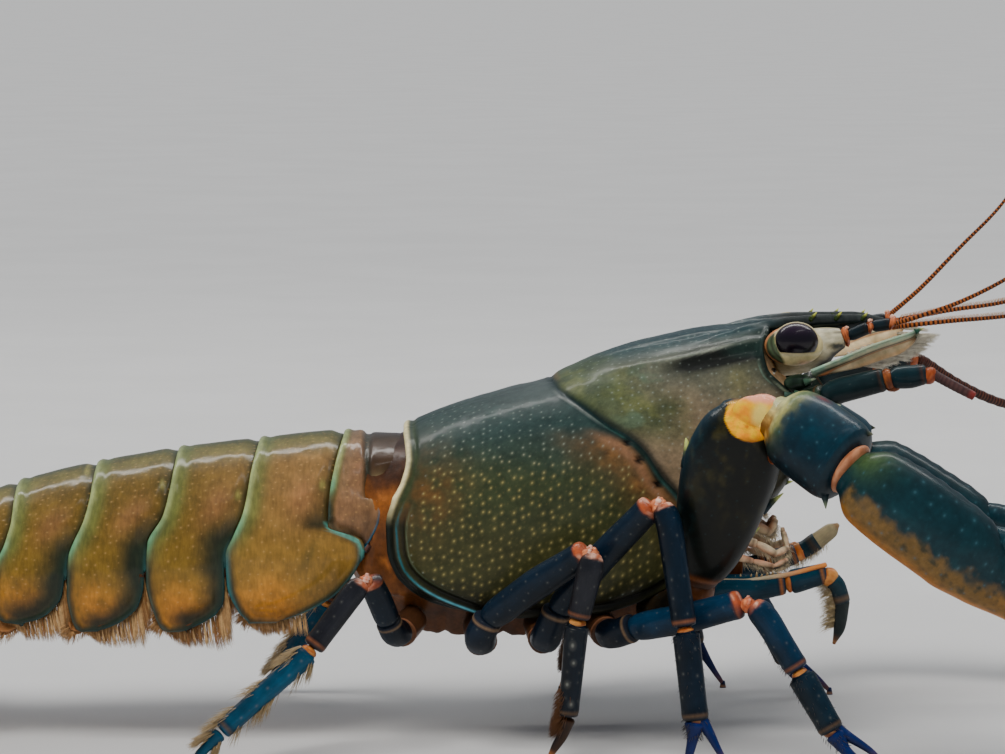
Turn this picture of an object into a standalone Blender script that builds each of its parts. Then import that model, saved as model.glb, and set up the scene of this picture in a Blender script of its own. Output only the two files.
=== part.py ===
"""A life-size freshwater crayfish, standing with its head up, as a museum model shows it.

The body is laid out in millimetres in a working frame: +X towards the head, +Y to the animal's
left, +Z up, with x = 0 at the rear edge of the carapace and z = 0 at the floor. Each mesh is
moved to the middle of the whole model and turned into metres when it is made.
"""

import math

import bmesh
import bpy
from mathutils import Matrix, Vector

MM = 0.001
GAP = 0.3
MIDDLE_X = 10.68
MIDDLE_Y = 13.97

SHELL_GREEN = (0.045, 0.075, 0.055, 1.0)
TAIL_OLIVE = (0.22, 0.13, 0.03, 1.0)
LIMB_BLUE = (0.008, 0.028, 0.055, 1.0)
CLAW_BLUE = (0.012, 0.045, 0.06, 1.0)
FLESH_ORANGE = (0.42, 0.16, 0.05, 1.0)
EYE_BLACK = (0.012, 0.006, 0.018, 1.0)
STALK_PALE = (0.45, 0.40, 0.30, 1.0)
FEELER_BROWN = (0.16, 0.06, 0.03, 1.0)

# Side outline of the head and thorax: (x, height) of the back and of the lower margin.
BODY_TOP = [(-2, 31.2), (0, 32.0), (5, 34.0), (11, 35.8), (15, 36.8), (16.4, 37.5), (20.4, 39.4),
            (26.6, 41.1), (34.8, 42.7), (41, 43.0)]
BODY_BOTTOM = [(-2, 14.0), (6, 13.4), (12, 13.1), (20, 13.5), (24, 14.5), (28, 16.6), (31, 20.0),
               (34.5, 25.2), (37.5, 30.5), (41, 35.0)]
BODY_HALF_WIDTH = [(-2, 9.9), (3, 11.2), (12, 12.3), (20, 12.1), (27, 11.0), (33, 9.2), (38, 7.0),
                   (41, 5.6)]
BODY_FORM = {"wide_at": 0.46, "upper_share": 0.62, "round": 0.88, "tuck": 78.0, "tuck_power": 0.16}

# Edges of the shell plates in side view: (height, x).
CARAPACE_REAR = [(13.2, 8.5), (13.6, 6.6), (14.2, 4.6), (15.0, 2.7), (16.2, 0.9), (17.8, -0.5),
                 (20.2, -1.3), (22.7, -1.4), (25.3, -0.7), (27.2, 0.2), (29.3, 0.7), (32.0, 0.3)]
CERVICAL_GROOVE = [(13.0, 30.6), (20.0, 30.6), (24.0, 29.5), (25.8, 28.3), (27.8, 26.5), (30.4, 24.8),
                   (32.2, 22.8), (33.0, 21.3), (34.4, 19.2), (35.3, 17.7), (36.1, 16.2), (37.2, 15.1)]
HEAD_FRONT = [(17.0, 30.8), (20.0, 31.6), (24.0, 34.0), (28.0, 36.2), (31.0, 37.8), (34.0, 39.3),
              (35.6, 40.0), (36.6, 38.9), (38.4, 37.2), (40.2, 36.8), (42.0, 37.3), (43.5, 37.6)]

ROSTRUM_BACK = 33.5
ROSTRUM_TIP = 49.6
ROSTRUM_HALF_WIDTH = [(33.5, 4.6), (37.0, 3.7), (40.0, 2.7), (44.0, 2.15), (47.4, 1.7), (49.0, 0.7),
                      (49.6, 0.28)]
ROSTRUM_TOP = [(33.5, 42.1), (38.0, 43.0), (42.0, 43.35), (46.0, 43.4), (49.6, 42.95)]
ROSTRUM_THICK = [(33.5, 2.4), (40.0, 1.6), (46.0, 1.2), (49.6, 0.5)]
ROSTRUM_SPINES = (42.0, 44.6, 47.3)
ROSTRUM_SPINE_LENGTH = 1.15
ROSTRUM_SPINE_RADIUS = 0.36

# Abdomen: (x, height) of the back and of the tips of the side plates, then the half width.
TAIL_TOP = [(-49, 21.6), (-40, 26.0), (-31.5, 28.1), (-23, 29.6), (-14.5, 30.6), (-5.7, 31.4),
            (0.5, 31.3)]
TAIL_BOTTOM = [(-49, 13.4), (-46, 13.0), (-40, 12.5), (-33, 11.75), (-24, 11.75), (-15.5, 12.7),
               (0, 12.8)]
TAIL_HALF_WIDTH = [(-49, 6.6), (-44, 7.6), (-36, 8.5), (-26, 9.2), (-14, 9.6), (-4, 9.0), (0.5, 8.4)]
TAIL_FORM = {"wide_at": 0.42, "upper_share": 0.66, "round": 0.9, "tuck": 55.0, "tuck_power": 0.12}
PLATE_THICK = 0.9
BELLY_SHARE = 0.76

# Each abdominal segment: the front and rear edges of its plate in side view, as (height, x).
SEGMENT_EDGES = {
    "abdomen_1": ([(21.9, -4.3), (22.8, -3.1), (24.2, -2.3), (25.2, -1.7), (26.8, -0.9), (29.3, -0.1),
                   (32.0, -0.2)],
                  [(21.9, -6.0), (22.6, -7.1), (24.0, -7.2), (28.3, -6.6), (32.0, -5.6)]),
    "abdomen_2": ([(12.75, -12.6), (13.3, -10.9), (14.3, -8.6), (15.5, -6.7), (16.8, -5.4), (18.1, -4.5),
                   (19.3, -4.05), (20.4, -4.2), (21.2, -5.2), (21.9, -7.1), (23.0, -7.6), (24.5, -7.5),
                   (28.3, -6.95), (32.0, -5.95)],
                  [(12.75, -15.3), (13.8, -16.3), (16.6, -17.4), (19.6, -17.5), (21.5, -16.8),
                   (24.2, -15.7), (28.3, -15.0), (31.0, -14.4)]),
    "abdomen_3": ([(11.8, -22.0), (12.2, -21.1), (12.8, -19.9), (13.7, -18.6), (15.0, -17.9),
                   (16.6, -17.8), (19.6, -17.85), (21.5, -17.15), (24.2, -16.05), (28.3, -15.35),
                   (31.0, -14.75)],
                  [(11.8, -23.5), (12.4, -24.4), (13.5, -24.9), (17.1, -25.7), (20.7, -25.5), (23.7, -23.9),
                   (26.3, -23.3), (30.0, -22.8)]),
    "abdomen_4": ([(11.8, -30.8), (12.2, -29.5), (13.1, -27.9), (14.4, -26.6), (16.4, -26.05),
                   (20.7, -25.85), (23.7, -24.25), (26.3, -23.65), (30.0, -23.15)],
                  [(11.8, -32.4), (12.2, -33.0), (13.0, -33.4), (15.5, -33.8), (19.1, -33.6), (23.2, -32.0),
                   (25.3, -31.5), (28.5, -31.2)]),
    "abdomen_5": ([(12.5, -38.4), (12.9, -36.9), (13.8, -35.5), (15.4, -34.4), (17.0, -34.15),
                   (19.1, -33.95), (23.2, -32.35), (25.3, -31.85), (28.5, -31.55)],
                  [(12.5, -40.2), (13.2, -41.0), (15.5, -41.5), (18.5, -41.0), (20.7, -40.1),
                   (23.2, -39.5), (26.4, -39.4)]),
    "abdomen_6": ([(13.0, -44.6), (13.6, -43.2), (14.6, -42.2), (16.0, -41.85), (18.5, -41.35),
                   (20.7, -40.45), (23.2, -39.85), (26.4, -39.75)],
                  [(13.0, -46.0), (14.5, -47.3), (17.0, -48.2), (20.0, -48.3), (23.0, -47.6)]),
}
SWIMMERET_SEGMENTS = {"abdomen_2": -11.5, "abdomen_3": -20.5, "abdomen_4": -29.5, "abdomen_5": -37.0}
SWIMMERET_LENGTH = 7.6
SWIMMERET_WIDTH = 2.7
SWIMMERET_THICK = 0.6
SWIMMERET_LEAN = 38.0

# Underside of the thorax, between the legs: (x, value).
STERNUM_BOTTOM = [(-3.7, 14.0), (0, 11.6), (6, 10.6), (20, 10.6), (27, 12.2), (31, 14.8)]
STERNUM_TOP = [(-3.7, 20.6), (-1.5, 20.6), (3, 18.0), (10, 17.0), (31, 19.0)]
STERNUM_HALF_WIDTH = [(-3.7, 6.6), (0, 7.6), (8, 8.2), (20, 8.2), (27, 7.4), (31, 5.6)]

# Tail fan. Plates are laid out flat, pointing back, and then turned.
FAN_ROOT = (-48.9, 19.6)
FAN_PITCH = 36.0
TELSON_LENGTH = 12.6
TELSON_HALF_WIDTH = [(0, 3.1), (2.5, 3.7), (7, 3.6), (10.5, 3.2), (12.0, 2.2), (12.6, 0.9)]
ENDOPOD_LENGTH = 12.2
ENDOPOD_HALF_WIDTH = [(0, 1.2), (2.0, 2.3), (6.5, 3.1), (10.0, 2.9), (11.6, 1.9), (12.2, 0.8)]
EXOPOD_LENGTH = 13.6
EXOPOD_HALF_WIDTH = [(0, 1.2), (2.2, 2.6), (7.5, 3.6), (11.0, 3.3), (12.9, 2.1), (13.6, 0.8)]
FAN_THICK = 1.0
FAN_STEP = 1.45

# Head appendages on the animal's right side, as (x, y, z).
EYE_CENTRE = (40.2, -6.0, 41.1)
EYE_RADII = (2.25, 1.75, 1.95)
STALK_ROOT = (37.9, -2.4, 40.1)
STALK_RADII = (1.25, 1.7, 1.5)

ANTENNULE_PATH = [(37.7, -1.7, 37.6), (41.2, -1.9, 38.6), (45.2, -2.4, 40.6), (47.3, -2.8, 41.9),
                  (49.7, -3.2, 42.4)]
ANTENNULE_SIZES = [1.7, 1.9, 1.8, 1.7, 1.35]
RIGHT_OUTER_LASH = [(50.3, -3.6, 42.7), (56.1, -4.6, 44.7), (61.7, -5.8, 47.6), (66.5, -7.4, 51.2),
                    (70.3, -9.4, 55.4)]
RIGHT_INNER_LASH = [(50.4, -2.6, 42.3), (56.1, -2.5, 42.9), (61.8, -2.6, 43.4), (67.2, -3.0, 44.6),
                    (72.0, -3.6, 46.8)]
LEFT_OUTER_LASH = [(50.4, 3.6, 42.9), (53.6, 4.4, 45.6), (58.0, 5.4, 50.0), (62.4, 6.6, 54.4),
                   (66.0, 8.2, 59.6)]
LEFT_INNER_LASH = [(50.4, 2.6, 42.4), (56.2, 3.0, 43.5), (62.4, 3.4, 44.4), (67.4, 4.0, 46.4),
                   (71.6, 4.8, 49.6)]
LASH_ROOT_SIZE = 0.75
LASH_TIP_SIZE = 0.4

ANTENNA_PATH = [(38.2, -4.6, 33.6), (41.6, -6.4, 34.6), (44.2, -8.2, 36.2), (48.7, -9.0, 37.5),
                (49.4, -9.1, 37.7), (53.4, -9.4, 38.1)]
ANTENNA_SIZES = [3.4, 3.5, 2.6, 2.3, 2.2, 1.9]
RIGHT_STUMP = [(54.3, -9.4, 37.8), (55.8, -9.5, 37.0), (57.9, -9.6, 35.9)]
STUMP_SIZE = 0.95
LEFT_FLAGELLUM = [(54.4, 9.5, 37.8), (58.4, 11.0, 35.2), (63.6, 13.2, 32.8), (70.2, 17.4, 31.2),
                  (75.8, 24.2, 30.8), (79.3, 32.8, 31.9), (80.5, 42.0, 34.0), (79.4, 51.0, 36.8),
                  (76.2, 59.2, 40.0)]
FLAGELLUM_ROOT_SIZE = 1.25
FLAGELLUM_TIP_SIZE = 0.45
SCALE_ROOT = (41.9, -8.3, 37.7)
SCALE_TIP = (52.6, -7.0, 42.3)
SCALE_HALF_WIDTH = [(0, 0.9), (3, 1.5), (6.5, 1.75), (9.6, 1.3), (11.4, 0.5), (11.71, 0.28)]
SCALE_THICK = 0.6

# Limbs. Each place is (x, y, z, depth seen from the side, thickness across).
RIGHT_CHELIPED_BASE = [(25.9, -7.0, 13.8, 4.6, 4.2), (27.6, -10.2, 13.9, 4.4, 4.2), (29.0, -12.4, 15.3, 4.0, 4.0),
                       (29.9, -14.2, 17.6, 3.9, 3.8)]
RIGHT_MERUS = [(30.1, -14.8, 18.4, 4.6, 4.0), (30.8, -15.9, 21.0, 6.4, 4.8), (31.8, -17.4, 25.0, 8.1, 5.4),
               (32.9, -18.9, 29.6, 9.1, 5.7), (33.9, -19.9, 33.0, 8.2, 5.5), (34.6, -20.4, 35.2, 6.0, 4.2)]
RIGHT_CARPUS = [(37.3, -21.6, 34.9, 5.6, 4.6), (38.7, -22.4, 34.2, 7.9, 6.2), (40.8, -24.2, 32.9, 8.5, 6.8),
                (42.8, -26.0, 31.5, 8.4, 6.5), (43.7, -26.8, 30.9, 7.8, 5.8)]
RIGHT_PALM = [(44.5, -27.4, 30.2, 5.8, 4.6), (46.4, -28.0, 28.8, 8.0, 5.8), (50.4, -28.3, 26.0, 8.7, 6.3),
              (54.4, -28.3, 23.0, 8.6, 6.0), (57.2, -28.0, 20.3, 6.6, 4.9), (60.6, -27.3, 17.5, 4.2, 3.9),
              (64.6, -26.3, 14.9, 3.4, 3.1), (68.2, -25.3, 12.9, 2.2, 2.0), (69.9, -24.8, 12.4, 0.8, 0.7)]
RIGHT_DACTYL = [(58.0, -27.9, 23.9, 3.2, 3.2), (60.5, -27.4, 22.4, 3.5, 3.5), (64.3, -26.6, 19.7, 3.0, 3.0),
                (67.9, -25.6, 16.9, 2.3, 2.2), (70.2, -24.9, 14.9, 1.3, 1.2), (70.9, -24.7, 14.2, 0.6, 0.6)]
LEFT_CHELIPED_BASE = [(25.9, 7.0, 13.8, 4.6, 4.2), (27.7, 10.2, 13.9, 4.4, 4.2), (29.3, 12.6, 15.0, 4.0, 4.0),
                      (30.4, 14.6, 16.9, 3.9, 3.8)]
LEFT_MERUS = [(30.8, 15.2, 17.6, 4.6, 4.0), (32.2, 16.8, 19.4, 6.4, 4.8), (34.6, 19.5, 22.3, 8.1, 5.4),
              (37.3, 22.4, 25.8, 9.0, 5.7), (39.2, 24.5, 28.2, 8.4, 5.5), (40.5, 25.8, 29.9, 6.0, 4.2)]
LEFT_CARPUS = [(42.0, 26.3, 29.6, 5.6, 4.6), (43.4, 26.6, 28.8, 7.9, 6.2), (45.5, 27.1, 27.5, 8.5, 6.8),
               (47.7, 27.6, 26.1, 8.4, 6.5), (48.7, 27.8, 25.5, 7.8, 5.8)]
LEFT_PALM = [(49.6, 28.0, 25.0, 5.8, 4.6), (51.7, 28.1, 23.6, 8.0, 5.8), (55.8, 28.0, 20.9, 8.7, 6.3),
             (60.0, 27.6, 18.2, 8.6, 6.0), (63.0, 26.9, 15.7, 6.6, 4.9), (66.6, 25.9, 13.3, 4.2, 3.9),
             (70.8, 24.5, 11.0, 3.4, 3.1), (74.6, 23.1, 9.3, 2.2, 2.0), (76.4, 22.4, 8.8, 0.8, 0.7)]
LEFT_DACTYL = [(63.5, 26.9, 19.3, 3.2, 3.2), (66.1, 26.3, 18.1, 3.5, 3.5), (70.1, 25.0, 15.8, 3.0, 3.0),
               (73.9, 23.5, 13.4, 2.3, 2.2), (76.4, 22.4, 11.6, 1.3, 1.2), (77.1, 22.1, 10.9, 0.6, 0.6)]
MERUS_SPINE_LENGTH = 1.9
SPINE_RADIUS = 0.55

LEG_UPPER = {
    "leg_2_right": [(20.0, -6.4, 12.6, 3.2, 3.2), (20.9, -10.6, 11.9, 3.1, 3.1), (21.7, -12.9, 12.2, 2.9, 2.8),
                    (23.4, -14.4, 13.0, 2.9, 2.6), (28.6, -17.2, 14.4, 3.0, 2.6), (34.0, -18.9, 16.1, 2.8, 2.4)],
    "leg_3_right": [(14.0, -6.4, 12.4, 3.2, 3.2), (14.6, -10.8, 11.3, 3.2, 3.2), (14.9, -12.9, 12.2, 3.1, 2.9),
                    (15.8, -14.0, 14.7, 2.9, 2.6), (20.4, -16.6, 20.6, 3.0, 2.6), (25.1, -19.1, 25.9, 2.7, 2.4)],
    "leg_4_right": [(7.9, -6.4, 12.2, 3.2, 3.2), (8.2, -10.8, 11.1, 3.2, 3.2), (8.1, -12.8, 11.9, 3.1, 2.9),
                    (8.9, -13.8, 13.8, 3.0, 2.7), (13.7, -16.5, 17.7, 3.2, 2.7), (18.6, -19.4, 21.3, 2.7, 2.4)],
    "leg_5_right": [(1.3, -6.2, 12.8, 3.0, 3.0), (0.1, -10.2, 11.8, 2.9, 2.9), (-0.6, -12.4, 12.3, 2.7, 2.6),
                    (-1.1, -13.4, 13.5, 2.6, 2.4), (-2.0, -14.9, 16.0, 2.6, 2.3), (-2.8, -16.2, 18.0, 2.4, 2.1)],
    "leg_2_left": [(20.0, 6.4, 12.6, 3.2, 3.2), (21.2, 10.6, 11.9, 3.1, 3.1), (22.1, 12.9, 12.1, 2.9, 2.8),
                   (23.8, 14.4, 12.7, 2.9, 2.6), (28.9, 17.0, 13.7, 3.0, 2.6), (34.2, 18.9, 15.0, 2.8, 2.4)],
    "leg_3_left": [(14.0, 6.4, 12.4, 3.2, 3.2), (14.8, 10.8, 11.3, 3.2, 3.2), (15.4, 12.9, 12.1, 3.1, 2.9),
                   (16.5, 14.2, 14.0, 3.0, 2.7), (21.2, 17.6, 18.6, 3.2, 2.7), (26.0, 20.8, 22.9, 2.7, 2.4)],
    "leg_4_left": [(7.9, 6.4, 12.2, 3.2, 3.2), (8.4, 10.8, 11.1, 3.2, 3.2), (8.8, 12.9, 11.9, 3.1, 2.9),
                   (9.8, 14.0, 13.6, 3.0, 2.7), (14.0, 17.4, 17.4, 3.2, 2.7), (18.2, 20.6, 20.9, 2.7, 2.4)],
    "leg_5_left": [(1.3, 6.2, 12.8, 3.0, 3.0), (0.0, 10.2, 11.8, 2.9, 2.9), (-0.9, 12.4, 12.3, 2.7, 2.6),
                   (-1.6, 13.4, 13.4, 2.6, 2.4), (-3.0, 15.0, 15.7, 2.6, 2.3), (-4.3, 16.4, 17.6, 2.4, 2.1)],
}
LEG_LOWER = {
    "leg_2_right": [(35.3, -19.3, 16.0, 2.4, 2.2), (36.4, -19.6, 14.8, 2.7, 2.4), (39.5, -20.3, 9.9, 2.4, 2.2),
                    (40.1, -20.5, 8.8, 2.8, 2.3), (42.9, -21.2, 3.9, 2.5, 2.0), (44.3, -21.8, 1.9, 1.2, 1.0),
                    (46.0, -22.5, 0.45, 0.8, 0.8)],
    "leg_3_right": [(26.2, -19.7, 26.0, 2.4, 2.2), (26.8, -20.1, 24.2, 2.6, 2.4), (28.3, -21.4, 14.4, 2.4, 2.2),
                    (28.5, -21.6, 13.2, 2.7, 2.2), (29.4, -22.5, 5.2, 2.6, 2.0), (29.1, -22.8, 3.2, 1.2, 1.0),
                    (28.5, -23.0, 0.45, 0.8, 0.8)],
    "leg_4_right": [(19.3, -20.0, 21.1, 2.3, 2.2), (19.0, -20.3, 19.6, 2.6, 2.4), (17.9, -20.0, 15.0, 2.3, 2.1),
                    (17.7, -19.9, 13.8, 2.4, 2.1), (16.9, -18.8, 5.0, 2.0, 1.7), (16.4, -18.4, 3.0, 1.2, 1.0),
                    (15.0, -17.8, 0.45, 0.8, 0.8)],
    "leg_5_right": [(-3.7, -16.8, 17.9, 2.2, 2.0), (-4.7, -17.2, 16.7, 2.4, 2.1), (-8.4, -18.4, 11.8, 2.2, 2.0),
                    (-9.3, -18.7, 10.8, 2.3, 2.0), (-17.3, -21.4, 3.9, 1.9, 1.6), (-18.8, -21.9, 2.4, 1.2, 1.0),
                    (-20.6, -22.5, 0.45, 0.8, 0.8)],
    "leg_2_left": [(35.4, 19.3, 14.8, 2.4, 2.2), (36.3, 19.8, 13.6, 2.7, 2.4), (38.9, 21.2, 9.0, 2.4, 2.2),
                   (39.4, 21.5, 7.9, 2.8, 2.3), (41.3, 22.6, 3.9, 2.5, 2.0), (42.4, 23.4, 1.9, 1.2, 1.0),
                   (43.6, 24.3, 0.45, 0.8, 0.8)],
    "leg_3_left": [(27.1, 21.5, 22.8, 2.4, 2.2), (27.8, 22.0, 21.2, 2.6, 2.4), (29.8, 24.2, 13.8, 2.4, 2.2),
                   (30.1, 24.5, 12.4, 2.7, 2.2), (31.2, 26.2, 5.2, 2.6, 2.0), (31.0, 26.7, 3.2, 1.2, 1.0),
                   (30.6, 27.2, 0.45, 0.8, 0.8)],
    "leg_4_left": [(18.9, 21.2, 20.6, 2.3, 2.2), (18.9, 21.6, 19.0, 2.6, 2.4), (18.7, 22.4, 14.4, 2.3, 2.1),
                   (18.6, 22.5, 13.2, 2.4, 2.1), (18.1, 23.2, 4.8, 2.0, 1.7), (17.8, 23.4, 2.9, 1.2, 1.0),
                   (16.7, 23.7, 0.45, 0.8, 0.8)],
    "leg_5_left": [(-5.1, 17.0, 17.2, 2.2, 2.0), (-5.9, 17.5, 15.9, 2.4, 2.1), (-8.4, 19.1, 11.2, 2.2, 2.0),
                   (-9.0, 19.5, 10.1, 2.3, 2.0), (-13.2, 22.4, 4.0, 1.9, 1.6), (-14.2, 22.9, 2.5, 1.2, 1.0),
                   (-15.6, 23.6, 0.45, 0.8, 0.8)],
}
# The second finger of the small pincers on the second and third legs.
LEG_FINGER = {
    "leg_2_right": [(42.5, -21.1, 4.6, 1.7, 1.4), (44.3, -21.3, 3.4, 1.2, 1.0), (46.7, -21.1, 1.8, 0.9, 0.8),
                    (48.2, -20.9, 0.45, 0.8, 0.8)],
    "leg_3_right": [(29.5, -22.4, 5.9, 1.7, 1.4), (30.6, -22.8, 4.1, 1.2, 1.0), (31.7, -23.3, 2.1, 0.9, 0.8),
                    (32.7, -23.7, 0.45, 0.8, 0.8)],
    "leg_2_left": [(41.0, 22.4, 4.6, 1.7, 1.4), (42.6, 22.8, 3.4, 1.2, 1.0), (44.6, 22.6, 1.8, 0.9, 0.8),
                   (46.0, 22.5, 0.45, 0.8, 0.8)],
    "leg_3_left": [(31.3, 26.1, 5.9, 1.7, 1.4), (32.3, 26.4, 4.1, 1.2, 1.0), (33.5, 26.7, 2.1, 0.9, 0.8),
                   (34.6, 27.0, 0.45, 0.8, 0.8)],
}
FOOT_SIZE = 0.9

RIGHT_MAXILLIPED = [(31.6, -4.4, 15.6, 2.8, 2.4), (35.0, -4.6, 15.6, 2.9, 2.4), (39.2, -4.8, 16.1, 2.2, 2.0),
                    (40.4, -4.8, 16.4, 2.5, 2.1), (43.4, -4.9, 17.2, 2.1, 1.9), (44.6, -4.8, 16.0, 1.7, 1.6),
                    (45.2, -4.6, 14.2, 1.7, 1.5), (45.0, -4.3, 11.8, 1.4, 1.2), (44.4, -4.1, 9.8, 0.7, 0.7)]
LEFT_MAXILLIPED = [(31.6, 4.4, 15.6, 2.8, 2.4), (34.6, 4.6, 15.9, 2.9, 2.4), (37.9, 4.8, 16.9, 2.2, 2.0),
                   (38.9, 4.8, 17.2, 2.5, 2.1), (41.0, 4.9, 17.9, 2.1, 1.9), (42.0, 4.9, 18.4, 1.8, 1.6),
                   (43.2, 4.8, 19.2, 2.0, 1.6), (44.6, 4.6, 20.3, 1.8, 1.3), (45.4, 4.5, 21.0, 0.9, 0.8)]


def smooth(stations, at):
    """The value at a place on the curve through (place, value) stations, with no overshoot."""
    if at <= stations[0][0]:
        return stations[0][1]
    if at >= stations[-1][0]:
        return stations[-1][1]
    places = [s[0] for s in stations]
    values = [s[1] for s in stations]
    slopes = [(values[i + 1] - values[i]) / (places[i + 1] - places[i]) for i in range(len(places) - 1)]

    def tangent(i):
        if i == 0:
            return slopes[0]
        if i == len(places) - 1:
            return slopes[-1]
        before, after = slopes[i - 1], slopes[i]
        return 0.0 if before * after <= 0 else 2 * before * after / (before + after)

    i = max(k for k in range(len(places) - 1) if places[k] <= at)
    width = places[i + 1] - places[i]
    t = (at - places[i]) / width
    return ((2 * t**3 - 3 * t**2 + 1) * values[i] + (t**3 - 2 * t**2 + t) * width * tangent(i)
            + (3 * t**2 - 2 * t**3) * values[i + 1] + (t**3 - t**2) * width * tangent(i + 1))


def path_point(points, t):
    """A point at share t of a smooth route through the points, taken evenly by index."""
    stations = range(len(points))
    return tuple(smooth([(s, points[s][k]) for s in stations], t * (len(points) - 1))
                 for k in range(len(points[0])))


def material(name, colour, roughness):
    found = bpy.data.materials.get(name)
    if found:
        return found
    made = bpy.data.materials.new(name)
    made.use_nodes = True
    shader = made.node_tree.nodes["Principled BSDF"]
    shader.inputs["Base Color"].default_value = colour
    shader.inputs["Roughness"].default_value = roughness
    shader.inputs["Metallic"].default_value = 0.0
    return made


def mesh_object(name, points, faces):
    """A closed mesh from points in working millimetres, its faces turned outwards."""
    mesh = bpy.data.meshes.new(name)
    placed = [((x - MIDDLE_X) * MM, (y - MIDDLE_Y) * MM, z * MM) for x, y, z in points]
    mesh.from_pydata(placed, [], faces)
    build = bmesh.new()
    build.from_mesh(mesh)
    bmesh.ops.remove_doubles(build, verts=build.verts, dist=1e-7)
    bmesh.ops.triangulate(build, faces=build.faces)
    bmesh.ops.recalc_face_normals(build, faces=build.faces)
    build.to_mesh(mesh)
    build.free()
    made = bpy.data.objects.new(name, mesh)
    bpy.context.scene.collection.objects.link(made)
    return made


def finish(made, colour_name, colour, roughness=0.35):
    made.data.materials.clear()
    made.data.materials.append(material(colour_name, colour, roughness))
    made.data.shade_smooth()
    made.data.set_sharp_from_angle(angle=math.radians(40))
    return made


def keep_largest(mesh):
    """Leaves only the closed surface with the largest volume."""
    build = bmesh.new()
    build.from_mesh(mesh)
    left = set(build.verts)
    shells = []
    while left:
        shell, edge = set(), {next(iter(left))}
        while edge:
            vert = edge.pop()
            shell.add(vert)
            edge |= {e.other_vert(vert) for e in vert.link_edges} - shell
        left -= shell
        shells.append(shell)

    def volume(shell):
        faces = {f for v in shell for f in v.link_faces}
        return sum(f.verts[0].co.dot(f.verts[i].co.cross(f.verts[i + 1].co))
                   for f in faces for i in range(1, len(f.verts) - 1))

    shells.sort(key=volume, reverse=True)
    for shell in shells[1:]:
        bmesh.ops.delete(build, geom=list(shell), context="VERTS")
    bmesh.ops.triangulate(build, faces=build.faces)
    build.to_mesh(mesh)
    build.free()


def boolean(base, others, operation):
    """Applies one Boolean of a collection of closed meshes to base, and removes them."""
    group = bpy.data.collections.new("tools")
    for other in others:
        group.objects.link(other)
    step = base.modifiers.new("join", "BOOLEAN")
    step.operand_type = "COLLECTION"
    step.collection = group
    step.operation = operation
    step.solver = "EXACT"
    bpy.context.view_layer.update()
    graph = bpy.context.evaluated_depsgraph_get()
    mesh = bpy.data.meshes.new_from_object(base.evaluated_get(graph))
    base.modifiers.remove(step)
    base.data = mesh
    for other in others:
        bpy.data.objects.remove(other)
    bpy.data.collections.remove(group)
    keep_largest(base.data)
    return base


def fuse(base, others):
    return boolean(base, others, "UNION")


def cut(base, others):
    return boolean(base, others, "DIFFERENCE")


def body_point(x, share, form, outline, grow):
    """Half width and height of the shell at x, with share 0 on the back and 1 at the lower margin."""
    top, bottom, half_width = outline
    high = smooth(top, x) + grow
    low = smooth(bottom, x) - grow
    wide = smooth(half_width, x) + grow
    middle = low + form["wide_at"] * (high - low)
    if share <= form["upper_share"]:
        turn = math.radians(90) * share / form["upper_share"]
        return (wide * math.sin(turn) ** form["round"],
                middle + (high - middle) * max(math.cos(turn), 0.0) ** form["round"])
    reach = math.radians(form["tuck"])
    turn = reach * (share - form["upper_share"]) / (1 - form["upper_share"])
    return (wide * math.cos(turn) ** form["tuck_power"],
            middle - (middle - low) * math.sin(turn) / math.sin(reach))


def edge_place(edge, share, form, outline, grow):
    """The x at which a plate's edge, given as (height, x), crosses the line of this share."""
    x = sum(e[1] for e in edge) / len(edge)
    for _ in range(40):
        x += 0.5 * (smooth(edge, body_point(x, share, form, outline, grow)[1]) - x)
    return x


def plate_rows(front, rear, form, outline, along, around, grow=0.0, ahead=0.0, behind=0.0):
    """Rows of the right half of a plate, rear to front, each from the back to the lower margin."""
    shares = [i / around for i in range(around + 1)]
    starts = [edge_place(rear, s, form, outline, grow) - behind for s in shares]
    ends = [edge_place(front, s, form, outline, grow) + ahead for s in shares]
    rows = []
    for i in range(along + 1):
        row = []
        for share, start, end in zip(shares, starts, ends):
            x = start + (end - start) * i / along
            half, height = body_point(x, share, form, outline, grow)
            row.append((x, -half, height))
        rows.append(row)
    return rows


def mirrored(point):
    return (point[0], -point[1], point[2])


def filled_body(name, rows):
    """A body whose right half is rows: its left half mirrors it, and flat strips close it below
    and at both ends."""
    around, along = len(rows[0]) - 1, len(rows) - 1
    points, index = [], {}
    for i, row in enumerate(rows):
        for j, point in enumerate(row):
            for side in (0, 1):
                if j == 0 and side == 1:
                    index[i, j, side] = index[i, j, 0]
                    continue
                index[i, j, side] = len(points)
                spot = point if side == 0 else mirrored(point)
                points.append((spot[0], 0.0, spot[2]) if j == 0 else spot)
    faces = []
    for side in (0, 1):
        for i in range(along):
            for j in range(around):
                faces.append([index[i, j, side], index[i + 1, j, side], index[i + 1, j + 1, side],
                              index[i, j + 1, side]])
    for i in range(along):
        faces.append([index[i, around, 0], index[i + 1, around, 0], index[i + 1, around, 1],
                      index[i, around, 1]])
    for i in (0, along):
        faces.append([index[i, 0, 0], index[i, 1, 0], index[i, 1, 1]])
        for j in range(1, around):
            faces.append([index[i, j, 0], index[i, j + 1, 0], index[i, j + 1, 1], index[i, j, 1]])
    return mesh_object(name, points, faces)


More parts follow.
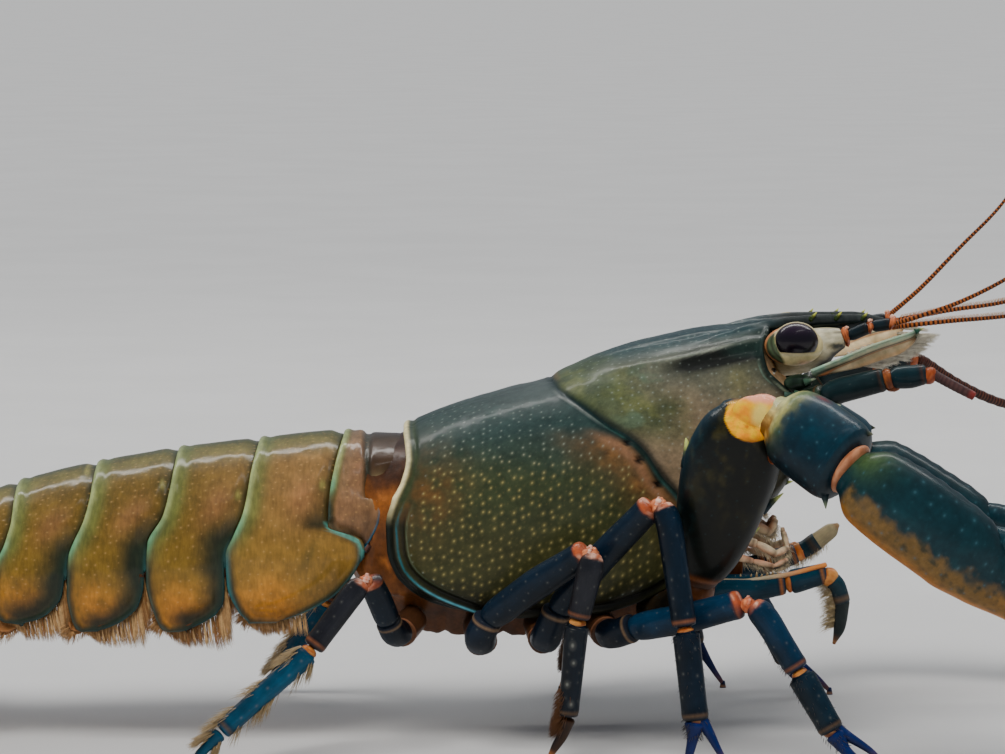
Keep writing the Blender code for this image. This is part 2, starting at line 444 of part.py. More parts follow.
def segment_body(name, rows, belly):
    """An abdominal segment: filled above the belly row, with a plate hanging at each side."""
    around, along = len(rows[0]) - 1, len(rows) - 1
    points, index = [], {}

    def add(key, point):
        index[key] = len(points)
        points.append(point)

    for i, row in enumerate(rows):
        for j, point in enumerate(row):
            add((i, j, 0), (point[0], 0.0, point[2]) if j == 0 else point)
            if j:
                add((i, j, 1), mirrored(point))
            else:
                index[i, j, 1] = index[i, j, 0]
            if j >= belly:
                inner = (point[0], min(point[1] + PLATE_THICK, -0.5), point[2])
                add((i, j, 2), inner)
                add((i, j, 3), mirrored(inner))
    faces = []
    for i in range(along):
        for j in range(around):
            faces.append([index[i, j, 0], index[i + 1, j, 0], index[i + 1, j + 1, 0], index[i, j + 1, 0]])
            faces.append([index[i, j, 1], index[i + 1, j, 1], index[i + 1, j + 1, 1], index[i, j + 1, 1]])
        for j in range(belly, around):
            faces.append([index[i, j, 2], index[i + 1, j, 2], index[i + 1, j + 1, 2], index[i, j + 1, 2]])
            faces.append([index[i, j, 3], index[i + 1, j, 3], index[i + 1, j + 1, 3], index[i, j + 1, 3]])
        for outer, inner in ((0, 2), (1, 3)):
            faces.append([index[i, around, outer], index[i + 1, around, outer],
                          index[i + 1, around, inner], index[i, around, inner]])
        faces.append([index[i, belly, 2], index[i + 1, belly, 2], index[i + 1, belly, 3],
                      index[i, belly, 3]])
    for i in (0, along):
        faces.append([index[i, 0, 0], index[i, 1, 0], index[i, 1, 1]])
        for j in range(1, belly - 1):
            faces.append([index[i, j, 0], index[i, j + 1, 0], index[i, j + 1, 1], index[i, j, 1]])
        j = belly - 1
        faces.append([index[i, j, 0], index[i, belly, 0], index[i, belly, 2], index[i, belly, 3],
                      index[i, belly, 1], index[i, j, 1]])
        for j in range(belly, around):
            for outer, inner in ((0, 2), (1, 3)):
                faces.append([index[i, j, outer], index[i, j + 1, outer], index[i, j + 1, inner],
                              index[i, j, inner]])
    return mesh_object(name, points, faces)


def ring_frames(points):
    """Depth and thickness directions at each point of a route, turned as little as can be from
    the far end, where thickness lies across the animal."""
    spots = [Vector(p[:3]) for p in points]
    count = len(spots)
    along = []
    for i in range(count):
        before = (spots[i] - spots[i - 1]).normalized() if i else Vector()
        after = (spots[i + 1] - spots[i]).normalized() if i < count - 1 else Vector()
        along.append((before + after).normalized())
    across = Vector((0, 1, 0))
    across = (across - across.dot(along[-1]) * along[-1]).normalized()
    frames = [None] * count
    for i in reversed(range(count)):
        across = (across - across.dot(along[i]) * along[i]).normalized()
        frames[i] = (along[i], along[i].cross(across), across)
    return spots, frames


def tube(name, points, sides=8, tip="round", root="flat", grow=0.0):
    """A solid limb through (x, y, z, depth, thickness) points, with round or flat ends."""
    spots, frames = ring_frames(points)
    rings = []

    def ring(spot, frame, deep, thick):
        _, up, across = frame
        rings.append([spot + up * (math.cos(turn) * (deep / 2 + grow)) + across * (math.sin(turn) * (thick / 2 + grow))
                      for turn in (math.radians(360) * (k + 0.5) / sides for k in range(sides))])

    first, last = points[0], points[-1]
    if root == "round":
        ring(spots[0] - frames[0][0] * (0.22 * first[4] + grow), frames[0], 0.6 * first[3], 0.6 * first[4])
    elif grow:
        ring(spots[0] - frames[0][0] * grow, frames[0], first[3], first[4])
    for spot, frame, point in zip(spots, frames, points):
        ring(spot, frame, point[3], point[4])
    if tip == "round":
        ring(spots[-1] + frames[-1][0] * (0.22 * last[4] + grow), frames[-1], 0.6 * last[3], 0.6 * last[4])
    elif grow:
        ring(spots[-1] + frames[-1][0] * grow, frames[-1], last[3], last[4])
    flat = [tuple(p) for r in rings for p in r]
    faces = []
    for i in range(len(rings) - 1):
        for k in range(sides):
            a, b = i * sides + k, i * sides + (k + 1) % sides
            faces.append([a, b, b + sides, a + sides])
    faces.append(list(range(sides)))
    faces.append([len(flat) - sides + k for k in range(sides)])
    return mesh_object(name, flat, faces)


def evened(points, count):
    """The same route with this many points on a smooth curve."""
    return [path_point(points, i / (count - 1)) for i in range(count)]


def cone(name, root, direction, length, radius, sides=5):
    """A small spine whose root is sunk half a millimetre."""
    way = Vector(direction).normalized()
    side = way.orthogonal().normalized()
    other = way.cross(side)
    low = Vector(root) - way * 0.5
    points = [low + (side * math.cos(t) + other * math.sin(t)) * radius
              for t in (math.radians(360) * k / sides for k in range(sides))]
    tip = Vector(root) + way * length
    points += [tip + (side * math.cos(t) + other * math.sin(t)) * 0.06
               for t in (math.radians(360) * k / sides for k in range(sides))]
    faces = [[k, (k + 1) % sides, sides + (k + 1) % sides, sides + k] for k in range(sides)]
    faces += [list(range(sides)), [sides + k for k in range(sides)]]
    return mesh_object(name, [tuple(p) for p in points], faces)


def ellipsoid(name, centre, radii, rings=8, sides=12, grow=0.0):
    points, faces = [], []
    for i in range(1, rings):
        tilt = math.pi * i / rings
        for k in range(sides):
            turn = math.radians(360) * k / sides
            unit = (math.sin(tilt) * math.cos(turn), math.cos(tilt), math.sin(tilt) * math.sin(turn))
            points.append(tuple(c + (r + grow) * u for c, r, u in zip(centre, radii, unit)))
    poles = [tuple(c + (s * (r + grow) if k == 1 else 0) for k, (c, r) in enumerate(zip(centre, radii)))
             for s in (1, -1)]
    points += poles
    for i in range(rings - 2):
        for k in range(sides):
            a, b = i * sides + k, i * sides + (k + 1) % sides
            faces.append([a, b, b + sides, a + sides])
    last = (rings - 2) * sides
    for k in range(sides):
        faces.append([k, (k + 1) % sides, len(points) - 2])
        faces.append([last + k, last + (k + 1) % sides, len(points) - 1])
    return mesh_object(name, points, faces)


BODY_OUTLINE = (BODY_TOP, BODY_BOTTOM, BODY_HALF_WIDTH)
TAIL_OUTLINE = (TAIL_TOP, TAIL_BOTTOM, TAIL_HALF_WIDTH)


def carapace_solid(name, along=11, around=13, grow=0.0):
    rows = plate_rows(CERVICAL_GROOVE, CARAPACE_REAR, BODY_FORM, BODY_OUTLINE, along, around, grow,
                      ahead=grow - GAP / 2, behind=grow)
    return filled_body(name, rows)


def head_solid(name, along=8, around=13, grow=0.0):
    rows = plate_rows(HEAD_FRONT, CERVICAL_GROOVE, BODY_FORM, BODY_OUTLINE, along, around, grow,
                      ahead=grow, behind=grow - GAP / 2)
    return filled_body(name, rows)


def beak_solid(name):
    """The flat beak over the eyes, with its raised margins."""
    rings, count = [], 9
    for i in range(count + 1):
        x = ROSTRUM_BACK + (ROSTRUM_TIP - ROSTRUM_BACK) * i / count
        half, top, thick = (smooth(s, x) for s in (ROSTRUM_HALF_WIDTH, ROSTRUM_TOP, ROSTRUM_THICK))
        rim = min(0.45, half / 3)
        rings.append([(x, -half, top - 0.5 * thick), (x, -half + rim * 0.4, top + 0.12),
                      (x, -half + rim * 1.8, top - 0.28), (x, 0, top - 0.32), (x, half - rim * 1.8, top - 0.28),
                      (x, half - rim * 0.4, top + 0.12), (x, half, top - 0.5 * thick), (x, half * 0.6, top - thick),
                      (x, 0, top - thick * 1.15), (x, -half * 0.6, top - thick)])
    sides = len(rings[0])
    points = [p for ring in rings for p in ring]
    faces = []
    for i in range(count):
        for k in range(sides):
            a, b = i * sides + k, i * sides + (k + 1) % sides
            faces.append([a, b, b + sides, a + sides])
    faces += [list(range(sides)), [len(points) - sides + k for k in range(sides)]]
    return mesh_object(name, points, faces)


def beak_spines():
    """Three small spines on each margin of the beak."""
    pieces = []
    for x in ROSTRUM_SPINES:
        for side in (-1, 1):
            root = (x, side * (smooth(ROSTRUM_HALF_WIDTH, x) - 0.25), smooth(ROSTRUM_TOP, x) - 0.25)
            pieces.append(cone("rostral_spine", root, (1.0, side * 0.35, 0.45), ROSTRUM_SPINE_LENGTH,
                               ROSTRUM_SPINE_RADIUS))
    return pieces


def sternum_solid(name, grow=0.0):
    """The underside between the legs, cut away where the shell covers it."""
    start, end, count = -3.7, 31.0, 9
    rows = []
    for i in range(count + 1):
        x = start + (end - start) * i / count
        low, high, half = (smooth(s, x) for s in (STERNUM_BOTTOM, STERNUM_TOP, STERNUM_HALF_WIDTH))
        low, high, half = low - grow, high + grow, half + grow
        spread = -grow if i == 0 else grow if i == count else 0.0
        rows.append([(x + spread, -half * a, low + (high - low) * b)
                     for a, b in ((0, 1), (0.7, 1), (1, 0.8), (1, 0.35), (0.78, 0.06), (0.35, 0.0))])
    return filled_body(name, rows)


def swimmerets(segment, x):
    """Two hanging paddles a side, each two vanes that join at the root."""
    pieces = []
    lean = math.radians(SWIMMERET_LEAN)
    half, height = body_point(x, BELLY_SHARE, TAIL_FORM, TAIL_OUTLINE, 0.0)
    for side in (-1, 1):
        for vane, splay in enumerate((-9.0, 12.0)):
            root = Vector((x, side * (half - 3.2), height + 0.6))
            way = Vector((-math.sin(lean), side * math.sin(math.radians(splay)), -math.cos(lean))).normalized()
            wide = Vector((way.z, 0, -way.x)).normalized()
            thick = way.cross(wide)
            length = SWIMMERET_LENGTH - vane * 0.8
            rings = []
            for t, spread in ((0, 0.35), (0.35, 0.8), (0.7, 1.0), (0.92, 0.7), (1.0, 0.3)):
                centre = root + way * (length * t) + thick * (side * vane * 0.9 * t)
                for a, b in ((-1, -1), (1, -1), (1, 1), (-1, 1)):
                    rings.append(tuple(centre + wide * (a * spread * SWIMMERET_WIDTH / 2)
                                       + thick * (b * SWIMMERET_THICK / 2)))
            faces = [[i * 4 + k, i * 4 + (k + 1) % 4, i * 4 + 4 + (k + 1) % 4, i * 4 + 4 + k]
                     for i in range(4) for k in range(4)]
            faces += [[0, 1, 2, 3], [16, 17, 18, 19]]
            pieces.append(mesh_object(f"{segment}_vane", rings, faces))
    return pieces


def flat_plate(name, length, half_width, thick, place, stations=9, ridge=0.35):
    """A tail or scale plate, laid back along -x from its root and then placed."""
    points = []
    for i in range(stations):
        along = length * i / (stations - 1)
        half = smooth(half_width, along)
        for a, b in ((-1, 0), (-0.55, 0.5), (0, 0.5 + ridge), (0.55, 0.5), (1, 0), (0.55, -0.5), (0, -0.5),
                     (-0.55, -0.5)):
            thin = thick * (1.0 if i < stations - 1 else 0.7)
            points.append(tuple(place @ Vector((-along, a * half, b * thin))))
    faces = [[i * 8 + k, i * 8 + (k + 1) % 8, i * 8 + 8 + (k + 1) % 8, i * 8 + 8 + k]
             for i in range(stations - 1) for k in range(8)]
    faces += [list(range(8)), [len(points) - 8 + k for k in range(8)]]
    return mesh_object(name, points, faces)


def fan_place(across, drop, spread, roll):
    """Where a tail plate lies: its root beside the middle line, below it, turned out and rolled."""
    pitch = math.radians(-FAN_PITCH)
    base = Matrix.Translation((FAN_ROOT[0], 0, FAN_ROOT[1])) @ Matrix.Rotation(pitch, 4, "Y")
    return (base @ Matrix.Translation((0, across, -drop)) @ Matrix.Rotation(math.radians(spread), 4, "Z")
            @ Matrix.Rotation(math.radians(roll), 4, "X"))


def build_body():
    head = fuse(head_solid("head"), [beak_solid("rostrum"), *beak_spines()])
    finish(head, "shell_green", SHELL_GREEN)
    finish(carapace_solid("carapace"), "shell_green", SHELL_GREEN)
    sternum = cut(sternum_solid("sternum"), [carapace_solid("room", grow=GAP), head_solid("room", grow=GAP)])
    finish(sternum, "flesh_orange", FLESH_ORANGE)


def build_abdomen():
    around, along = 15, 4
    belly = round(BELLY_SHARE * around)
    for name, (front, rear) in SEGMENT_EDGES.items():
        if name == "abdomen_1":
            outline = (TAIL_TOP, [(-10, 21.9), (0, 21.9)], TAIL_HALF_WIDTH)
            form = {**TAIL_FORM, "wide_at": 0.1}
            rows = plate_rows(front, rear, form, outline, along, 9)
            made = filled_body(name, rows)
        else:
            rows = plate_rows(front, rear, TAIL_FORM, TAIL_OUTLINE, along, around)
            made = segment_body(name, rows, belly)
        if name in SWIMMERET_SEGMENTS:
            fuse(made, swimmerets(name, SWIMMERET_SEGMENTS[name]))
        finish(made, "tail_olive", TAIL_OLIVE)


def build_tail_fan():
    finish(flat_plate("telson", TELSON_LENGTH, TELSON_HALF_WIDTH, FAN_THICK, fan_place(0, 0, 0, 0)),
           "tail_olive", TAIL_OLIVE)
    front, rear = SEGMENT_EDGES["abdomen_6"]
    for side, label in ((-1, "right"), (1, "left")):
        inner = fan_place(side * 2.6, FAN_STEP, -side * 21, -side * 6)
        outer = fan_place(side * 4.2, 2.2 * FAN_STEP, -side * 46, -side * 12)
        plates = [flat_plate(f"uropod_inner_{label}", ENDOPOD_LENGTH, ENDOPOD_HALF_WIDTH, FAN_THICK, inner),
                  flat_plate(f"uropod_outer_{label}", EXOPOD_LENGTH, EXOPOD_HALF_WIDTH, FAN_THICK, outer)]
        for plate in plates:
            rows = plate_rows(front, rear, TAIL_FORM, TAIL_OUTLINE, 4, 13, grow=GAP, ahead=GAP, behind=GAP)
            finish(cut(plate, [filled_body("room", rows)]), "tail_olive", TAIL_OLIVE)


def on_side(point, side):
    """A right-side point, mirrored when side is 1."""
    return (point[0], -side * point[1], *point[2:])


def build_eyes():
    for side, label in ((-1, "right"), (1, "left")):
        centre, root = on_side(EYE_CENTRE, side), on_side(STALK_ROOT, side)
        finish(ellipsoid(f"eye_{label}", centre, EYE_RADII), "eye_black", EYE_BLACK, 0.05)
        near = [c + (r - c) * 0.12 for c, r in zip(centre, root)]
        middle = [(a + b) / 2 for a, b in zip(near, root)]
        route = [(*root, 2 * STALK_RADII[0], 2 * STALK_RADII[0]), (*middle, 2 * STALK_RADII[2], 2 * STALK_RADII[2]),
                 (*near, 2 * STALK_RADII[1] + 1.6, 2 * STALK_RADII[1])]
        stalk = tube(f"eyestalk_{label}", route, sides=10, tip="flat")
        cut(stalk, [ellipsoid("room", centre, EYE_RADII, grow=GAP), head_with_beak("room", GAP)])
        finish(stalk, "stalk_pale", STALK_PALE)


def head_with_beak(name, grow):
    """The head and its beak, a little larger, as a cutter for what grows from it."""
    made = head_solid(name, grow=grow)
    beak = beak_solid("rostrum")
    for vert in beak.data.vertices:
        middle = vert.co.y + MIDDLE_Y * MM
        vert.co.y += math.copysign(grow * MM, middle) if abs(middle) > 0.1 * MM else 0.0
    top = [v.co.z for v in beak.data.vertices]
    spread = (max(top) + min(top)) / 2
    for vert in beak.data.vertices:
        vert.co.z += grow * MM if vert.co.z > spread else -grow * MM
    return fuse(made, [beak])


def build_feelers():
    lashes = {"right": (RIGHT_OUTER_LASH, RIGHT_INNER_LASH), "left": (LEFT_OUTER_LASH, LEFT_INNER_LASH)}
    for side, label in ((-1, "right"), (1, "left")):
        route = [(*on_side(p, side), s, s) for p, s in zip(ANTENNULE_PATH, ANTENNULE_SIZES)]
        finish(cut(tube(f"antennule_{label}", route), [head_solid("room", grow=GAP)]), "limb_blue", LIMB_BLUE)
        for kind, points in zip(("outer", "inner"), lashes[label]):
            lash(f"antennule_{kind}_lash_{label}", points, LASH_ROOT_SIZE, LASH_TIP_SIZE, 11)
        route = [(*on_side(p, side), s, s) for p, s in zip(ANTENNA_PATH, ANTENNA_SIZES)]
        finish(cut(tube(f"antenna_base_{label}", route), [head_solid("room", grow=GAP)]), "limb_blue", LIMB_BLUE)
        scale(label, side)
    finish(tube("antenna_flagellum_right", [(*p, STUMP_SIZE, STUMP_SIZE) for p in RIGHT_STUMP], sides=7),
           "feeler_brown", FEELER_BROWN)
    lash("antenna_flagellum_left", LEFT_FLAGELLUM, FLAGELLUM_ROOT_SIZE, FLAGELLUM_TIP_SIZE, 28)


def lash(name, points, root_size, tip_size, count):
    route = evened(points, count)
    sizes = [root_size + (tip_size - root_size) * i / (count - 1) for i in range(count)]
    finish(tube(name, [(*p, s, s) for p, s in zip(route, sizes)], sides=6), "feeler_brown", FEELER_BROWN)


def scale(label, side):
    """The leaf-like scale above the base of the antenna."""
    root, tip = Vector(on_side(SCALE_ROOT, side)), Vector(on_side(SCALE_TIP, side))
    back = (root - tip).normalized()
    across = Vector((0, 1, 0)) - back * back.y
    across.normalize()
    turn = Matrix((back, across, back.cross(across))).transposed().to_4x4()
    tilt = Matrix.Rotation(math.radians(side * 40), 4, "X")
    place = Matrix.Translation(root) @ turn @ tilt
    length = (root - tip).length
    made = flat_plate(f"antennal_scale_{label}", length, SCALE_HALF_WIDTH, SCALE_THICK, place, ridge=0.2)
    finish(made, "claw_blue", CLAW_BLUE)


def spines_on(points, spots):
    """Spines on a limb: each spot is (share of the route, degrees round it, lean forward)."""
    spots_made = []
    for share, turn, lean in spots:
        at = path_point(points, share)
        position, frames = ring_frames([path_point(points, max(0.0, share - 0.05)), at,
                                        path_point(points, min(1.0, share + 0.05))])
        ahead, up, across = frames[1]
        out = up * math.cos(math.radians(turn)) + across * math.sin(math.radians(turn))
        reach = math.hypot(at[3] / 2 * math.cos(math.radians(turn)), at[4] / 2 * math.sin(math.radians(turn)))
        spots_made.append(cone("spine", position[1] + out * (reach * 0.9), out + ahead * lean,
                               MERUS_SPINE_LENGTH, SPINE_RADIUS))
    return spots_made


def build_claws():
    limbs = {
        "right": (RIGHT_CHELIPED_BASE, RIGHT_MERUS, RIGHT_CARPUS, RIGHT_PALM, RIGHT_DACTYL),
        "left": (LEFT_CHELIPED_BASE, LEFT_MERUS, LEFT_CARPUS, LEFT_PALM, LEFT_DACTYL),
    }
    for label, (base, merus, carpus, palm, dactyl) in limbs.items():
        root = cut(tube(f"cheliped_base_{label}", base, sides=8),
                   [sternum_solid("room", grow=GAP), carapace_solid("room", grow=GAP), head_solid("room", grow=GAP)])
        finish(root, "claw_blue", CLAW_BLUE)
        upper = tube(f"cheliped_merus_{label}", evened(merus, 8), sides=10, root="round")
        fuse(upper, spines_on(merus, [(0.66, 0, 1.6), (0.5, 180, 0.8)]))
        finish(cut(upper, [tube("room", base, grow=GAP)]), "claw_blue", CLAW_BLUE)
        wrist = tube(f"cheliped_carpus_{label}", evened(carpus, 7), sides=10, root="round")
        fuse(wrist, spines_on(carpus, [(0.93, 180, 1.3)]))
        finish(cut(wrist, [tube("room", evened(merus, 8), sides=10, root="round", grow=GAP)]), "claw_blue",
               CLAW_BLUE)
        hand = tube(f"cheliped_palm_{label}", evened(palm, 15), sides=10, root="round")
        finish(cut(hand, [tube("room", evened(carpus, 7), sides=10, root="round", grow=GAP)]), "claw_blue",
               CLAW_BLUE)
        finger = tube(f"cheliped_dactyl_{label}", evened(dactyl, 9), sides=8, root="round")
        finish(cut(finger, [tube("room", evened(palm, 15), sides=10, root="round", grow=GAP)]), "claw_blue",
               CLAW_BLUE)


def with_foot(points):
    """The route with its last point turned into a short upright end that stands flat at z = 0."""
    x, y, z, _, _ = points[-1]
    return [*points[:-1], (x, y, z + 0.45, FOOT_SIZE, FOOT_SIZE)]


def foot(spot):
    """The flat pad under a leg's tip."""
    sides, x, y = 8, spot[0], spot[1]
    points = [(x + 0.4 * FOOT_SIZE * math.cos(t), y + 0.4 * FOOT_SIZE * math.sin(t), z)
              for z in (0.0, spot[2] + 0.5) for t in (math.radians(360) * k / sides for k in range(sides))]
    faces = [[k, (k + 1) % sides, sides + (k + 1) % sides, sides + k] for k in range(sides)]
    faces += [list(range(sides)), [sides + k for k in range(sides)]]
    return mesh_object("foot", points, faces)


def build_legs():
    for name, upper in LEG_UPPER.items():
        thigh = cut(tube(f"{name}_upper", upper), [sternum_solid("room", grow=GAP), carapace_solid("room", grow=GAP)])
        finish(thigh, "limb_blue", LIMB_BLUE)
        lower = LEG_LOWER[name]
        pieces = [foot(lower[-1])]
        if name in LEG_FINGER:
            finger = LEG_FINGER[name]
            pieces += [tube("finger", with_foot(finger), sides=7, root="round"), foot(finger[-1])]
        shin = fuse(tube(f"{name}_lower", with_foot(lower), root="round"), pieces)
        finish(cut(shin, [tube("room", upper, grow=GAP)]), "limb_blue", LIMB_BLUE)


def build_mouth():
    for label, points in (("right", RIGHT_MAXILLIPED), ("left", LEFT_MAXILLIPED)):
        made = cut(tube(f"maxilliped_{label}", points), [sternum_solid("room", grow=GAP), head_solid("room", grow=GAP)])
        finish(made, "limb_blue", LIMB_BLUE)


def main():
    for old in list(bpy.data.objects):
        bpy.data.objects.remove(old)
    build_body()
    build_abdomen()
    build_tail_fan()
    build_eyes()
    build_feelers()
    build_claws()
    build_legs()
    build_mouth()


main()
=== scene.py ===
"""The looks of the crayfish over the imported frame, on a plain pale floor.

Shapes are laid out in working millimetres: +X towards the head, +Y to the animal's left, +Z up,
with x = 0 at the rear edge of the carapace and z = 0 at the floor. Pieces are moved to the
frame's place and turned into metres when they are made. Colours are painted in code on the
points of each mesh, as the attribute tint; marks carries how much dotting, mottling and shine
a point has; flat carries a place on the unrolled skin in millimetres.
"""

import math

import bpy
import numpy as np
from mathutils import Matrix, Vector


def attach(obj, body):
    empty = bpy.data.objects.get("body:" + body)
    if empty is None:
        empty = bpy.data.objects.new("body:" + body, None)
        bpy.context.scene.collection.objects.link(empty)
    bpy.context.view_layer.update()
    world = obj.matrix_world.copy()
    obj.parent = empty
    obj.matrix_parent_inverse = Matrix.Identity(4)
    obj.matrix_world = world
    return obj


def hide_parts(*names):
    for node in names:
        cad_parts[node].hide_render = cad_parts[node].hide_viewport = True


# Working millimetres to metres, and the middle of the bounding box, which is the frame's origin.
MM = 0.001
MIDDLE_X, MIDDLE_Y = 10.68, 13.97
SIDES = ((-1, "right"), (1, "left"))
# Side outline of the head and thorax: (x, height) of the back and of the lower margin.
BODY_TOP = [
    (-2, 31.2), (0, 32.0), (5, 34.0), (11, 35.8), (15, 36.8), (16.4, 37.5), (20.4, 39.4), (26.6, 41.1),
    (34.8, 42.7), (41, 43.0)]
BODY_BOTTOM = [
    (-2, 14.0), (6, 13.4), (12, 13.1), (20, 13.5), (24, 14.5), (28, 16.6), (31, 20.0), (34.5, 25.2),
    (37.5, 30.5), (41, 35.0)]
BODY_HALF_WIDTH = [
    (-2, 9.9), (3, 11.2), (12, 12.3), (20, 12.1), (27, 11.0), (33, 9.2), (38, 7.0), (41, 5.6)]
BODY_FORM = {"wide_at": 0.46, "upper_share": 0.62, "round": 0.88, "tuck": 78.0, "tuck_power": 0.16}

# Edges of the shell plates in side view: (height, x).
CARAPACE_REAR = [
    (13.2, 8.5), (13.6, 6.6), (14.2, 4.6), (15.0, 2.7), (16.2, 0.9), (17.8, -0.5), (20.2, -1.3), (22.7, -1.4),
    (25.3, -0.7), (27.2, 0.2), (29.3, 0.7), (32.0, 0.3)]
CERVICAL_GROOVE = [
    (13.0, 30.6), (20.0, 30.6), (24.0, 29.5), (25.8, 28.3), (27.8, 26.5), (30.4, 24.8), (32.2, 22.8),
    (33.0, 21.3), (34.4, 19.2), (35.3, 17.7), (36.1, 16.2), (37.2, 15.1)]
HEAD_FRONT = [
    (17.0, 30.8), (20.0, 31.6), (24.0, 34.0), (28.0, 36.2), (31.0, 37.8), (34.0, 39.3), (35.6, 40.0),
    (36.6, 38.9), (38.4, 37.2), (40.2, 36.8), (42.0, 37.3), (43.5, 37.6)]

ROSTRUM_TIP = 49.6
ROSTRUM_HALF_WIDTH = [
    (33.5, 4.6), (37.0, 3.7), (40.0, 2.7), (44.0, 2.15), (47.4, 1.7), (49.0, 0.7), (49.6, 0.28)]
ROSTRUM_TOP = [(33.5, 42.1), (38.0, 43.0), (42.0, 43.35), (46.0, 43.4), (49.6, 42.95)]
ROSTRUM_THICK = [(33.5, 2.4), (40.0, 1.6), (46.0, 1.2), (49.6, 0.5)]
ROSTRUM_SPINES = (42.0, 44.6, 47.3)

# Abdomen: (x, height) of the back and of the tips of the side plates, then the half width.
TAIL_TOP = [
    (-49, 21.6), (-40, 26.0), (-31.5, 28.1), (-23, 29.6), (-14.5, 30.6), (-5.7, 31.4), (0.5, 31.3)]
TAIL_BOTTOM = [
    (-49, 13.4), (-46, 13.0), (-40, 12.5), (-33, 11.75), (-24, 11.75), (-15.5, 12.7), (0, 12.8)]
TAIL_HALF_WIDTH = [(-49, 6.6), (-44, 7.6), (-36, 8.5), (-26, 9.2), (-14, 9.6), (-4, 9.0), (0.5, 8.4)]
TAIL_FORM = {"wide_at": 0.42, "upper_share": 0.66, "round": 0.9, "tuck": 55.0, "tuck_power": 0.12}
BELLY_SHARE = 0.76

# Each abdominal segment: the front and rear edges of its plate in side view, as (height, x).
SEGMENT_EDGES = {
    "abdomen_1": (
        [(21.9, -4.3), (22.8, -3.1), (24.2, -2.3), (25.2, -1.7), (26.8, -0.9), (29.3, -0.1), (32.0, -0.2)],
        [(21.9, -6.0), (22.6, -7.1), (24.0, -7.2), (28.3, -6.6), (32.0, -5.6)]),
    "abdomen_2": (
        [(12.75, -12.6), (13.3, -10.9), (14.3, -8.6), (15.5, -6.7), (16.8, -5.4), (18.1, -4.5), (19.3, -4.0),
        (20.4, -3.95), (21.1, -4.35), (21.7, -5.3), (22.05, -6.5), (22.4, -7.35), (23.0, -7.6), (24.5, -7.5),
        (28.3, -6.95), (32.0, -5.95)],
        [(12.75, -15.3), (13.8, -16.3), (16.6, -17.4), (19.6, -17.5), (21.5, -16.8), (24.2, -15.7),
        (28.3, -15.0), (31.0, -14.4)]),
    "abdomen_3": (
        [(11.8, -22.0), (12.2, -21.1), (12.8, -19.9), (13.7, -18.6), (15.0, -17.9), (16.6, -17.8),
        (19.6, -17.85), (21.5, -17.15), (24.2, -16.05), (28.3, -15.35), (31.0, -14.75)],
        [(11.8, -23.5), (12.4, -24.4), (13.5, -24.9), (17.1, -25.7), (20.7, -25.5), (23.7, -23.9),
        (26.3, -23.3), (30.0, -22.8)]),
    "abdomen_4": (
        [(11.8, -30.8), (12.2, -29.5), (13.1, -27.9), (14.4, -26.6), (16.4, -26.05), (20.7, -25.85),
        (23.7, -24.25), (26.3, -23.65), (30.0, -23.15)],
        [(11.8, -32.4), (12.2, -33.0), (13.0, -33.4), (15.5, -33.8), (19.1, -33.6), (23.2, -32.0),
        (25.3, -31.5), (28.5, -31.2)]),
    "abdomen_5": (
        [(12.5, -38.4), (12.9, -36.9), (13.8, -35.5), (15.4, -34.4), (17.0, -34.15), (19.1, -33.95),
        (23.2, -32.35), (25.3, -31.85), (28.5, -31.55)],
        [(12.5, -40.2), (13.2, -41.0), (15.5, -41.5), (18.5, -41.0), (20.7, -40.1), (23.2, -39.5),
        (26.4, -39.4)]),
    "abdomen_6": (
        [(13.0, -44.6), (13.6, -43.2), (14.6, -42.2), (16.0, -41.85), (18.5, -41.35), (20.7, -40.45),
        (23.2, -39.85), (26.4, -39.75)],
        [(13.0, -46.0), (14.5, -47.3), (17.0, -48.2), (20.0, -48.3), (23.0, -47.6)]),
}
SWIMMERET_SEGMENTS = {"abdomen_2": -11.5, "abdomen_3": -20.5, "abdomen_4": -29.5, "abdomen_5": -37.0}
SWIMMERET_LENGTH = 7.6
SWIMMERET_WIDTH = 2.7
SWIMMERET_LEAN = 38.0

# Underside of the thorax, between the legs: (x, value).
STERNUM_BOTTOM = [(-3.7, 14.0), (0, 11.6), (6, 10.6), (20, 10.6), (27, 12.2), (31, 14.8)]
STERNUM_HALF_WIDTH = [(-3.7, 6.6), (0, 7.6), (8, 8.2), (20, 8.2), (27, 7.4), (31, 5.6)]

# Tail fan. Plates are laid out flat, pointing back, and then turned.
FAN_ROOT = (-48.9, 19.6)
FAN_PITCH = 36.0
TELSON_LENGTH = 12.6
TELSON_HALF_WIDTH = [(0, 3.1), (2.5, 3.7), (7, 3.6), (10.5, 3.2), (12.0, 2.2), (12.6, 0.9)]
ENDOPOD_LENGTH = 12.2
ENDOPOD_HALF_WIDTH = [(0, 1.2), (2.0, 2.3), (6.5, 3.1), (10.0, 2.9), (11.6, 1.9), (12.2, 0.8)]
EXOPOD_LENGTH = 13.6
EXOPOD_HALF_WIDTH = [(0, 1.2), (2.2, 2.6), (7.5, 3.6), (11.0, 3.3), (12.9, 2.1), (13.6, 0.8)]
FAN_STEP = 1.45

# Head appendages on the animal's right side, as (x, y, z).
EYE_CENTRE = (40.2, -6.0, 41.1)
EYE_RADII = (2.25, 1.75, 1.95)
STALK_ROOT = (37.9, -2.4, 40.1)

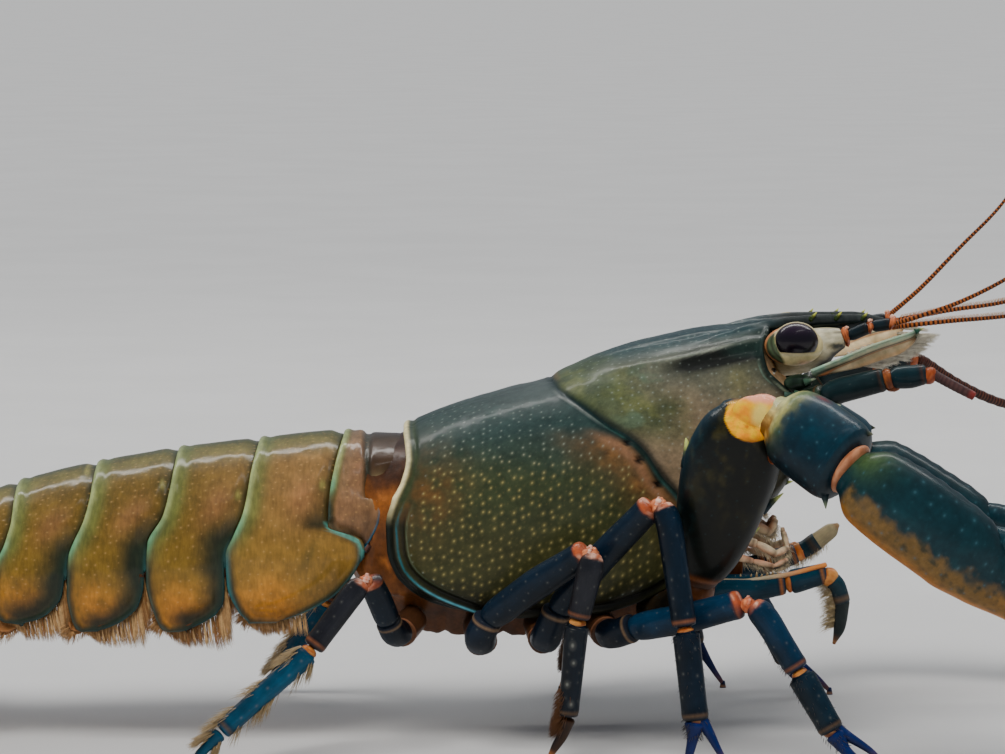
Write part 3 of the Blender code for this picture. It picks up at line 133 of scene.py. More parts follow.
ANTENNULE_PATH = [
    (37.7, -1.7, 37.6), (41.2, -1.9, 38.6), (45.2, -2.4, 40.6), (47.3, -2.8, 41.9), (49.7, -3.2, 42.4)]
RIGHT_OUTER_LASH = [
    (50.3, -3.6, 42.7), (56.1, -4.6, 44.7), (61.7, -5.8, 47.6), (66.5, -7.4, 51.2), (70.3, -9.4, 55.4)]
RIGHT_INNER_LASH = [
    (50.4, -2.6, 42.3), (56.1, -2.5, 42.9), (61.8, -2.6, 43.4), (67.2, -3.0, 44.6), (72.0, -3.6, 46.8)]
LEFT_OUTER_LASH = [
    (50.4, 3.6, 42.9), (53.6, 4.4, 45.6), (58.0, 5.4, 50.0), (62.4, 6.6, 54.4), (66.0, 8.2, 59.6)]
LEFT_INNER_LASH = [
    (50.4, 2.6, 42.4), (56.2, 3.0, 43.5), (62.4, 3.4, 44.4), (67.4, 4.0, 46.4), (71.6, 4.8, 49.6)]

ANTENNA_PATH = [
    (38.2, -4.6, 33.6), (41.6, -6.4, 34.6), (44.2, -8.2, 36.2), (48.7, -9.0, 37.5), (49.4, -9.1, 37.7),
    (53.4, -9.4, 38.1)]
RIGHT_STUMP = [(54.3, -9.4, 37.8), (55.8, -9.5, 37.0), (57.9, -9.6, 35.9)]
LEFT_FLAGELLUM = [
    (54.4, 9.5, 37.8), (58.4, 11.0, 35.2), (63.6, 13.2, 32.8), (70.2, 17.4, 31.2), (75.8, 24.2, 30.8),
    (79.3, 32.8, 31.9), (80.5, 42.0, 34.0), (79.4, 51.0, 36.8), (76.2, 59.2, 40.0)]
SCALE_ROOT = (41.9, -8.3, 37.7)
SCALE_TIP = (52.6, -7.0, 42.3)

# Limbs. Each place is (x, y, z, depth seen from the side, thickness across).
RIGHT_CHELIPED_BASE = [
    (25.9, -7.0, 13.8, 4.6, 4.2), (27.6, -10.2, 13.9, 4.4, 4.2), (29.0, -12.4, 15.3, 4.0, 4.0),
    (29.9, -14.2, 17.6, 3.9, 3.8)]
RIGHT_MERUS = [
    (30.1, -14.8, 18.4, 4.6, 4.0), (30.8, -15.9, 21.0, 6.4, 4.8), (31.8, -17.4, 25.0, 8.1, 5.4),
    (32.9, -18.9, 29.6, 9.1, 5.7), (33.9, -19.9, 33.0, 8.2, 5.5), (34.6, -20.4, 35.2, 6.0, 4.2)]
RIGHT_CARPUS = [
    (37.3, -21.6, 34.9, 5.6, 4.6), (38.7, -22.4, 34.2, 7.9, 6.2), (40.8, -24.2, 32.9, 8.5, 6.8),
    (42.8, -26.0, 31.5, 8.4, 6.5), (43.7, -26.8, 30.9, 7.8, 5.8)]
RIGHT_PALM = [
    (44.5, -27.4, 30.2, 5.8, 4.6), (46.4, -28.0, 28.8, 8.0, 5.8), (50.4, -28.3, 26.0, 8.7, 6.3),
    (54.4, -28.3, 23.0, 8.6, 6.0), (57.2, -28.0, 20.3, 6.6, 4.9), (60.6, -27.3, 17.5, 4.2, 3.9),
    (64.6, -26.3, 14.9, 3.4, 3.1), (68.2, -25.3, 12.9, 2.2, 2.0), (69.9, -24.8, 12.4, 0.8, 0.7)]
RIGHT_DACTYL = [
    (58.0, -27.9, 23.9, 3.2, 3.2), (60.5, -27.4, 22.4, 3.5, 3.5), (64.3, -26.6, 19.7, 3.0, 3.0),
    (67.9, -25.6, 16.9, 2.3, 2.2), (70.2, -24.9, 14.9, 1.3, 1.2), (70.9, -24.7, 14.2, 0.6, 0.6)]
LEFT_CHELIPED_BASE = [
    (25.9, 7.0, 13.8, 4.6, 4.2), (27.7, 10.2, 13.9, 4.4, 4.2), (29.3, 12.6, 15.0, 4.0, 4.0),
    (30.4, 14.6, 16.9, 3.9, 3.8)]
LEFT_MERUS = [
    (30.8, 15.2, 17.6, 4.6, 4.0), (32.2, 16.8, 19.4, 6.4, 4.8), (34.6, 19.5, 22.3, 8.1, 5.4),
    (37.3, 22.4, 25.8, 9.0, 5.7), (39.2, 24.5, 28.2, 8.4, 5.5), (40.5, 25.8, 29.9, 6.0, 4.2)]
LEFT_CARPUS = [
    (42.0, 26.3, 29.6, 5.6, 4.6), (43.4, 26.6, 28.8, 7.9, 6.2), (45.5, 27.1, 27.5, 8.5, 6.8),
    (47.7, 27.6, 26.1, 8.4, 6.5), (48.7, 27.8, 25.5, 7.8, 5.8)]
LEFT_PALM = [
    (49.6, 28.0, 25.0, 5.8, 4.6), (51.7, 28.1, 23.6, 8.0, 5.8), (55.8, 28.0, 20.9, 8.7, 6.3),
    (60.0, 27.6, 18.2, 8.6, 6.0), (63.0, 26.9, 15.7, 6.6, 4.9), (66.6, 25.9, 13.3, 4.2, 3.9),
    (70.8, 24.5, 11.0, 3.4, 3.1), (74.6, 23.1, 9.3, 2.2, 2.0), (76.4, 22.4, 8.8, 0.8, 0.7)]
LEFT_DACTYL = [
    (63.5, 26.9, 19.3, 3.2, 3.2), (66.1, 26.3, 18.1, 3.5, 3.5), (70.1, 25.0, 15.8, 3.0, 3.0),
    (73.9, 23.5, 13.4, 2.3, 2.2), (76.4, 22.4, 11.6, 1.3, 1.2), (77.1, 22.1, 10.9, 0.6, 0.6)]

LEG_UPPER = {
    "leg_2_right": [
        (20.0, -6.4, 12.6, 3.2, 3.2), (20.9, -10.6, 11.9, 3.1, 3.1), (21.7, -12.9, 12.2, 2.9, 2.8),
        (23.4, -14.4, 13.0, 2.9, 2.6), (28.6, -17.2, 14.4, 3.0, 2.6), (34.0, -18.9, 16.1, 2.8, 2.4)],
    "leg_3_right": [
        (14.0, -6.4, 12.4, 3.2, 3.2), (14.6, -10.8, 11.3, 3.2, 3.2), (14.9, -12.9, 12.2, 3.1, 2.9),
        (15.8, -14.0, 14.7, 2.9, 2.6), (20.4, -16.6, 20.6, 3.0, 2.6), (25.1, -19.1, 25.9, 2.7, 2.4)],
    "leg_4_right": [
        (7.9, -6.4, 12.2, 3.2, 3.2), (8.2, -10.8, 11.1, 3.2, 3.2), (8.1, -12.8, 11.9, 3.1, 2.9),
        (8.9, -13.8, 13.8, 3.0, 2.7), (13.7, -16.5, 17.7, 3.2, 2.7), (18.6, -19.4, 21.3, 2.7, 2.4)],
    "leg_5_right": [
        (1.3, -6.2, 12.8, 3.0, 3.0), (0.1, -10.2, 11.8, 2.9, 2.9), (-0.6, -12.4, 12.3, 2.7, 2.6),
        (-1.1, -13.4, 13.5, 2.6, 2.4), (-2.0, -14.9, 16.0, 2.6, 2.3), (-2.8, -16.2, 18.0, 2.4, 2.1)],
    "leg_2_left": [
        (20.0, 6.4, 12.6, 3.2, 3.2), (21.2, 10.6, 11.9, 3.1, 3.1), (22.1, 12.9, 12.1, 2.9, 2.8),
        (23.8, 14.4, 12.7, 2.9, 2.6), (28.9, 17.0, 13.7, 3.0, 2.6), (34.2, 18.9, 15.0, 2.8, 2.4)],
    "leg_3_left": [
        (14.0, 6.4, 12.4, 3.2, 3.2), (14.8, 10.8, 11.3, 3.2, 3.2), (15.4, 12.9, 12.1, 3.1, 2.9),
        (16.5, 14.2, 14.0, 3.0, 2.7), (21.2, 17.6, 18.6, 3.2, 2.7), (26.0, 20.8, 22.9, 2.7, 2.4)],
    "leg_4_left": [
        (7.9, 6.4, 12.2, 3.2, 3.2), (8.4, 10.8, 11.1, 3.2, 3.2), (8.8, 12.9, 11.9, 3.1, 2.9),
        (9.8, 14.0, 13.6, 3.0, 2.7), (14.0, 17.4, 17.4, 3.2, 2.7), (18.2, 20.6, 20.9, 2.7, 2.4)],
    "leg_5_left": [
        (1.3, 6.2, 12.8, 3.0, 3.0), (0.0, 10.2, 11.8, 2.9, 2.9), (-0.9, 12.4, 12.3, 2.7, 2.6),
        (-1.6, 13.4, 13.4, 2.6, 2.4), (-3.0, 15.0, 15.7, 2.6, 2.3), (-4.3, 16.4, 17.6, 2.4, 2.1)],
}
LEG_LOWER = {
    "leg_2_right": [
        (35.3, -19.3, 16.0, 2.4, 2.2), (36.4, -19.6, 14.8, 2.7, 2.4), (39.5, -20.3, 9.9, 2.4, 2.2),
        (40.1, -20.5, 8.8, 2.8, 2.3), (42.9, -21.2, 3.9, 2.5, 2.0), (44.3, -21.8, 1.9, 1.2, 1.0),
        (46.0, -22.5, 0.45, 0.8, 0.8)],
    "leg_3_right": [
        (26.2, -19.7, 26.0, 2.4, 2.2), (26.8, -20.1, 24.2, 2.6, 2.4), (28.3, -21.4, 14.4, 2.4, 2.2),
        (28.5, -21.6, 13.2, 2.7, 2.2), (29.4, -22.5, 5.2, 2.6, 2.0), (29.1, -22.8, 3.2, 1.2, 1.0),
        (28.5, -23.0, 0.45, 0.8, 0.8)],
    "leg_4_right": [
        (19.3, -20.0, 21.1, 2.3, 2.2), (19.0, -20.3, 19.6, 2.6, 2.4), (17.9, -20.0, 15.0, 2.3, 2.1),
        (17.7, -19.9, 13.8, 2.4, 2.1), (16.9, -18.8, 5.0, 2.0, 1.7), (16.4, -18.4, 3.0, 1.2, 1.0),
        (15.0, -17.8, 0.45, 0.8, 0.8)],
    "leg_5_right": [
        (-3.7, -16.8, 17.9, 2.2, 2.0), (-4.7, -17.2, 16.7, 2.4, 2.1), (-8.4, -18.4, 11.8, 2.2, 2.0),
        (-9.3, -18.7, 10.8, 2.3, 2.0), (-17.3, -21.4, 3.9, 1.9, 1.6), (-18.8, -21.9, 2.4, 1.2, 1.0),
        (-20.6, -22.5, 0.45, 0.8, 0.8)],
    "leg_2_left": [
        (35.4, 19.3, 14.8, 2.4, 2.2), (36.3, 19.8, 13.6, 2.7, 2.4), (38.9, 21.2, 9.0, 2.4, 2.2),
        (39.4, 21.5, 7.9, 2.8, 2.3), (41.3, 22.6, 3.9, 2.5, 2.0), (42.4, 23.4, 1.9, 1.2, 1.0),
        (43.6, 24.3, 0.45, 0.8, 0.8)],
    "leg_3_left": [
        (27.1, 21.5, 22.8, 2.4, 2.2), (27.8, 22.0, 21.2, 2.6, 2.4), (29.8, 24.2, 13.8, 2.4, 2.2),
        (30.1, 24.5, 12.4, 2.7, 2.2), (31.2, 26.2, 5.2, 2.6, 2.0), (31.0, 26.7, 3.2, 1.2, 1.0),
        (30.6, 27.2, 0.45, 0.8, 0.8)],
    "leg_4_left": [
        (18.9, 21.2, 20.6, 2.3, 2.2), (18.9, 21.6, 19.0, 2.6, 2.4), (18.7, 22.4, 14.4, 2.3, 2.1),
        (18.6, 22.5, 13.2, 2.4, 2.1), (18.1, 23.2, 4.8, 2.0, 1.7), (17.8, 23.4, 2.9, 1.2, 1.0),
        (16.7, 23.7, 0.45, 0.8, 0.8)],
    "leg_5_left": [
        (-5.1, 17.0, 17.2, 2.2, 2.0), (-5.9, 17.5, 15.9, 2.4, 2.1), (-8.4, 19.1, 11.2, 2.2, 2.0),
        (-9.0, 19.5, 10.1, 2.3, 2.0), (-13.2, 22.4, 4.0, 1.9, 1.6), (-14.2, 22.9, 2.5, 1.2, 1.0),
        (-15.6, 23.6, 0.45, 0.8, 0.8)],
}
# The second finger of the small pincers on the second and third legs.
LEG_FINGER = {
    "leg_2_right": [
        (42.5, -21.1, 4.6, 1.7, 1.4), (44.3, -21.3, 3.4, 1.2, 1.0), (46.7, -21.1, 1.8, 0.9, 0.8),
        (48.2, -20.9, 0.45, 0.8, 0.8)],
    "leg_3_right": [
        (29.5, -22.4, 5.9, 1.7, 1.4), (30.6, -22.8, 4.1, 1.2, 1.0), (31.7, -23.3, 2.1, 0.9, 0.8),
        (32.7, -23.7, 0.45, 0.8, 0.8)],
    "leg_2_left": [
        (41.0, 22.4, 4.6, 1.7, 1.4), (42.6, 22.8, 3.4, 1.2, 1.0), (44.6, 22.6, 1.8, 0.9, 0.8),
        (46.0, 22.5, 0.45, 0.8, 0.8)],
    "leg_3_left": [
        (31.3, 26.1, 5.9, 1.7, 1.4), (32.3, 26.4, 4.1, 1.2, 1.0), (33.5, 26.7, 2.1, 0.9, 0.8),
        (34.6, 27.0, 0.45, 0.8, 0.8)],
}

RIGHT_MAXILLIPED = [
    (31.6, -4.4, 15.6, 2.8, 2.4), (35.0, -4.6, 15.6, 2.9, 2.4), (39.2, -4.8, 16.1, 2.2, 2.0),
    (40.4, -4.8, 16.4, 2.5, 2.1), (43.4, -4.9, 17.2, 2.1, 1.9), (44.6, -4.8, 16.0, 1.7, 1.6),
    (45.2, -4.6, 14.2, 1.7, 1.5), (45.0, -4.3, 11.8, 1.4, 1.2), (44.4, -4.1, 9.8, 0.7, 0.7)]
LEFT_MAXILLIPED = [
    (31.6, 4.4, 15.6, 2.8, 2.4), (34.6, 4.6, 15.9, 2.9, 2.4), (37.9, 4.8, 16.9, 2.2, 2.0),
    (38.9, 4.8, 17.2, 2.5, 2.1), (41.0, 4.9, 17.9, 2.1, 1.9), (42.0, 4.9, 18.4, 1.8, 1.6),
    (43.2, 4.8, 19.2, 2.0, 1.6), (44.6, 4.6, 20.3, 1.8, 1.3), (45.4, 4.5, 21.0, 0.9, 0.8)]


def smooth(stations, at):
    """Values on the curve through (place, value) stations, with no overshoot."""
    places = np.array([s[0] for s in stations], float)
    values = np.array([s[1] for s in stations], float)
    slopes = np.diff(values) / np.diff(places)
    tangent = np.concatenate([slopes[:1], np.zeros(len(places) - 2), slopes[-1:]])
    before, after = slopes[:-1], slopes[1:]
    turns = before * after > 0
    tangent[1:-1][turns] = (2 * before * after)[turns] / (before + after)[turns]
    at = np.clip(np.asarray(at, float), places[0], places[-1])
    i = np.clip(np.searchsorted(places, at, side="right") - 1, 0, len(places) - 2)
    width = places[i + 1] - places[i]
    t = (at - places[i]) / width
    return ((2 * t**3 - 3 * t**2 + 1) * values[i] + (t**3 - 2 * t**2 + t) * width * tangent[i]
            + (3 * t**2 - 2 * t**3) * values[i + 1] + (t**3 - t**2) * width * tangent[i + 1])


def rgb(red, green, blue):
    """A colour given in screen values from 0 to 255, as linear light."""
    c = np.array([red, green, blue]) / 255
    return np.where(c <= 0.04045, c / 12.92, ((c + 0.055) / 1.055) ** 2.4)


def ramp(low, high, x):
    """A smooth step from 0 at low to 1 at high."""
    t = np.clip((np.asarray(x, float) - low) / (high - low), 0, 1)
    return t * t * (3 - 2 * t)


def near(x, centre, width):
    """1 at the centre, falling off to both sides over this width."""
    return np.exp(-((np.asarray(x, float) - centre) / width) ** 2)


def mottled(dark, light, low, high, values):
    """A ground of two screen colours that changes over where values run from low to high."""
    return mix(rgb(*dark), rgb(*light), ramp(low, high, values))


def mix(a, b, share):
    """The colour or value between a and b, with a share for each point."""
    return a + (b - a) * np.asarray(share)[..., None]


def layered(tone, paints):
    """The tone under paints, each a screen colour and its share at each point."""
    for colour, share in paints:
        tone = mix(tone, rgb(*colour), share)
    return tone


def grain(points, size, seed):
    """Smooth random values from -1 to 1 on a lattice of this size."""
    place = np.asarray(points, float) / size + seed * 17.31
    base = np.floor(place).astype(np.int64)
    f = place - base
    f = f * f * (3 - 2 * f)
    total = 0.0
    for corner in range(8):
        step = np.array([corner & 1, corner >> 1 & 1, corner >> 2])
        spot = (base + step) % 4096
        mixed = (spot[..., 0] * 73856093 ^ spot[..., 1] * 19349663 ^ spot[..., 2] * 83492791) & 2147483647
        mixed = (mixed ^ (mixed >> 13)) * 1274126177 & 2147483647
        mixed = (mixed ^ (mixed >> 16)) * 1103515245 & 2147483647
        mixed = mixed ^ (mixed >> 15)
        total = total + (mixed / 1073741823.5 - 1) * np.prod(np.where(step, f, 1 - f), axis=-1)
    return total


def rough_grain(points, size, seed):
    """Random values of three sizes, the finer ones weaker."""
    return (grain(points, size, seed) + 0.5 * grain(points, size / 2, seed + 1)
            + 0.25 * grain(points, size / 4, seed + 2)) / 1.4


def line_distance(points, line):
    """How far each point lies from a line of straight stretches, in as many axes as given."""
    line = np.asarray(line, float)
    best = np.full(points.shape[:-1], np.inf)
    for a, b in zip(line[:-1], line[1:]):
        way = b - a
        share = np.clip(((points - a) @ way) / (way @ way), 0, 1)
        best = np.minimum(best, np.linalg.norm(points - (a + share[..., None] * way), axis=-1))
    return best


def grid_quads(rows, columns, closed=False):
    """The faces of a grid of points, joined around where it is closed."""
    i, j = np.meshgrid(np.arange(rows - 1), np.arange(columns if closed else columns - 1), indexing="ij")
    k = (j + 1) % columns
    a, b = i * columns + j, i * columns + k
    return np.stack([a, b, b + columns, a + columns], -1).reshape(-1, 4)


def circle(count):
    """The angles of points spread evenly around a ring."""
    return np.radians(360) * np.arange(count) / count


def pole_fans(sides, first, last):
    """Triangles from the poles first and last, which follow the rings' points, to the end rings."""
    k = np.arange(sides)
    end = min(first, last) - sides
    return np.concatenate([np.stack([np.full(sides, first), (k + 1) % sides, k], -1),
                           np.stack([np.full(sides, last), end + k, end + (k + 1) % sides], -1)])


def corner_normals(points, quads):
    """The direction across the mesh at each point, of length 1."""
    across = np.cross(points[quads[:, 2]] - points[quads[:, 0]], points[quads[:, 3]] - points[quads[:, 1]])
    out = np.zeros_like(points)
    for k in range(4):
        np.add.at(out, quads[:, k], across)
    return out / np.maximum(np.linalg.norm(out, axis=1, keepdims=True), 1e-12)


def thicken(points, quads, thick, centre, rim=4):
    """A closed plate from a sheet. Gives the points, the faces, the sheet point that each point
    comes from, and how deep it lies: 0 on the outer face, 1 on the inner one."""
    normal = corner_normals(points, quads)
    if ((points - centre) * normal).sum() < 0:
        quads, normal = quads[:, ::-1], -normal
    thick = np.broadcast_to(np.asarray(thick, float), len(points))[:, None]
    count = len(points)
    edges = np.concatenate([quads[:, [k, (k + 1) % 4]] for k in range(4)])
    edges = edges[edges[:, 0] != edges[:, 1]]
    lone = ~np.isin(edges[:, 0] * count + edges[:, 1], edges[:, 1] * count + edges[:, 0])
    border = edges[lone]
    out = np.zeros_like(points)
    sideways = np.cross(points[border[:, 1]] - points[border[:, 0]], normal[border[:, 0]])
    np.add.at(out, border[:, 0], sideways)
    np.add.at(out, border[:, 1], sideways)
    loop = np.unique(border)
    out = out[loop] / np.maximum(np.linalg.norm(out[loop], axis=1, keepdims=True), 1e-12)
    place = np.zeros(count, int)
    place[loop] = np.arange(len(loop))
    sets, source, depth = [points], [np.arange(count)], [np.zeros(count)]
    for k in range(1, rim):
        turn = math.pi * k / rim
        sets.append(points[loop] - normal[loop] * thick[loop] * (0.5 - 0.5 * math.cos(turn))
                    + out * thick[loop] * 0.5 * math.sin(turn))
        source.append(loop)
        depth.append(np.full(len(loop), k / rim))
    sets.append(points - normal * thick)
    source.append(np.arange(count))
    depth.append(np.ones(count))
    inner = count + (rim - 1) * len(loop)
    faces = [quads, quads[:, ::-1] + inner]

    def at(level, which):
        if level == 0:
            return which
        return which + inner if level == rim else count + (level - 1) * len(loop) + place[which]

    for k in range(rim):
        a, b = border[:, 0], border[:, 1]
        faces.append(np.stack([at(k, b), at(k, a), at(k + 1, a), at(k + 1, b)], -1))
    return np.concatenate(sets), np.concatenate(faces), np.concatenate(source), np.concatenate(depth)


def in_scene(name, data):
    """A new object of the scene."""
    made = bpy.data.objects.new(name, data)
    bpy.context.scene.collection.objects.link(made)
    return made


class Piece:
    """The meshes that make one named piece."""

    def __init__(self):
        self.points, self.faces, self.tints, self.marks, self.flats, self.count = [], [], [], [], [], 0

    def add(self, points, faces, tint, marks=(0, 0, 0), flat=None):
        points = np.asarray(points, float)
        groups = [np.asarray(f, int) for f in (faces if isinstance(faces, list) else [faces])]
        volume = 0.0
        for group in groups:
            for k in range(1, group.shape[1] - 1):
                a, b, c = points[group[:, 0]], points[group[:, k]], points[group[:, k + 1]]
                volume += np.einsum("ij,ij->i", a, np.cross(b, c)).sum()
        for group in groups:
            self.faces.append((group[:, ::-1] if volume < 0 else group) + self.count)
        self.points.append(points)
        self.tints.append(np.broadcast_to(tint, (len(points), 3)))
        self.marks.append(np.broadcast_to(marks, (len(points), 3)))
        self.flats.append(points if flat is None else flat)
        self.count += len(points)
        return self

    def make(self, name, look, slot, *nodes):
        points = np.concatenate(self.points)
        placed = (points - (MIDDLE_X, MIDDLE_Y, 0)) * MM
        mesh = bpy.data.meshes.new(name)
        faces = [f for group in self.faces for f in group.tolist()]
        mesh.from_pydata(placed.tolist(), [], faces)
        for label, values in (("tint", self.tints), ("marks", self.marks)):
            colours = np.ones((len(points), 4))
            colours[:, :3] = np.clip(np.concatenate(values), 0, 1)
            mesh.attributes.new(label, "FLOAT_COLOR", "POINT").data.foreach_set("color", colours.ravel())
        flat = np.concatenate(self.flats).astype(float)
        mesh.attributes.new("flat", "FLOAT_VECTOR", "POINT").data.foreach_set("vector", flat.ravel())
        mesh.materials.append(look)
        mesh.shade_smooth()
        made = in_scene(name, mesh)
        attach(made, "root")
        if nodes:
            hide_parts(*nodes)
        return made


def route_frames(spots):
    """Forward, upward and sideways directions along a route of places."""
    steps = np.diff(spots, axis=0)
    steps /= np.maximum(np.linalg.norm(steps, axis=1, keepdims=True), 1e-9)
    along = np.concatenate([steps[:1], steps[:-1] + steps[1:], steps[-1:]])
    along /= np.linalg.norm(along, axis=1, keepdims=True)
    across = np.zeros_like(along)
    last = np.array([0.0, 1.0, 0.0])
    for i in reversed(range(len(spots))):
        last = last - (last @ along[i]) * along[i]
        last /= np.linalg.norm(last)
        across[i] = last
    return along, np.cross(along, across), across


def routed(stations, count):
    """Places and sizes on the smooth curve through stations, taken evenly by index."""
    stations = np.asarray(stations, float)
    at = np.linspace(0, len(stations) - 1, count)
    return np.stack([smooth(list(enumerate(stations[:, k])), at) for k in range(stations.shape[1])], -1)


def limb(piece, stations, colour, sides=24, step=0.35, profile=None, shape=None, marks=(0.3, 0.5, 0.5),
         caps=(1.0, 1.0)):
    """A closed limb through (x, y, z, depth, thickness) stations. profile gives how full it is
    from root (0) to tip (1), shape(t, turn) how far its section swells, and colour(t, turn,
    points) its tint. A turn of 0 is on its upper side and of 90 degrees on its left side."""
    stations = np.asarray(stations, float)
    length = np.linalg.norm(np.diff(stations[:, :3], axis=0), axis=1).sum()
    count = max(6, int(length / step))
    rows = routed(stations, count)
    along, up, across = route_frames(rows[:, :3])
    t = np.linspace(0, 1, count)
    full = smooth(profile, t) if profile else np.ones(count)
    middles, reach = [], []
    for k in range(4, 0, -1):
        turn = math.radians(90) * k / 4.3
        middles.append(rows[0, :3] - along[0] * math.sin(turn) * rows[0, 3] * 0.3 * caps[0])
        reach.append((0, full[0] * math.cos(turn)))
    for i in range(count):
        middles.append(rows[i, :3])
        reach.append((i, full[i]))
    for k in range(1, 5):
        turn = math.radians(90) * k / 4.3
        middles.append(rows[-1, :3] + along[-1] * math.sin(turn) * rows[-1, 3] * 0.3 * caps[1])
        reach.append((count - 1, full[-1] * math.cos(turn)))
    total = len(middles)
    turn = circle(sides)
    at = np.array([r[0] for r in reach])
    size = np.array([r[1] for r in reach])[:, None]
    tt = np.repeat(t[at][:, None], sides, 1)
    aa = np.repeat(turn[None], total, 0)
    swell = shape(tt, aa) if shape else 1.0
    deep = rows[at, 3][:, None] / 2 * size * np.cos(turn) * swell
    wide = rows[at, 4][:, None] / 2 * size * np.sin(turn) * swell
    points = (np.array(middles)[:, None] + up[at][:, None] * deep[..., None]
              + across[at][:, None] * wide[..., None]).reshape(-1, 3)
    quads = grid_quads(total, sides, closed=True)
    poles = np.array([middles[0], middles[-1]])
    points = np.concatenate([points, poles])
    fans = pole_fans(sides, total * sides, total * sides + 1)
    tt = np.concatenate([tt.ravel(), [0, 1]])
    aa = np.concatenate([aa.ravel(), [0, 0]])
    marks = np.array(marks) * np.stack([ramp(0, 0.04, tt) * ramp(0.98, 0.93, tt), 1 + 0 * tt, 1 + 0 * tt], -1)
    flat = np.stack([tt * length, aa / (2 * math.pi) * math.pi * rows[:, 3:].mean(), np.zeros(len(tt))], -1)
    piece.add(points, [quads, fans], colour(tt, aa, points), marks, flat)
    return rows, (along, up, across)


def spine(piece, root, way, length, radius, tint, tip_tint, bend=(0, 0, 0), sides=8):
    """A spine with a broad root that bends a little towards its tip."""
    way, bend = np.array(way, float), np.array(bend, float)
    way /= np.linalg.norm(way)
    side = np.cross(way, (0.3, 0.2, 0.9))
    side /= np.linalg.norm(side)
    other = np.cross(way, side)
    rows = [(-0.25, 1.25), (0.0, 1.05), (0.2, 0.8), (0.45, 0.56), (0.7, 0.34), (0.9, 0.17), (1.0, 0.05)]
    turn = circle(sides)
    ring = np.cos(turn)[:, None] * side + np.sin(turn)[:, None] * other
    points = np.concatenate([root + way * length * t + bend * t * t + ring * radius * r for t, r in rows])
    caps = pole_fans(sides, len(points), len(points) + 1)
    share = np.concatenate([np.repeat([r[0] for r in rows], sides), [-0.25, 1.0]])
    points = np.concatenate([points, [root - way * length * 0.25, root + way * length + bend]])
    piece.add(points, [grid_quads(len(rows), sides, True), caps],
              mix(tint, tip_tint, ramp(0.35, 0.85, share)), (0, 0.2, 0.5))


def joined(hairs):
    """One array for each kind of value from several sets of hairs."""
    return [np.concatenate(kind) for kind in zip(*hairs)]


def bristles(name, look, slot, roots, ways, lengths, radius, tint, spots, bend):
    """Fine tapered hairs, each a patch at its root's place on the unrolled skin."""
    roots, ways, bend = (np.asarray(v, float) for v in (roots, ways, bend))
    count = len(roots)
    lengths = np.broadcast_to(lengths, count)[:, None]
    ways = ways / np.linalg.norm(ways, axis=1, keepdims=True)
    side = np.cross(ways, (0.31, 0.52, 0.79))
    side /= np.linalg.norm(side, axis=1, keepdims=True)
    other = np.cross(ways, side)
    rings = [(0.0, 1.0), (0.35, 0.85), (0.7, 0.55), (1.0, 0.12)]
    points = np.zeros((count, len(rings) * 3, 3))
    patch = np.zeros((len(rings) * 3, 2))
    for i, (t, thin) in enumerate(rings):
        for k in range(3):
            turn = math.radians(120) * k
            points[:, i * 3 + k] = (roots + ways * lengths * t + bend * lengths * t * t
                                    + (side * math.cos(turn) + other * math.sin(turn)) * radius * thin)
            patch[i * 3 + k] = (0.0012 * k, 0.0009 * i)
    faces = [[i * 3 + k, i * 3 + (k + 1) % 3, i * 3 + 3 + (k + 1) % 3, i * 3 + 3 + k]
             for i in range(len(rings) - 1) for k in range(3)]
    step = np.arange(count)[:, None, None] * len(rings) * 3
    quads = (np.array(faces)[None] + step).reshape(-1, 4)
    ends = (np.array([[2, 1, 0], [9, 10, 11]])[None] + step).reshape(-1, 3)
    tint = np.repeat(np.broadcast_to(tint, (count, 3)), len(rings) * 3, 0)
    made = Piece().add(points.reshape(-1, 3), [quads, ends], tint, (0, 0.3, 0)).make(name, look, slot)
    where = (np.asarray(spots, float)[:, None] * 0.99 + patch[None]).reshape(-1, 2)
    layer = made.data.uv_layers.new(name="OFBake")
    corners = np.zeros(len(made.data.loops), int)
    made.data.loops.foreach_get("vertex_index", corners)
    layer.data.foreach_set("uv", where[corners].ravel())
    return made


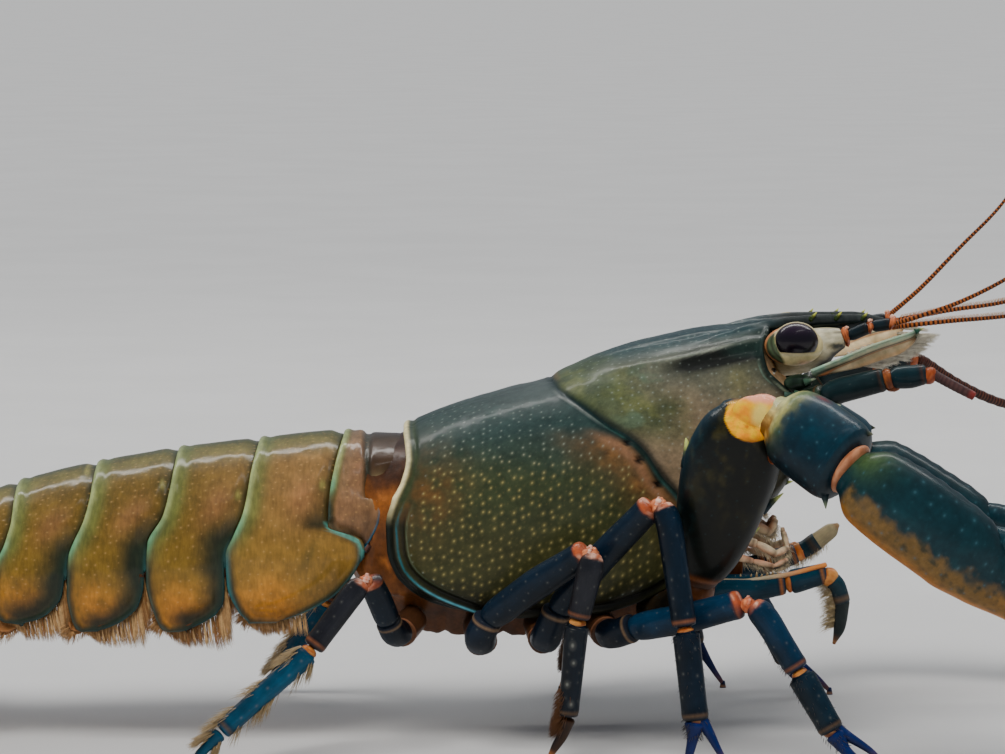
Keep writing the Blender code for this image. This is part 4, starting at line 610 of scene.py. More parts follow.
class Nodes:
    """A short way to write the nodes of a material."""

    def __init__(self, name):
        self.look = bpy.data.materials.new(name)
        self.look.use_nodes = True
        self.tree = self.look.node_tree
        self.shader = self.tree.nodes["Principled BSDF"]

    def node(self, kind, inputs=(), **settings):
        made = self.tree.nodes.new(kind)
        for key, value in settings.items():
            setattr(made, key, value)
        for key, value in dict(inputs).items():
            self.put(made.inputs[key], value)
        return made

    def set(self, *values):
        """Constant values on the shader's own sockets."""
        for label, value in values:
            self.shader.inputs[label].default_value = value

    def put(self, socket, value):
        if isinstance(value, bpy.types.NodeSocket):
            self.tree.links.new(value, socket)
        else:
            socket.default_value = value

    def painted(self, layer, kind):
        """What the mesh carries under this name, as Color or Vector."""
        return self.node("ShaderNodeAttribute", attribute_name=layer).outputs[kind]

    def math(self, operation, a, b=0.0, clamp=False):
        return self.node("ShaderNodeMath", {0: a, 1: b}, operation=operation, use_clamp=clamp).outputs[0]

    def range(self, value, low, high, to_low=0.0, to_high=1.0):
        return self.node("ShaderNodeMapRange",
                         {"Value": value, "From Min": low, "From Max": high, "To Min": to_low,
                          "To Max": to_high}, interpolation_type="SMOOTHSTEP").outputs[0]

    def mix(self, share, a, b, how="MIX"):
        made = self.node("ShaderNodeMix", data_type="RGBA", blend_type=how)
        self.put(made.inputs[0], share)
        self.put(made.inputs[6], a)
        self.put(made.inputs[7], b)
        return made.outputs[2]

    def place(self, stretch=(1.0, 1.0, 1.0), flat=False):
        """A place in millimetres, in space or on the unrolled skin."""
        if flat:
            spot, scale = self.painted("flat", "Vector"), 1.0
        else:
            spot, scale = self.node("ShaderNodeTexCoord").outputs["Object"], 1000.0
        return self.node("ShaderNodeVectorMath", {0: spot, 1: [scale * s for s in stretch]},
                         operation="MULTIPLY").outputs[0]

    def noise(self, size, detail=3.0, stretch=(1.0, 1.0, 1.0), flat=False):
        return self.node("ShaderNodeTexNoise", {"Vector": self.place(stretch, flat), "Scale": 1.0 / size,
                "Detail": detail, "Roughness": 0.6}).outputs["Fac"]


def skin_look(name, dot, spacing=1.1, dot_size=0.3, rough=0.42, coat=0.08, streak=(1.0, 1.0, 1.0),
              streak_size=0.5, relief=0.02, coat_rough=0.2, second=0.2, faint=None):
    """A material for shell or skin: the painted tint with dots, mottling, streaks and fine relief."""
    n = Nodes(name)
    tint = n.painted("tint", "Color")
    marks = n.painted("marks", "Vector")
    parts = n.node("ShaderNodeSeparateXYZ", {0: marks}).outputs
    flat = n.place(flat=True)
    dots = 0.0
    for size, share, seed in ((spacing, 1.0, 0.0), (spacing * 0.7, second, 7.3)):
        spot = n.node("ShaderNodeVectorMath", {0: flat, 1: (seed, seed * 1.7, 0.0)},
                      operation="ADD").outputs[0]
        cells = n.node("ShaderNodeTexVoronoi", {"Vector": spot, "Scale": 1.0 / size, "Randomness": 0.56},
                       voronoi_dimensions="2D")
        vary = n.node("ShaderNodeSeparateColor", {0: cells.outputs["Color"]}).outputs[0]
        edge = n.math("MULTIPLY", cells.outputs["Distance"], n.range(vary, 0.0, 1.0, 1.15, 0.9))
        reach = n.math("MULTIPLY", n.math("ADD", parts[0], 0.25), dot_size / spacing)
        one = n.math("MAXIMUM", n.range(edge, reach, 0.0),
                     n.range(edge, n.math("MULTIPLY", reach, 1.9), 0.0, 0.0, 0.35))
        dots = n.math("MAXIMUM", dots, n.math("MULTIPLY", one, share))
    dots = n.math("MULTIPLY", dots, parts[0], clamp=True)
    blotch = n.range(n.noise(1.7, 4.0), 0.3, 0.72)
    fine = n.range(n.noise(streak_size, 3.0, streak, True), 0.32, 0.7)
    dark = n.mix(n.math("MULTIPLY", parts[1], 0.75), tint,
                 n.mix(1.0, tint, (0.42, 0.45, 0.42, 1.0), "MULTIPLY"))
    light = n.mix(n.math("MULTIPLY", parts[1], 0.55), tint,
                  n.mix(1.0, tint, (1.6, 1.5, 1.3, 1.0), "MULTIPLY"))
    colour = n.mix(n.math("MULTIPLY", n.math("ADD", blotch, fine), 0.5), dark, light)
    bead = n.mix(n.range(parts[0], 0.3, 0.55), (*(dot if faint is None else faint), 1.0), (*dot, 1.0))
    colour = n.mix(dots, colour, bead)
    n.put(n.shader.inputs["Base Color"], colour)
    pores = n.noise(0.16, 2.0)
    shine = n.math("MULTIPLY_ADD", parts[2], -0.2)
    n.put(shine.node.inputs[2], rough + 0.1)
    n.put(n.shader.inputs["Roughness"], n.math("ADD", shine, n.math("MULTIPLY", pores, 0.12), clamp=True))
    n.set(("Coat Weight", coat), ("Coat Roughness", coat_rough), ("Specular IOR Level", 0.14))
    height = n.math("ADD", n.math("MULTIPLY", pores, 0.5), n.math("MULTIPLY", n.noise(0.55, 3.0), 0.7))
    height = n.math("SUBTRACT", height, n.math("MULTIPLY", dots, 0.8))
    bump = n.node("ShaderNodeBump", {"Height": height, "Strength": 0.5, "Distance": relief * MM})
    n.put(n.shader.inputs["Normal"], bump.outputs[0])
    return n.look


def hair_look(name):
    """A material for hairs: the painted tint, a little darker in patches."""
    n = Nodes(name)
    tint = n.painted("tint", "Color")
    vary = n.range(n.noise(0.5, 2.0), 0.3, 0.7)
    n.put(n.shader.inputs["Base Color"],
          n.mix(vary, n.mix(1.0, tint, (0.72, 0.7, 0.68, 1.0), "MULTIPLY"), tint))
    n.set(("Roughness", 0.55))
    return n.look


def eye_look(name):
    """A material for the eyes: dark and glossy, with fine facets."""
    n = Nodes(name)
    tint = n.painted("tint", "Color")
    facets = n.node("ShaderNodeTexVoronoi", {"Vector": n.place(), "Scale": 1.0 / 0.07}).outputs["Distance"]
    n.put(n.shader.inputs["Base Color"],
          n.mix(n.range(facets, 0.2, 0.7, 0.0, 0.3), tint,
                n.mix(1.0, tint, (0.4, 0.4, 0.4, 1.0), "MULTIPLY")))
    n.put(n.shader.inputs["Normal"],
          n.node("ShaderNodeBump", {"Height": facets, "Strength": 0.08, "Distance": 0.004 * MM}).outputs[0])
    n.set(("Roughness", 0.3), ("Specular IOR Level", 0.25), ("Coat Weight", 0.3), ("Coat Roughness", 0.06))
    return n.look


BODY_OUTLINE = (BODY_TOP, BODY_BOTTOM, BODY_HALF_WIDTH)
TAIL_OUTLINE = (TAIL_TOP, TAIL_BOTTOM, TAIL_HALF_WIDTH)
# The beak takes this share of each side, from the middle line down to its margin.
BEAK_SHARE = 0.2
# Rows of the shell's mesh behind the groove, before it and on the beak, and columns on each side.
SHELL_GRID = (124, 84, 34, 126)
SHELL_MIDDLE = (15.0, 0, 28.0)
SHELL_THICK, TERGITE_THICK, FAN_THICK, VANE_THICK, SCALE_THICK = 0.55, 0.5, 0.5, 0.28, 0.3
# How many hairs grow on each lobe, fan plate, swimmeret vane, mouth limb, palp and feeler scale.
LOBE_HAIRS, FAN_HAIRS, VANE_HAIRS, COMB_HAIRS, PALP_HAIRS, SCALE_HAIRS = 2600, 900, 260, 700, 170, 1500


def body_point(x, share, form, outline, grow=0.0):
    """Half width and height of the body at x, with share 0 on the back and 1 at the lower margin."""
    high = smooth(outline[0], x) + grow
    low = smooth(outline[1], x) - grow
    wide = smooth(outline[2], x) + grow
    middle = low + form["wide_at"] * (high - low)
    turn = math.radians(90) * np.minimum(share / form["upper_share"], 1)
    reach = math.radians(form["tuck"])
    under = reach * np.clip((share - form["upper_share"]) / (1 - form["upper_share"]), 0, 1)
    upper = share <= form["upper_share"]
    half = np.where(upper, np.sin(turn) ** form["round"], np.cos(under) ** form["tuck_power"]) * wide
    height = np.where(upper, middle + (high - middle) * np.maximum(np.cos(turn), 0) ** form["round"],
                      middle - (middle - low) * np.sin(under) / math.sin(reach))
    return half, height


def edge_place(edge, share, form, outline, grow=0.0):
    """The x at which a plate's edge, given as (height, x), crosses the line of this share."""
    x = np.full(np.shape(share), sum(e[1] for e in edge) / len(edge))
    for _ in range(60):
        x = x + 0.5 * (smooth(edge, body_point(x, share, form, outline, grow)[1]) - x)
    return x


def body_line(edge, form, outline, low=0.0):
    """A plate's edge as places on the right side, from the share low to the lower margin."""
    share = np.linspace(low, 1, 60)
    x = edge_place(edge, share, form, outline)
    half, height = body_point(x, share, form, outline)
    return np.stack([x, -half, height], -1)


def mirror_sheet(rows):
    """Both halves of a sheet from its right half, whose first column lies on the middle line."""
    left = rows * (1, -1, 1)
    return np.concatenate([rows[:, ::-1], left[:, 1:]], axis=1)


def on_right(points):
    """The points with those of the left side mirrored onto the right side."""
    return np.stack([points[:, 0], -np.abs(points[:, 1]), points[:, 2]], -1)


def mirror_values(values):
    """Values of the right half of a sheet, given to both halves."""
    return np.concatenate([values[:, ::-1], values[:, 1:]], axis=1)


CARINA = [(21.0, -2.5), (26.0, -2.9), (31.0, -3.15), (35.0, -3.6), (38.0, -3.75)]
ORBIT_RIDGE = [(20.6, 38.3), (23.4, 38.5), (26.8, 39.1), (30.2, 39.85), (33.5, 40.6), (36.4, 41.2)]
BLACK_SPOTS = [(22.92, 31.42), (24.1, 29.58), (26.0, 27.08)]


def beak_point(x, q):
    """The beak at x, with q 0 on its middle line and 1 on its margin."""
    half = smooth(ROSTRUM_HALF_WIDTH, x)
    top = smooth(ROSTRUM_TOP, x)
    raised = -0.34 + 0.5 * near(q, 0.88, 0.16) - 0.22 * ramp(0.9, 1.0, q)
    return -half * q, top + raised * np.minimum(half / 1.6, 1)


def shell_rows(along_rear, along_front, along_beak, around):
    """The right half of the shell of head and thorax, rear to front, as one sheet for the part
    below the beak's margin and one for the part that runs out into the beak."""
    share = np.linspace(0, 1, around + 1)
    split = int(round(BEAK_SHARE * around))
    low = 1 - (1 - np.linspace(0, 1, around - split + 1)[1:]) ** 1.25
    share = np.concatenate([np.linspace(0, BEAK_SHARE, split + 1), BEAK_SHARE + (1 - BEAK_SHARE) * low])
    rear = edge_place(CARAPACE_REAR, share, BODY_FORM, BODY_OUTLINE)
    groove = edge_place(CERVICAL_GROOVE, share, BODY_FORM, BODY_OUTLINE)
    front = edge_place(HEAD_FRONT, share, BODY_FORM, BODY_OUTLINE)
    corner = front[split]
    front[:split] = corner
    t = np.linspace(0, 1, along_rear + 1)[:, None] ** 1.3
    u = np.linspace(0, 1, along_front + 1)[1:, None]
    u = 0.45 * u + 0.275 * (1 - np.cos(math.pi * u))
    x = np.concatenate([rear + (groove - rear) * t, groove + (front - groove) * u])
    beak = corner + (ROSTRUM_TIP - corner) * np.linspace(0, 1, along_beak + 1)[1:, None] * np.ones(split + 1)

    def place(x, share):
        half, height = body_point(x, share, BODY_FORM, BODY_OUTLINE)
        q = np.minimum(share / BEAK_SHARE, 1)
        side, high = beak_point(x, q)
        edge_half, edge_height = body_point(x, BEAK_SHARE, BODY_FORM, BODY_OUTLINE)
        weight = ramp(29.0, 37.3, x)
        inside = share <= BEAK_SHARE
        fade = 1 - ramp(BEAK_SHARE, BEAK_SHARE + 0.13, share)
        y = np.where(inside, -half + (side + half) * weight, -half + (side + edge_half) * weight * fade)
        z = np.where(inside, height + (high - height) * weight, height + (high - edge_height) * weight * fade)
        return np.stack([x, y, z], -1)

    sheet = place(x, np.broadcast_to(share, x.shape))
    tongue = place(beak, np.broadcast_to(share[:split + 1], beak.shape))
    return sheet, tongue, share, split


def paint_shell(p, rim, groove, behind, front, carina, ridge, spots, on_beak):
    """The tint and marks of the shell at each point."""
    x, z = p[:, 0], p[:, 2]
    blot, fleck, fine = rough_grain(p, 3.2, 3), rough_grain(p, 1.1, 8), rough_grain(p, 0.45, 9)
    head = 1 - behind
    ground = mottled((27, 25, 15), (60, 61, 34), 13.5, 19, z)
    ground = layered(ground, (
        ((56, 64, 42), ramp(20, 27, z + blot)),
        ((40, 60, 58), ramp(27, 33, z + blot)),
        ((70, 80, 80), ramp(33, 37.5, z))))
    patch = near(groove, 1.6, 2.3) * ramp(23.0, 25.5, z) * (1 - ramp(30.0, 33.2, z)) * behind
    ground = layered(ground, (
        ((134, 92, 50), np.clip(patch * (0.9 + 0.6 * fleck), 0, 1) * 0.8),
        ((46, 26, 14), np.clip(patch * ramp(0.1, 0.6, fine) * 1.2, 0, 1) * 0.6)))
    band = near(groove, 1.4, 0.55) * ramp(24.0, 26.5, z) * (1 - ramp(31.0, 33.0, z)) * behind
    ground = mix(ground, rgb(150, 108, 80), band * 0.75)
    rusty = near(rim, 2.6, 3.4) * near(z, 25.5, 4.0) * behind
    ground = mix(ground, rgb(112, 70, 34), np.clip(rusty * (0.7 + fleck), 0, 1) * 0.6)
    cheek = mottled((140, 120, 96), (90, 92, 78), 32.5, 38.5, z + blot)
    patch = near(np.hypot((x - 34.4) / 1.5, (z - 37.0) / 2.0), 0, 0.9)
    cheek = mix(cheek, rgb(116, 112, 78), patch * (0.7 + 0.4 * fleck))
    above = mottled((38, 64, 66), (30, 56, 62), 39, 42, z)
    dorsal = ramp(38.2, 40.0, z - 0.19 * (x - 20.6) + 0.4)
    tone = mix(cheek, above, dorsal)
    corner = ramp(7.4, 2.6, groove + 1.7 * blot) * ramp(29.5, 33.5, z)
    tone = mix(tone, mottled((60, 76, 50), (88, 98, 54), -0.3, 0.5, rough_grain(p, 1.7, 21)),
               np.clip(corner * (1 - ramp(38.4, 40.2, z)), 0, 1) * 0.85)
    spotty = ramp(0.15, 0.6, rough_grain(p, 2.0, 33)) * ramp(10, 7, np.abs(x - 25.5) + 5) * ramp(31, 34, z)
    tone = layered(tone, (
        ((86, 104, 84), np.clip(spotty, 0, 1) * (1 - ramp(38.0, 39.6, z)) * 0.8),
        ((20, 44, 34), near(np.hypot((x - 27.8) / 1.3, (z - 34.8) / 0.8), 0, 0.8) * ramp(-0.9, 0.2, fleck)
         * 0.75)))
    # Painted shadow: a near-black band under the orbit ridge, where the ridge shades the side of the head.
    under = near(z - 0.2 * (x - 20.6), 37.2, 0.95) * ramp(25, 31, x) * (1 - ramp(37.2, 38.4, x))
    tone = mix(tone, rgb(6, 9, 9), np.clip(under * 1.7, 0, 1) * 0.95)
    ground = mix(ground, tone, head)
    # Painted highlight: a pale line along the crest of the orbit ridge.
    ground = layered(ground, (
        ((168, 174, 160), near(ridge, 0, 0.12) * head * ramp(23, 32, x) * 0.8),
        ((110, 118, 118), near(carina, 0, 0.25) * head * 0.5)))
    # Painted reflection: a pale grey line along the raised margins of the beak.
    beak = mix(rgb(6, 14, 13), rgb(74, 80, 82), near(carina, 0.1, 0.3) * 0.6)
    ground = mix(ground, beak, ramp(36.0, 40.0, x) * on_beak)
    yellow = near(groove, 0.35, 0.35) * head * ramp(36.6, 38.0, z)
    ground = mix(ground, rgb(186, 122, 44), yellow * 0.8)
    lower = 1 - ramp(33.0, 34.5, z)
    ground = layered(ground, (
        ((10, 34, 36), near(groove, 0.0, 0.5) * 0.9),
        ((12, 40, 38), near(groove, 0.4, 0.34) * behind * lower * 0.9),
        ((60, 104, 98), near(groove, 0.36, 0.07) * behind * lower * 0.35)))
    # Painted highlight: a pale line on the raised lip behind the upper part of the groove.
    pale = near(groove, 0.45, 0.1) * behind * ramp(32.5, 34.0, z) * (1 - ramp(35.2, 36.4, z))
    ground = mix(ground, rgb(160, 166, 160), pale * 0.5)
    orbit = head * (1 - on_beak) * ramp(32, 34, z)
    ground = layered(ground, (
        ((12, 30, 28), near(front, 0.1, 0.6) * orbit * 0.95),
        ((176, 190, 156), near(front, 0.3, 0.1) * orbit * (1 - ramp(36.2, 37.6, z)) * 0.8),
        ((110, 140, 126), near(front, 0.62, 0.07) * orbit * ramp(36.2, 37.6, z) * (1 - ramp(38.6, 39.6, z))
         * 0.6)))
    temple = ramp(5.0, 2.5, front) * orbit * ramp(39.2, 40.2, z)
    ground = mix(ground, rgb(26, 44, 40), temple * 0.85)
    dark = np.exp(-(spots / 0.4) ** 6)
    ground = mix(ground, rgb(4, 5, 5), dark)
    upper = ramp(22.5, 26.0, z) * behind
    outer = np.exp(-(rim / 1.0) ** 8) * (1 - upper) * behind
    ground = layered(ground, (
        ((16, 24, 20), outer),
        ((10, 12, 9), near(rim, 1.7, 0.35) * (1 - upper) * behind * 0.8)))
    line = near(rim, 1.12, 0.08) * (1 - upper) * behind * (1 - ramp(6.0, 12.0, x))
    ground = mix(ground, mottled((96, 176, 196), (24, 110, 124), 14.5, 18.0, z), line * 0.8)
    line = near(rim, 2.1, 0.1) * (1 - upper) * behind * ramp(15.5, 18.5, z)
    ground = layered(ground, (
        ((104, 120, 92), line * 0.5),
        ((238, 224, 170), np.exp(-(rim / 0.45) ** 4) * upper),
        ((54, 66, 42), near(rim, 0.95, 0.35) * upper * 0.8)))
    ground = ground * (1 + 0.12 * blot + 0.16 * fleck + 0.14 * fine)[:, None]
    # On the head, dots thin out in the painted shadow under the orbit ridge.
    dots = np.where(behind > 0.5, (0.56 - 0.24 * ramp(26, 33, z)) * (1 - 0.9 * ramp(34.0, 35.6, z)),
                    0.3 - 0.2 * under)
    dots = dots * ramp(1.9, 2.8, np.where(behind > 0.5, rim, 9)) * ramp(0.8, 2.2, np.abs(groove))
    dots = dots * (1 - on_beak * ramp(34, 38, x)) * (1 - dark)
    marks = np.stack([dots, 0.6 + 0.2 * head, 0.45 + 0.1 * head], -1)
    return ground, marks


def build_shell(look):
    """The shell of head and thorax with its beak, ridges, groove and spines."""
    sheet, tongue, share, split = shell_rows(*SHELL_GRID)
    rows, columns = sheet.shape[:2]
    both = mirror_sheet(sheet).reshape(-1, 3)
    wide = 2 * columns - 1
    quads = grid_quads(rows, wide)
    beak = mirror_sheet(tongue)
    offset = len(both)
    middle = columns - 1
    span = np.arange(middle - split, middle + split + 1)
    first = (rows - 1) * wide + span
    ids = np.concatenate([first[None],
                          offset + np.arange(beak.shape[0] * beak.shape[1]).reshape(beak.shape[:2])])
    more = np.stack([ids[:-1, :-1], ids[:-1, 1:], ids[1:, 1:], ids[1:, :-1]], -1).reshape(-1, 4)
    points = np.concatenate([both, beak.reshape(-1, 3)])
    quads = np.concatenate([quads, more])
    shares = np.concatenate([mirror_values(np.broadcast_to(share, (rows, columns))).ravel(),
                             mirror_values(np.broadcast_to(share[:split + 1], tongue.shape[:2])).ravel()])
    folded = on_right(points)
    rear_line = body_line(CARAPACE_REAR, BODY_FORM, BODY_OUTLINE)
    low_x = np.linspace(rear_line[-1, 0], 30.6, 30)
    half, height = body_point(low_x, np.ones(30), BODY_FORM, BODY_OUTLINE)
    rim = np.minimum(line_distance(folded, rear_line[::2]),
                     line_distance(folded, np.stack([low_x, -half, height], -1)[::2]))
    groove_line = body_line(CERVICAL_GROOVE, BODY_FORM, BODY_OUTLINE)
    groove = line_distance(folded, groove_line[::2])
    behind = np.zeros(len(points))
    behind[:(SHELL_GRID[0] + 1) * wide] = 1
    front = line_distance(folded, body_line(HEAD_FRONT, BODY_FORM, BODY_OUTLINE, BEAK_SHARE)[::2])
    carina = line_distance(folded[:, :2], CARINA)
    carina = np.where(folded[:, 0] > 38,
                      np.abs(-folded[:, 1] - 0.86 * smooth(ROSTRUM_HALF_WIDTH, folded[:, 0])), carina)
    ridge = line_distance(folded[:, [0, 2]], ORBIT_RIDGE)
    spots = np.min([np.hypot(folded[:, 0] - s[0], folded[:, 2] - s[1]) for s in BLACK_SPOTS], axis=0)
    on_beak = 1 - ramp(BEAK_SHARE, BEAK_SHARE * 1.25, shares)
    x = folded[:, 0]
    head = 1 - behind
    lift = -0.42 * near(groove, 0, 0.4) * (0.4 + 0.6 * ramp(14, 22, folded[:, 2])) * (1
            - 0.75 * ramp(33, 36.5, folded[:, 2]))
    side_on = 1 - ramp(32.0, 35.0, folded[:, 2])
    lift += head * 0.12 * near(groove, 1.5, 1.1) * ramp(22, 32, folded[:, 2])
    lift += behind * (0.07 * near(groove, 0.45, 0.16) - 0.08 * near(groove, 1.0, 0.3) * side_on)
    lift += 0.2 * near(carina, 0, 0.34) * ramp(20.5, 25, x) * head * (1 - ramp(33, 37, x))
    lift += 0.26 * near(ridge, 0, 0.4) * ramp(20.5, 24.5, x) * (1 - ramp(36.0, 37.4, x)) * head
    lift -= 0.1 * near(ridge, 0.9, 0.5) * ramp(24, 28, x) * head * (folded[:, 2] < 0.19 * (x - 20.6) + 38.2)
    lift += 0.2 * near(front, 0.15, 0.22) * head * (1 - on_beak)
    lift -= 0.12 * near(front, 0.8, 0.4) * head * (1 - on_beak)
    lower = 1 - ramp(22.5, 25.5, folded[:, 2])
    lift += behind * (0.2 * near(rim, 0.95, 0.35) - 0.34 * near(rim, 1.62, 0.36)) * lower
    lift -= behind * 0.45 * (1 - ramp(0.0, 1.0, rim)) * lower
    lift += behind * (0.14 * near(rim, 0.25, 0.3) - 0.16 * near(rim, 0.9, 0.35)) * (1 - lower)
    lift -= behind * 0.1 * near(np.abs(folded[:, 1]), 2.3, 0.35) * ramp(34, 35.5,
            folded[:, 2] + 0.3 * (11 - x))
    lift -= 0.3 * np.exp(-(spots / 0.4) ** 4)
    lift += 0.05 * rough_grain(points, 2.6, 5) + 0.02 * grain(points, 0.8, 6)
    normal = corner_normals(points, quads)
    if (normal * (points - SHELL_MIDDLE)).sum() < 0:
        normal = -normal
    points = points + normal * lift[:, None]
    thick = SHELL_THICK + on_beak * ramp(36.5, 39.5, x) * (smooth(ROSTRUM_THICK, x) * 0.85 - SHELL_THICK)
    closed, faces, source, depth = thicken(points, quads, thick, SHELL_MIDDLE)
    tint, marks = paint_shell(folded, rim, groove, behind, front, carina, ridge, spots, on_beak)
    tint = mix(tint[source], rgb(60, 48, 30), ramp(0.6, 1.0, depth) * 0.9)
    beak_side = on_beak[source] * ramp(0.1, 0.4, depth) * ramp(36, 38, x[source])
    tint = mix(tint, rgb(14, 26, 24), beak_side)
    steps = np.linalg.norm(np.diff(sheet, axis=1), axis=2)
    around = np.cumsum(np.concatenate([np.zeros((rows, 1)), steps], axis=1), axis=1)
    around = mirror_values(around) * np.where(np.arange(wide) < middle, -1, 1)
    flat = np.concatenate([np.stack([both[:, 0], around.ravel(), np.zeros(len(both))], -1),
                           np.stack([beak[..., 0].ravel(), beak[..., 1].ravel(),
            np.zeros(beak[..., 0].size)], -1)])
    piece = Piece().add(closed, faces, tint, marks[source] * (1 - ramp(0.3, 0.6, depth))[:, None],
                        flat[source])
    for at in ROSTRUM_SPINES:
        for side in (-1, 1):
            root = (at, side * (float(smooth(ROSTRUM_HALF_WIDTH, at)) - 0.2),
                    float(smooth(ROSTRUM_TOP, at)) - 0.2)
            spine(piece, np.array(root), (0.6, side * 0.5, 0.8), 0.8, 0.32, rgb(40, 56, 24),
                  rgb(222, 226, 96), (0.1, 0.0, 0.1))
    for side in (-1, 1):
        spine(piece, np.array((39.3, side * 6.2, 35.75)), (1.0, side * 0.1, 0.02), 1.1, 0.42,
              rgb(70, 96, 84), rgb(150, 190, 160))
        spine(piece, np.array((36.7, side * 5.0, 41.05)), (1.0, side * 0.1, 0.15), 0.7, 0.3, rgb(60, 84, 70),
              rgb(160, 180, 120))
    return piece.make("shell", look, "shell", "head", "carapace")


A1_FRONT = [
    (20.2, -3.7), (21.4, -2.9), (23.0, -2.15), (24.4, -1.9), (25.4, -2.2), (26.2, -2.8), (27.4, -1.6),
    (28.6, -0.3), (30.0, 0.4), (32.0, 0.6)]
A1_REAR = [(20.2, -4.1), (20.9, -4.5), (21.5, -5.5), (21.9, -6.6), (22.4, -7.2), (24.0, -7.2), (28.3, -6.6),
           (32.0, -5.6)]


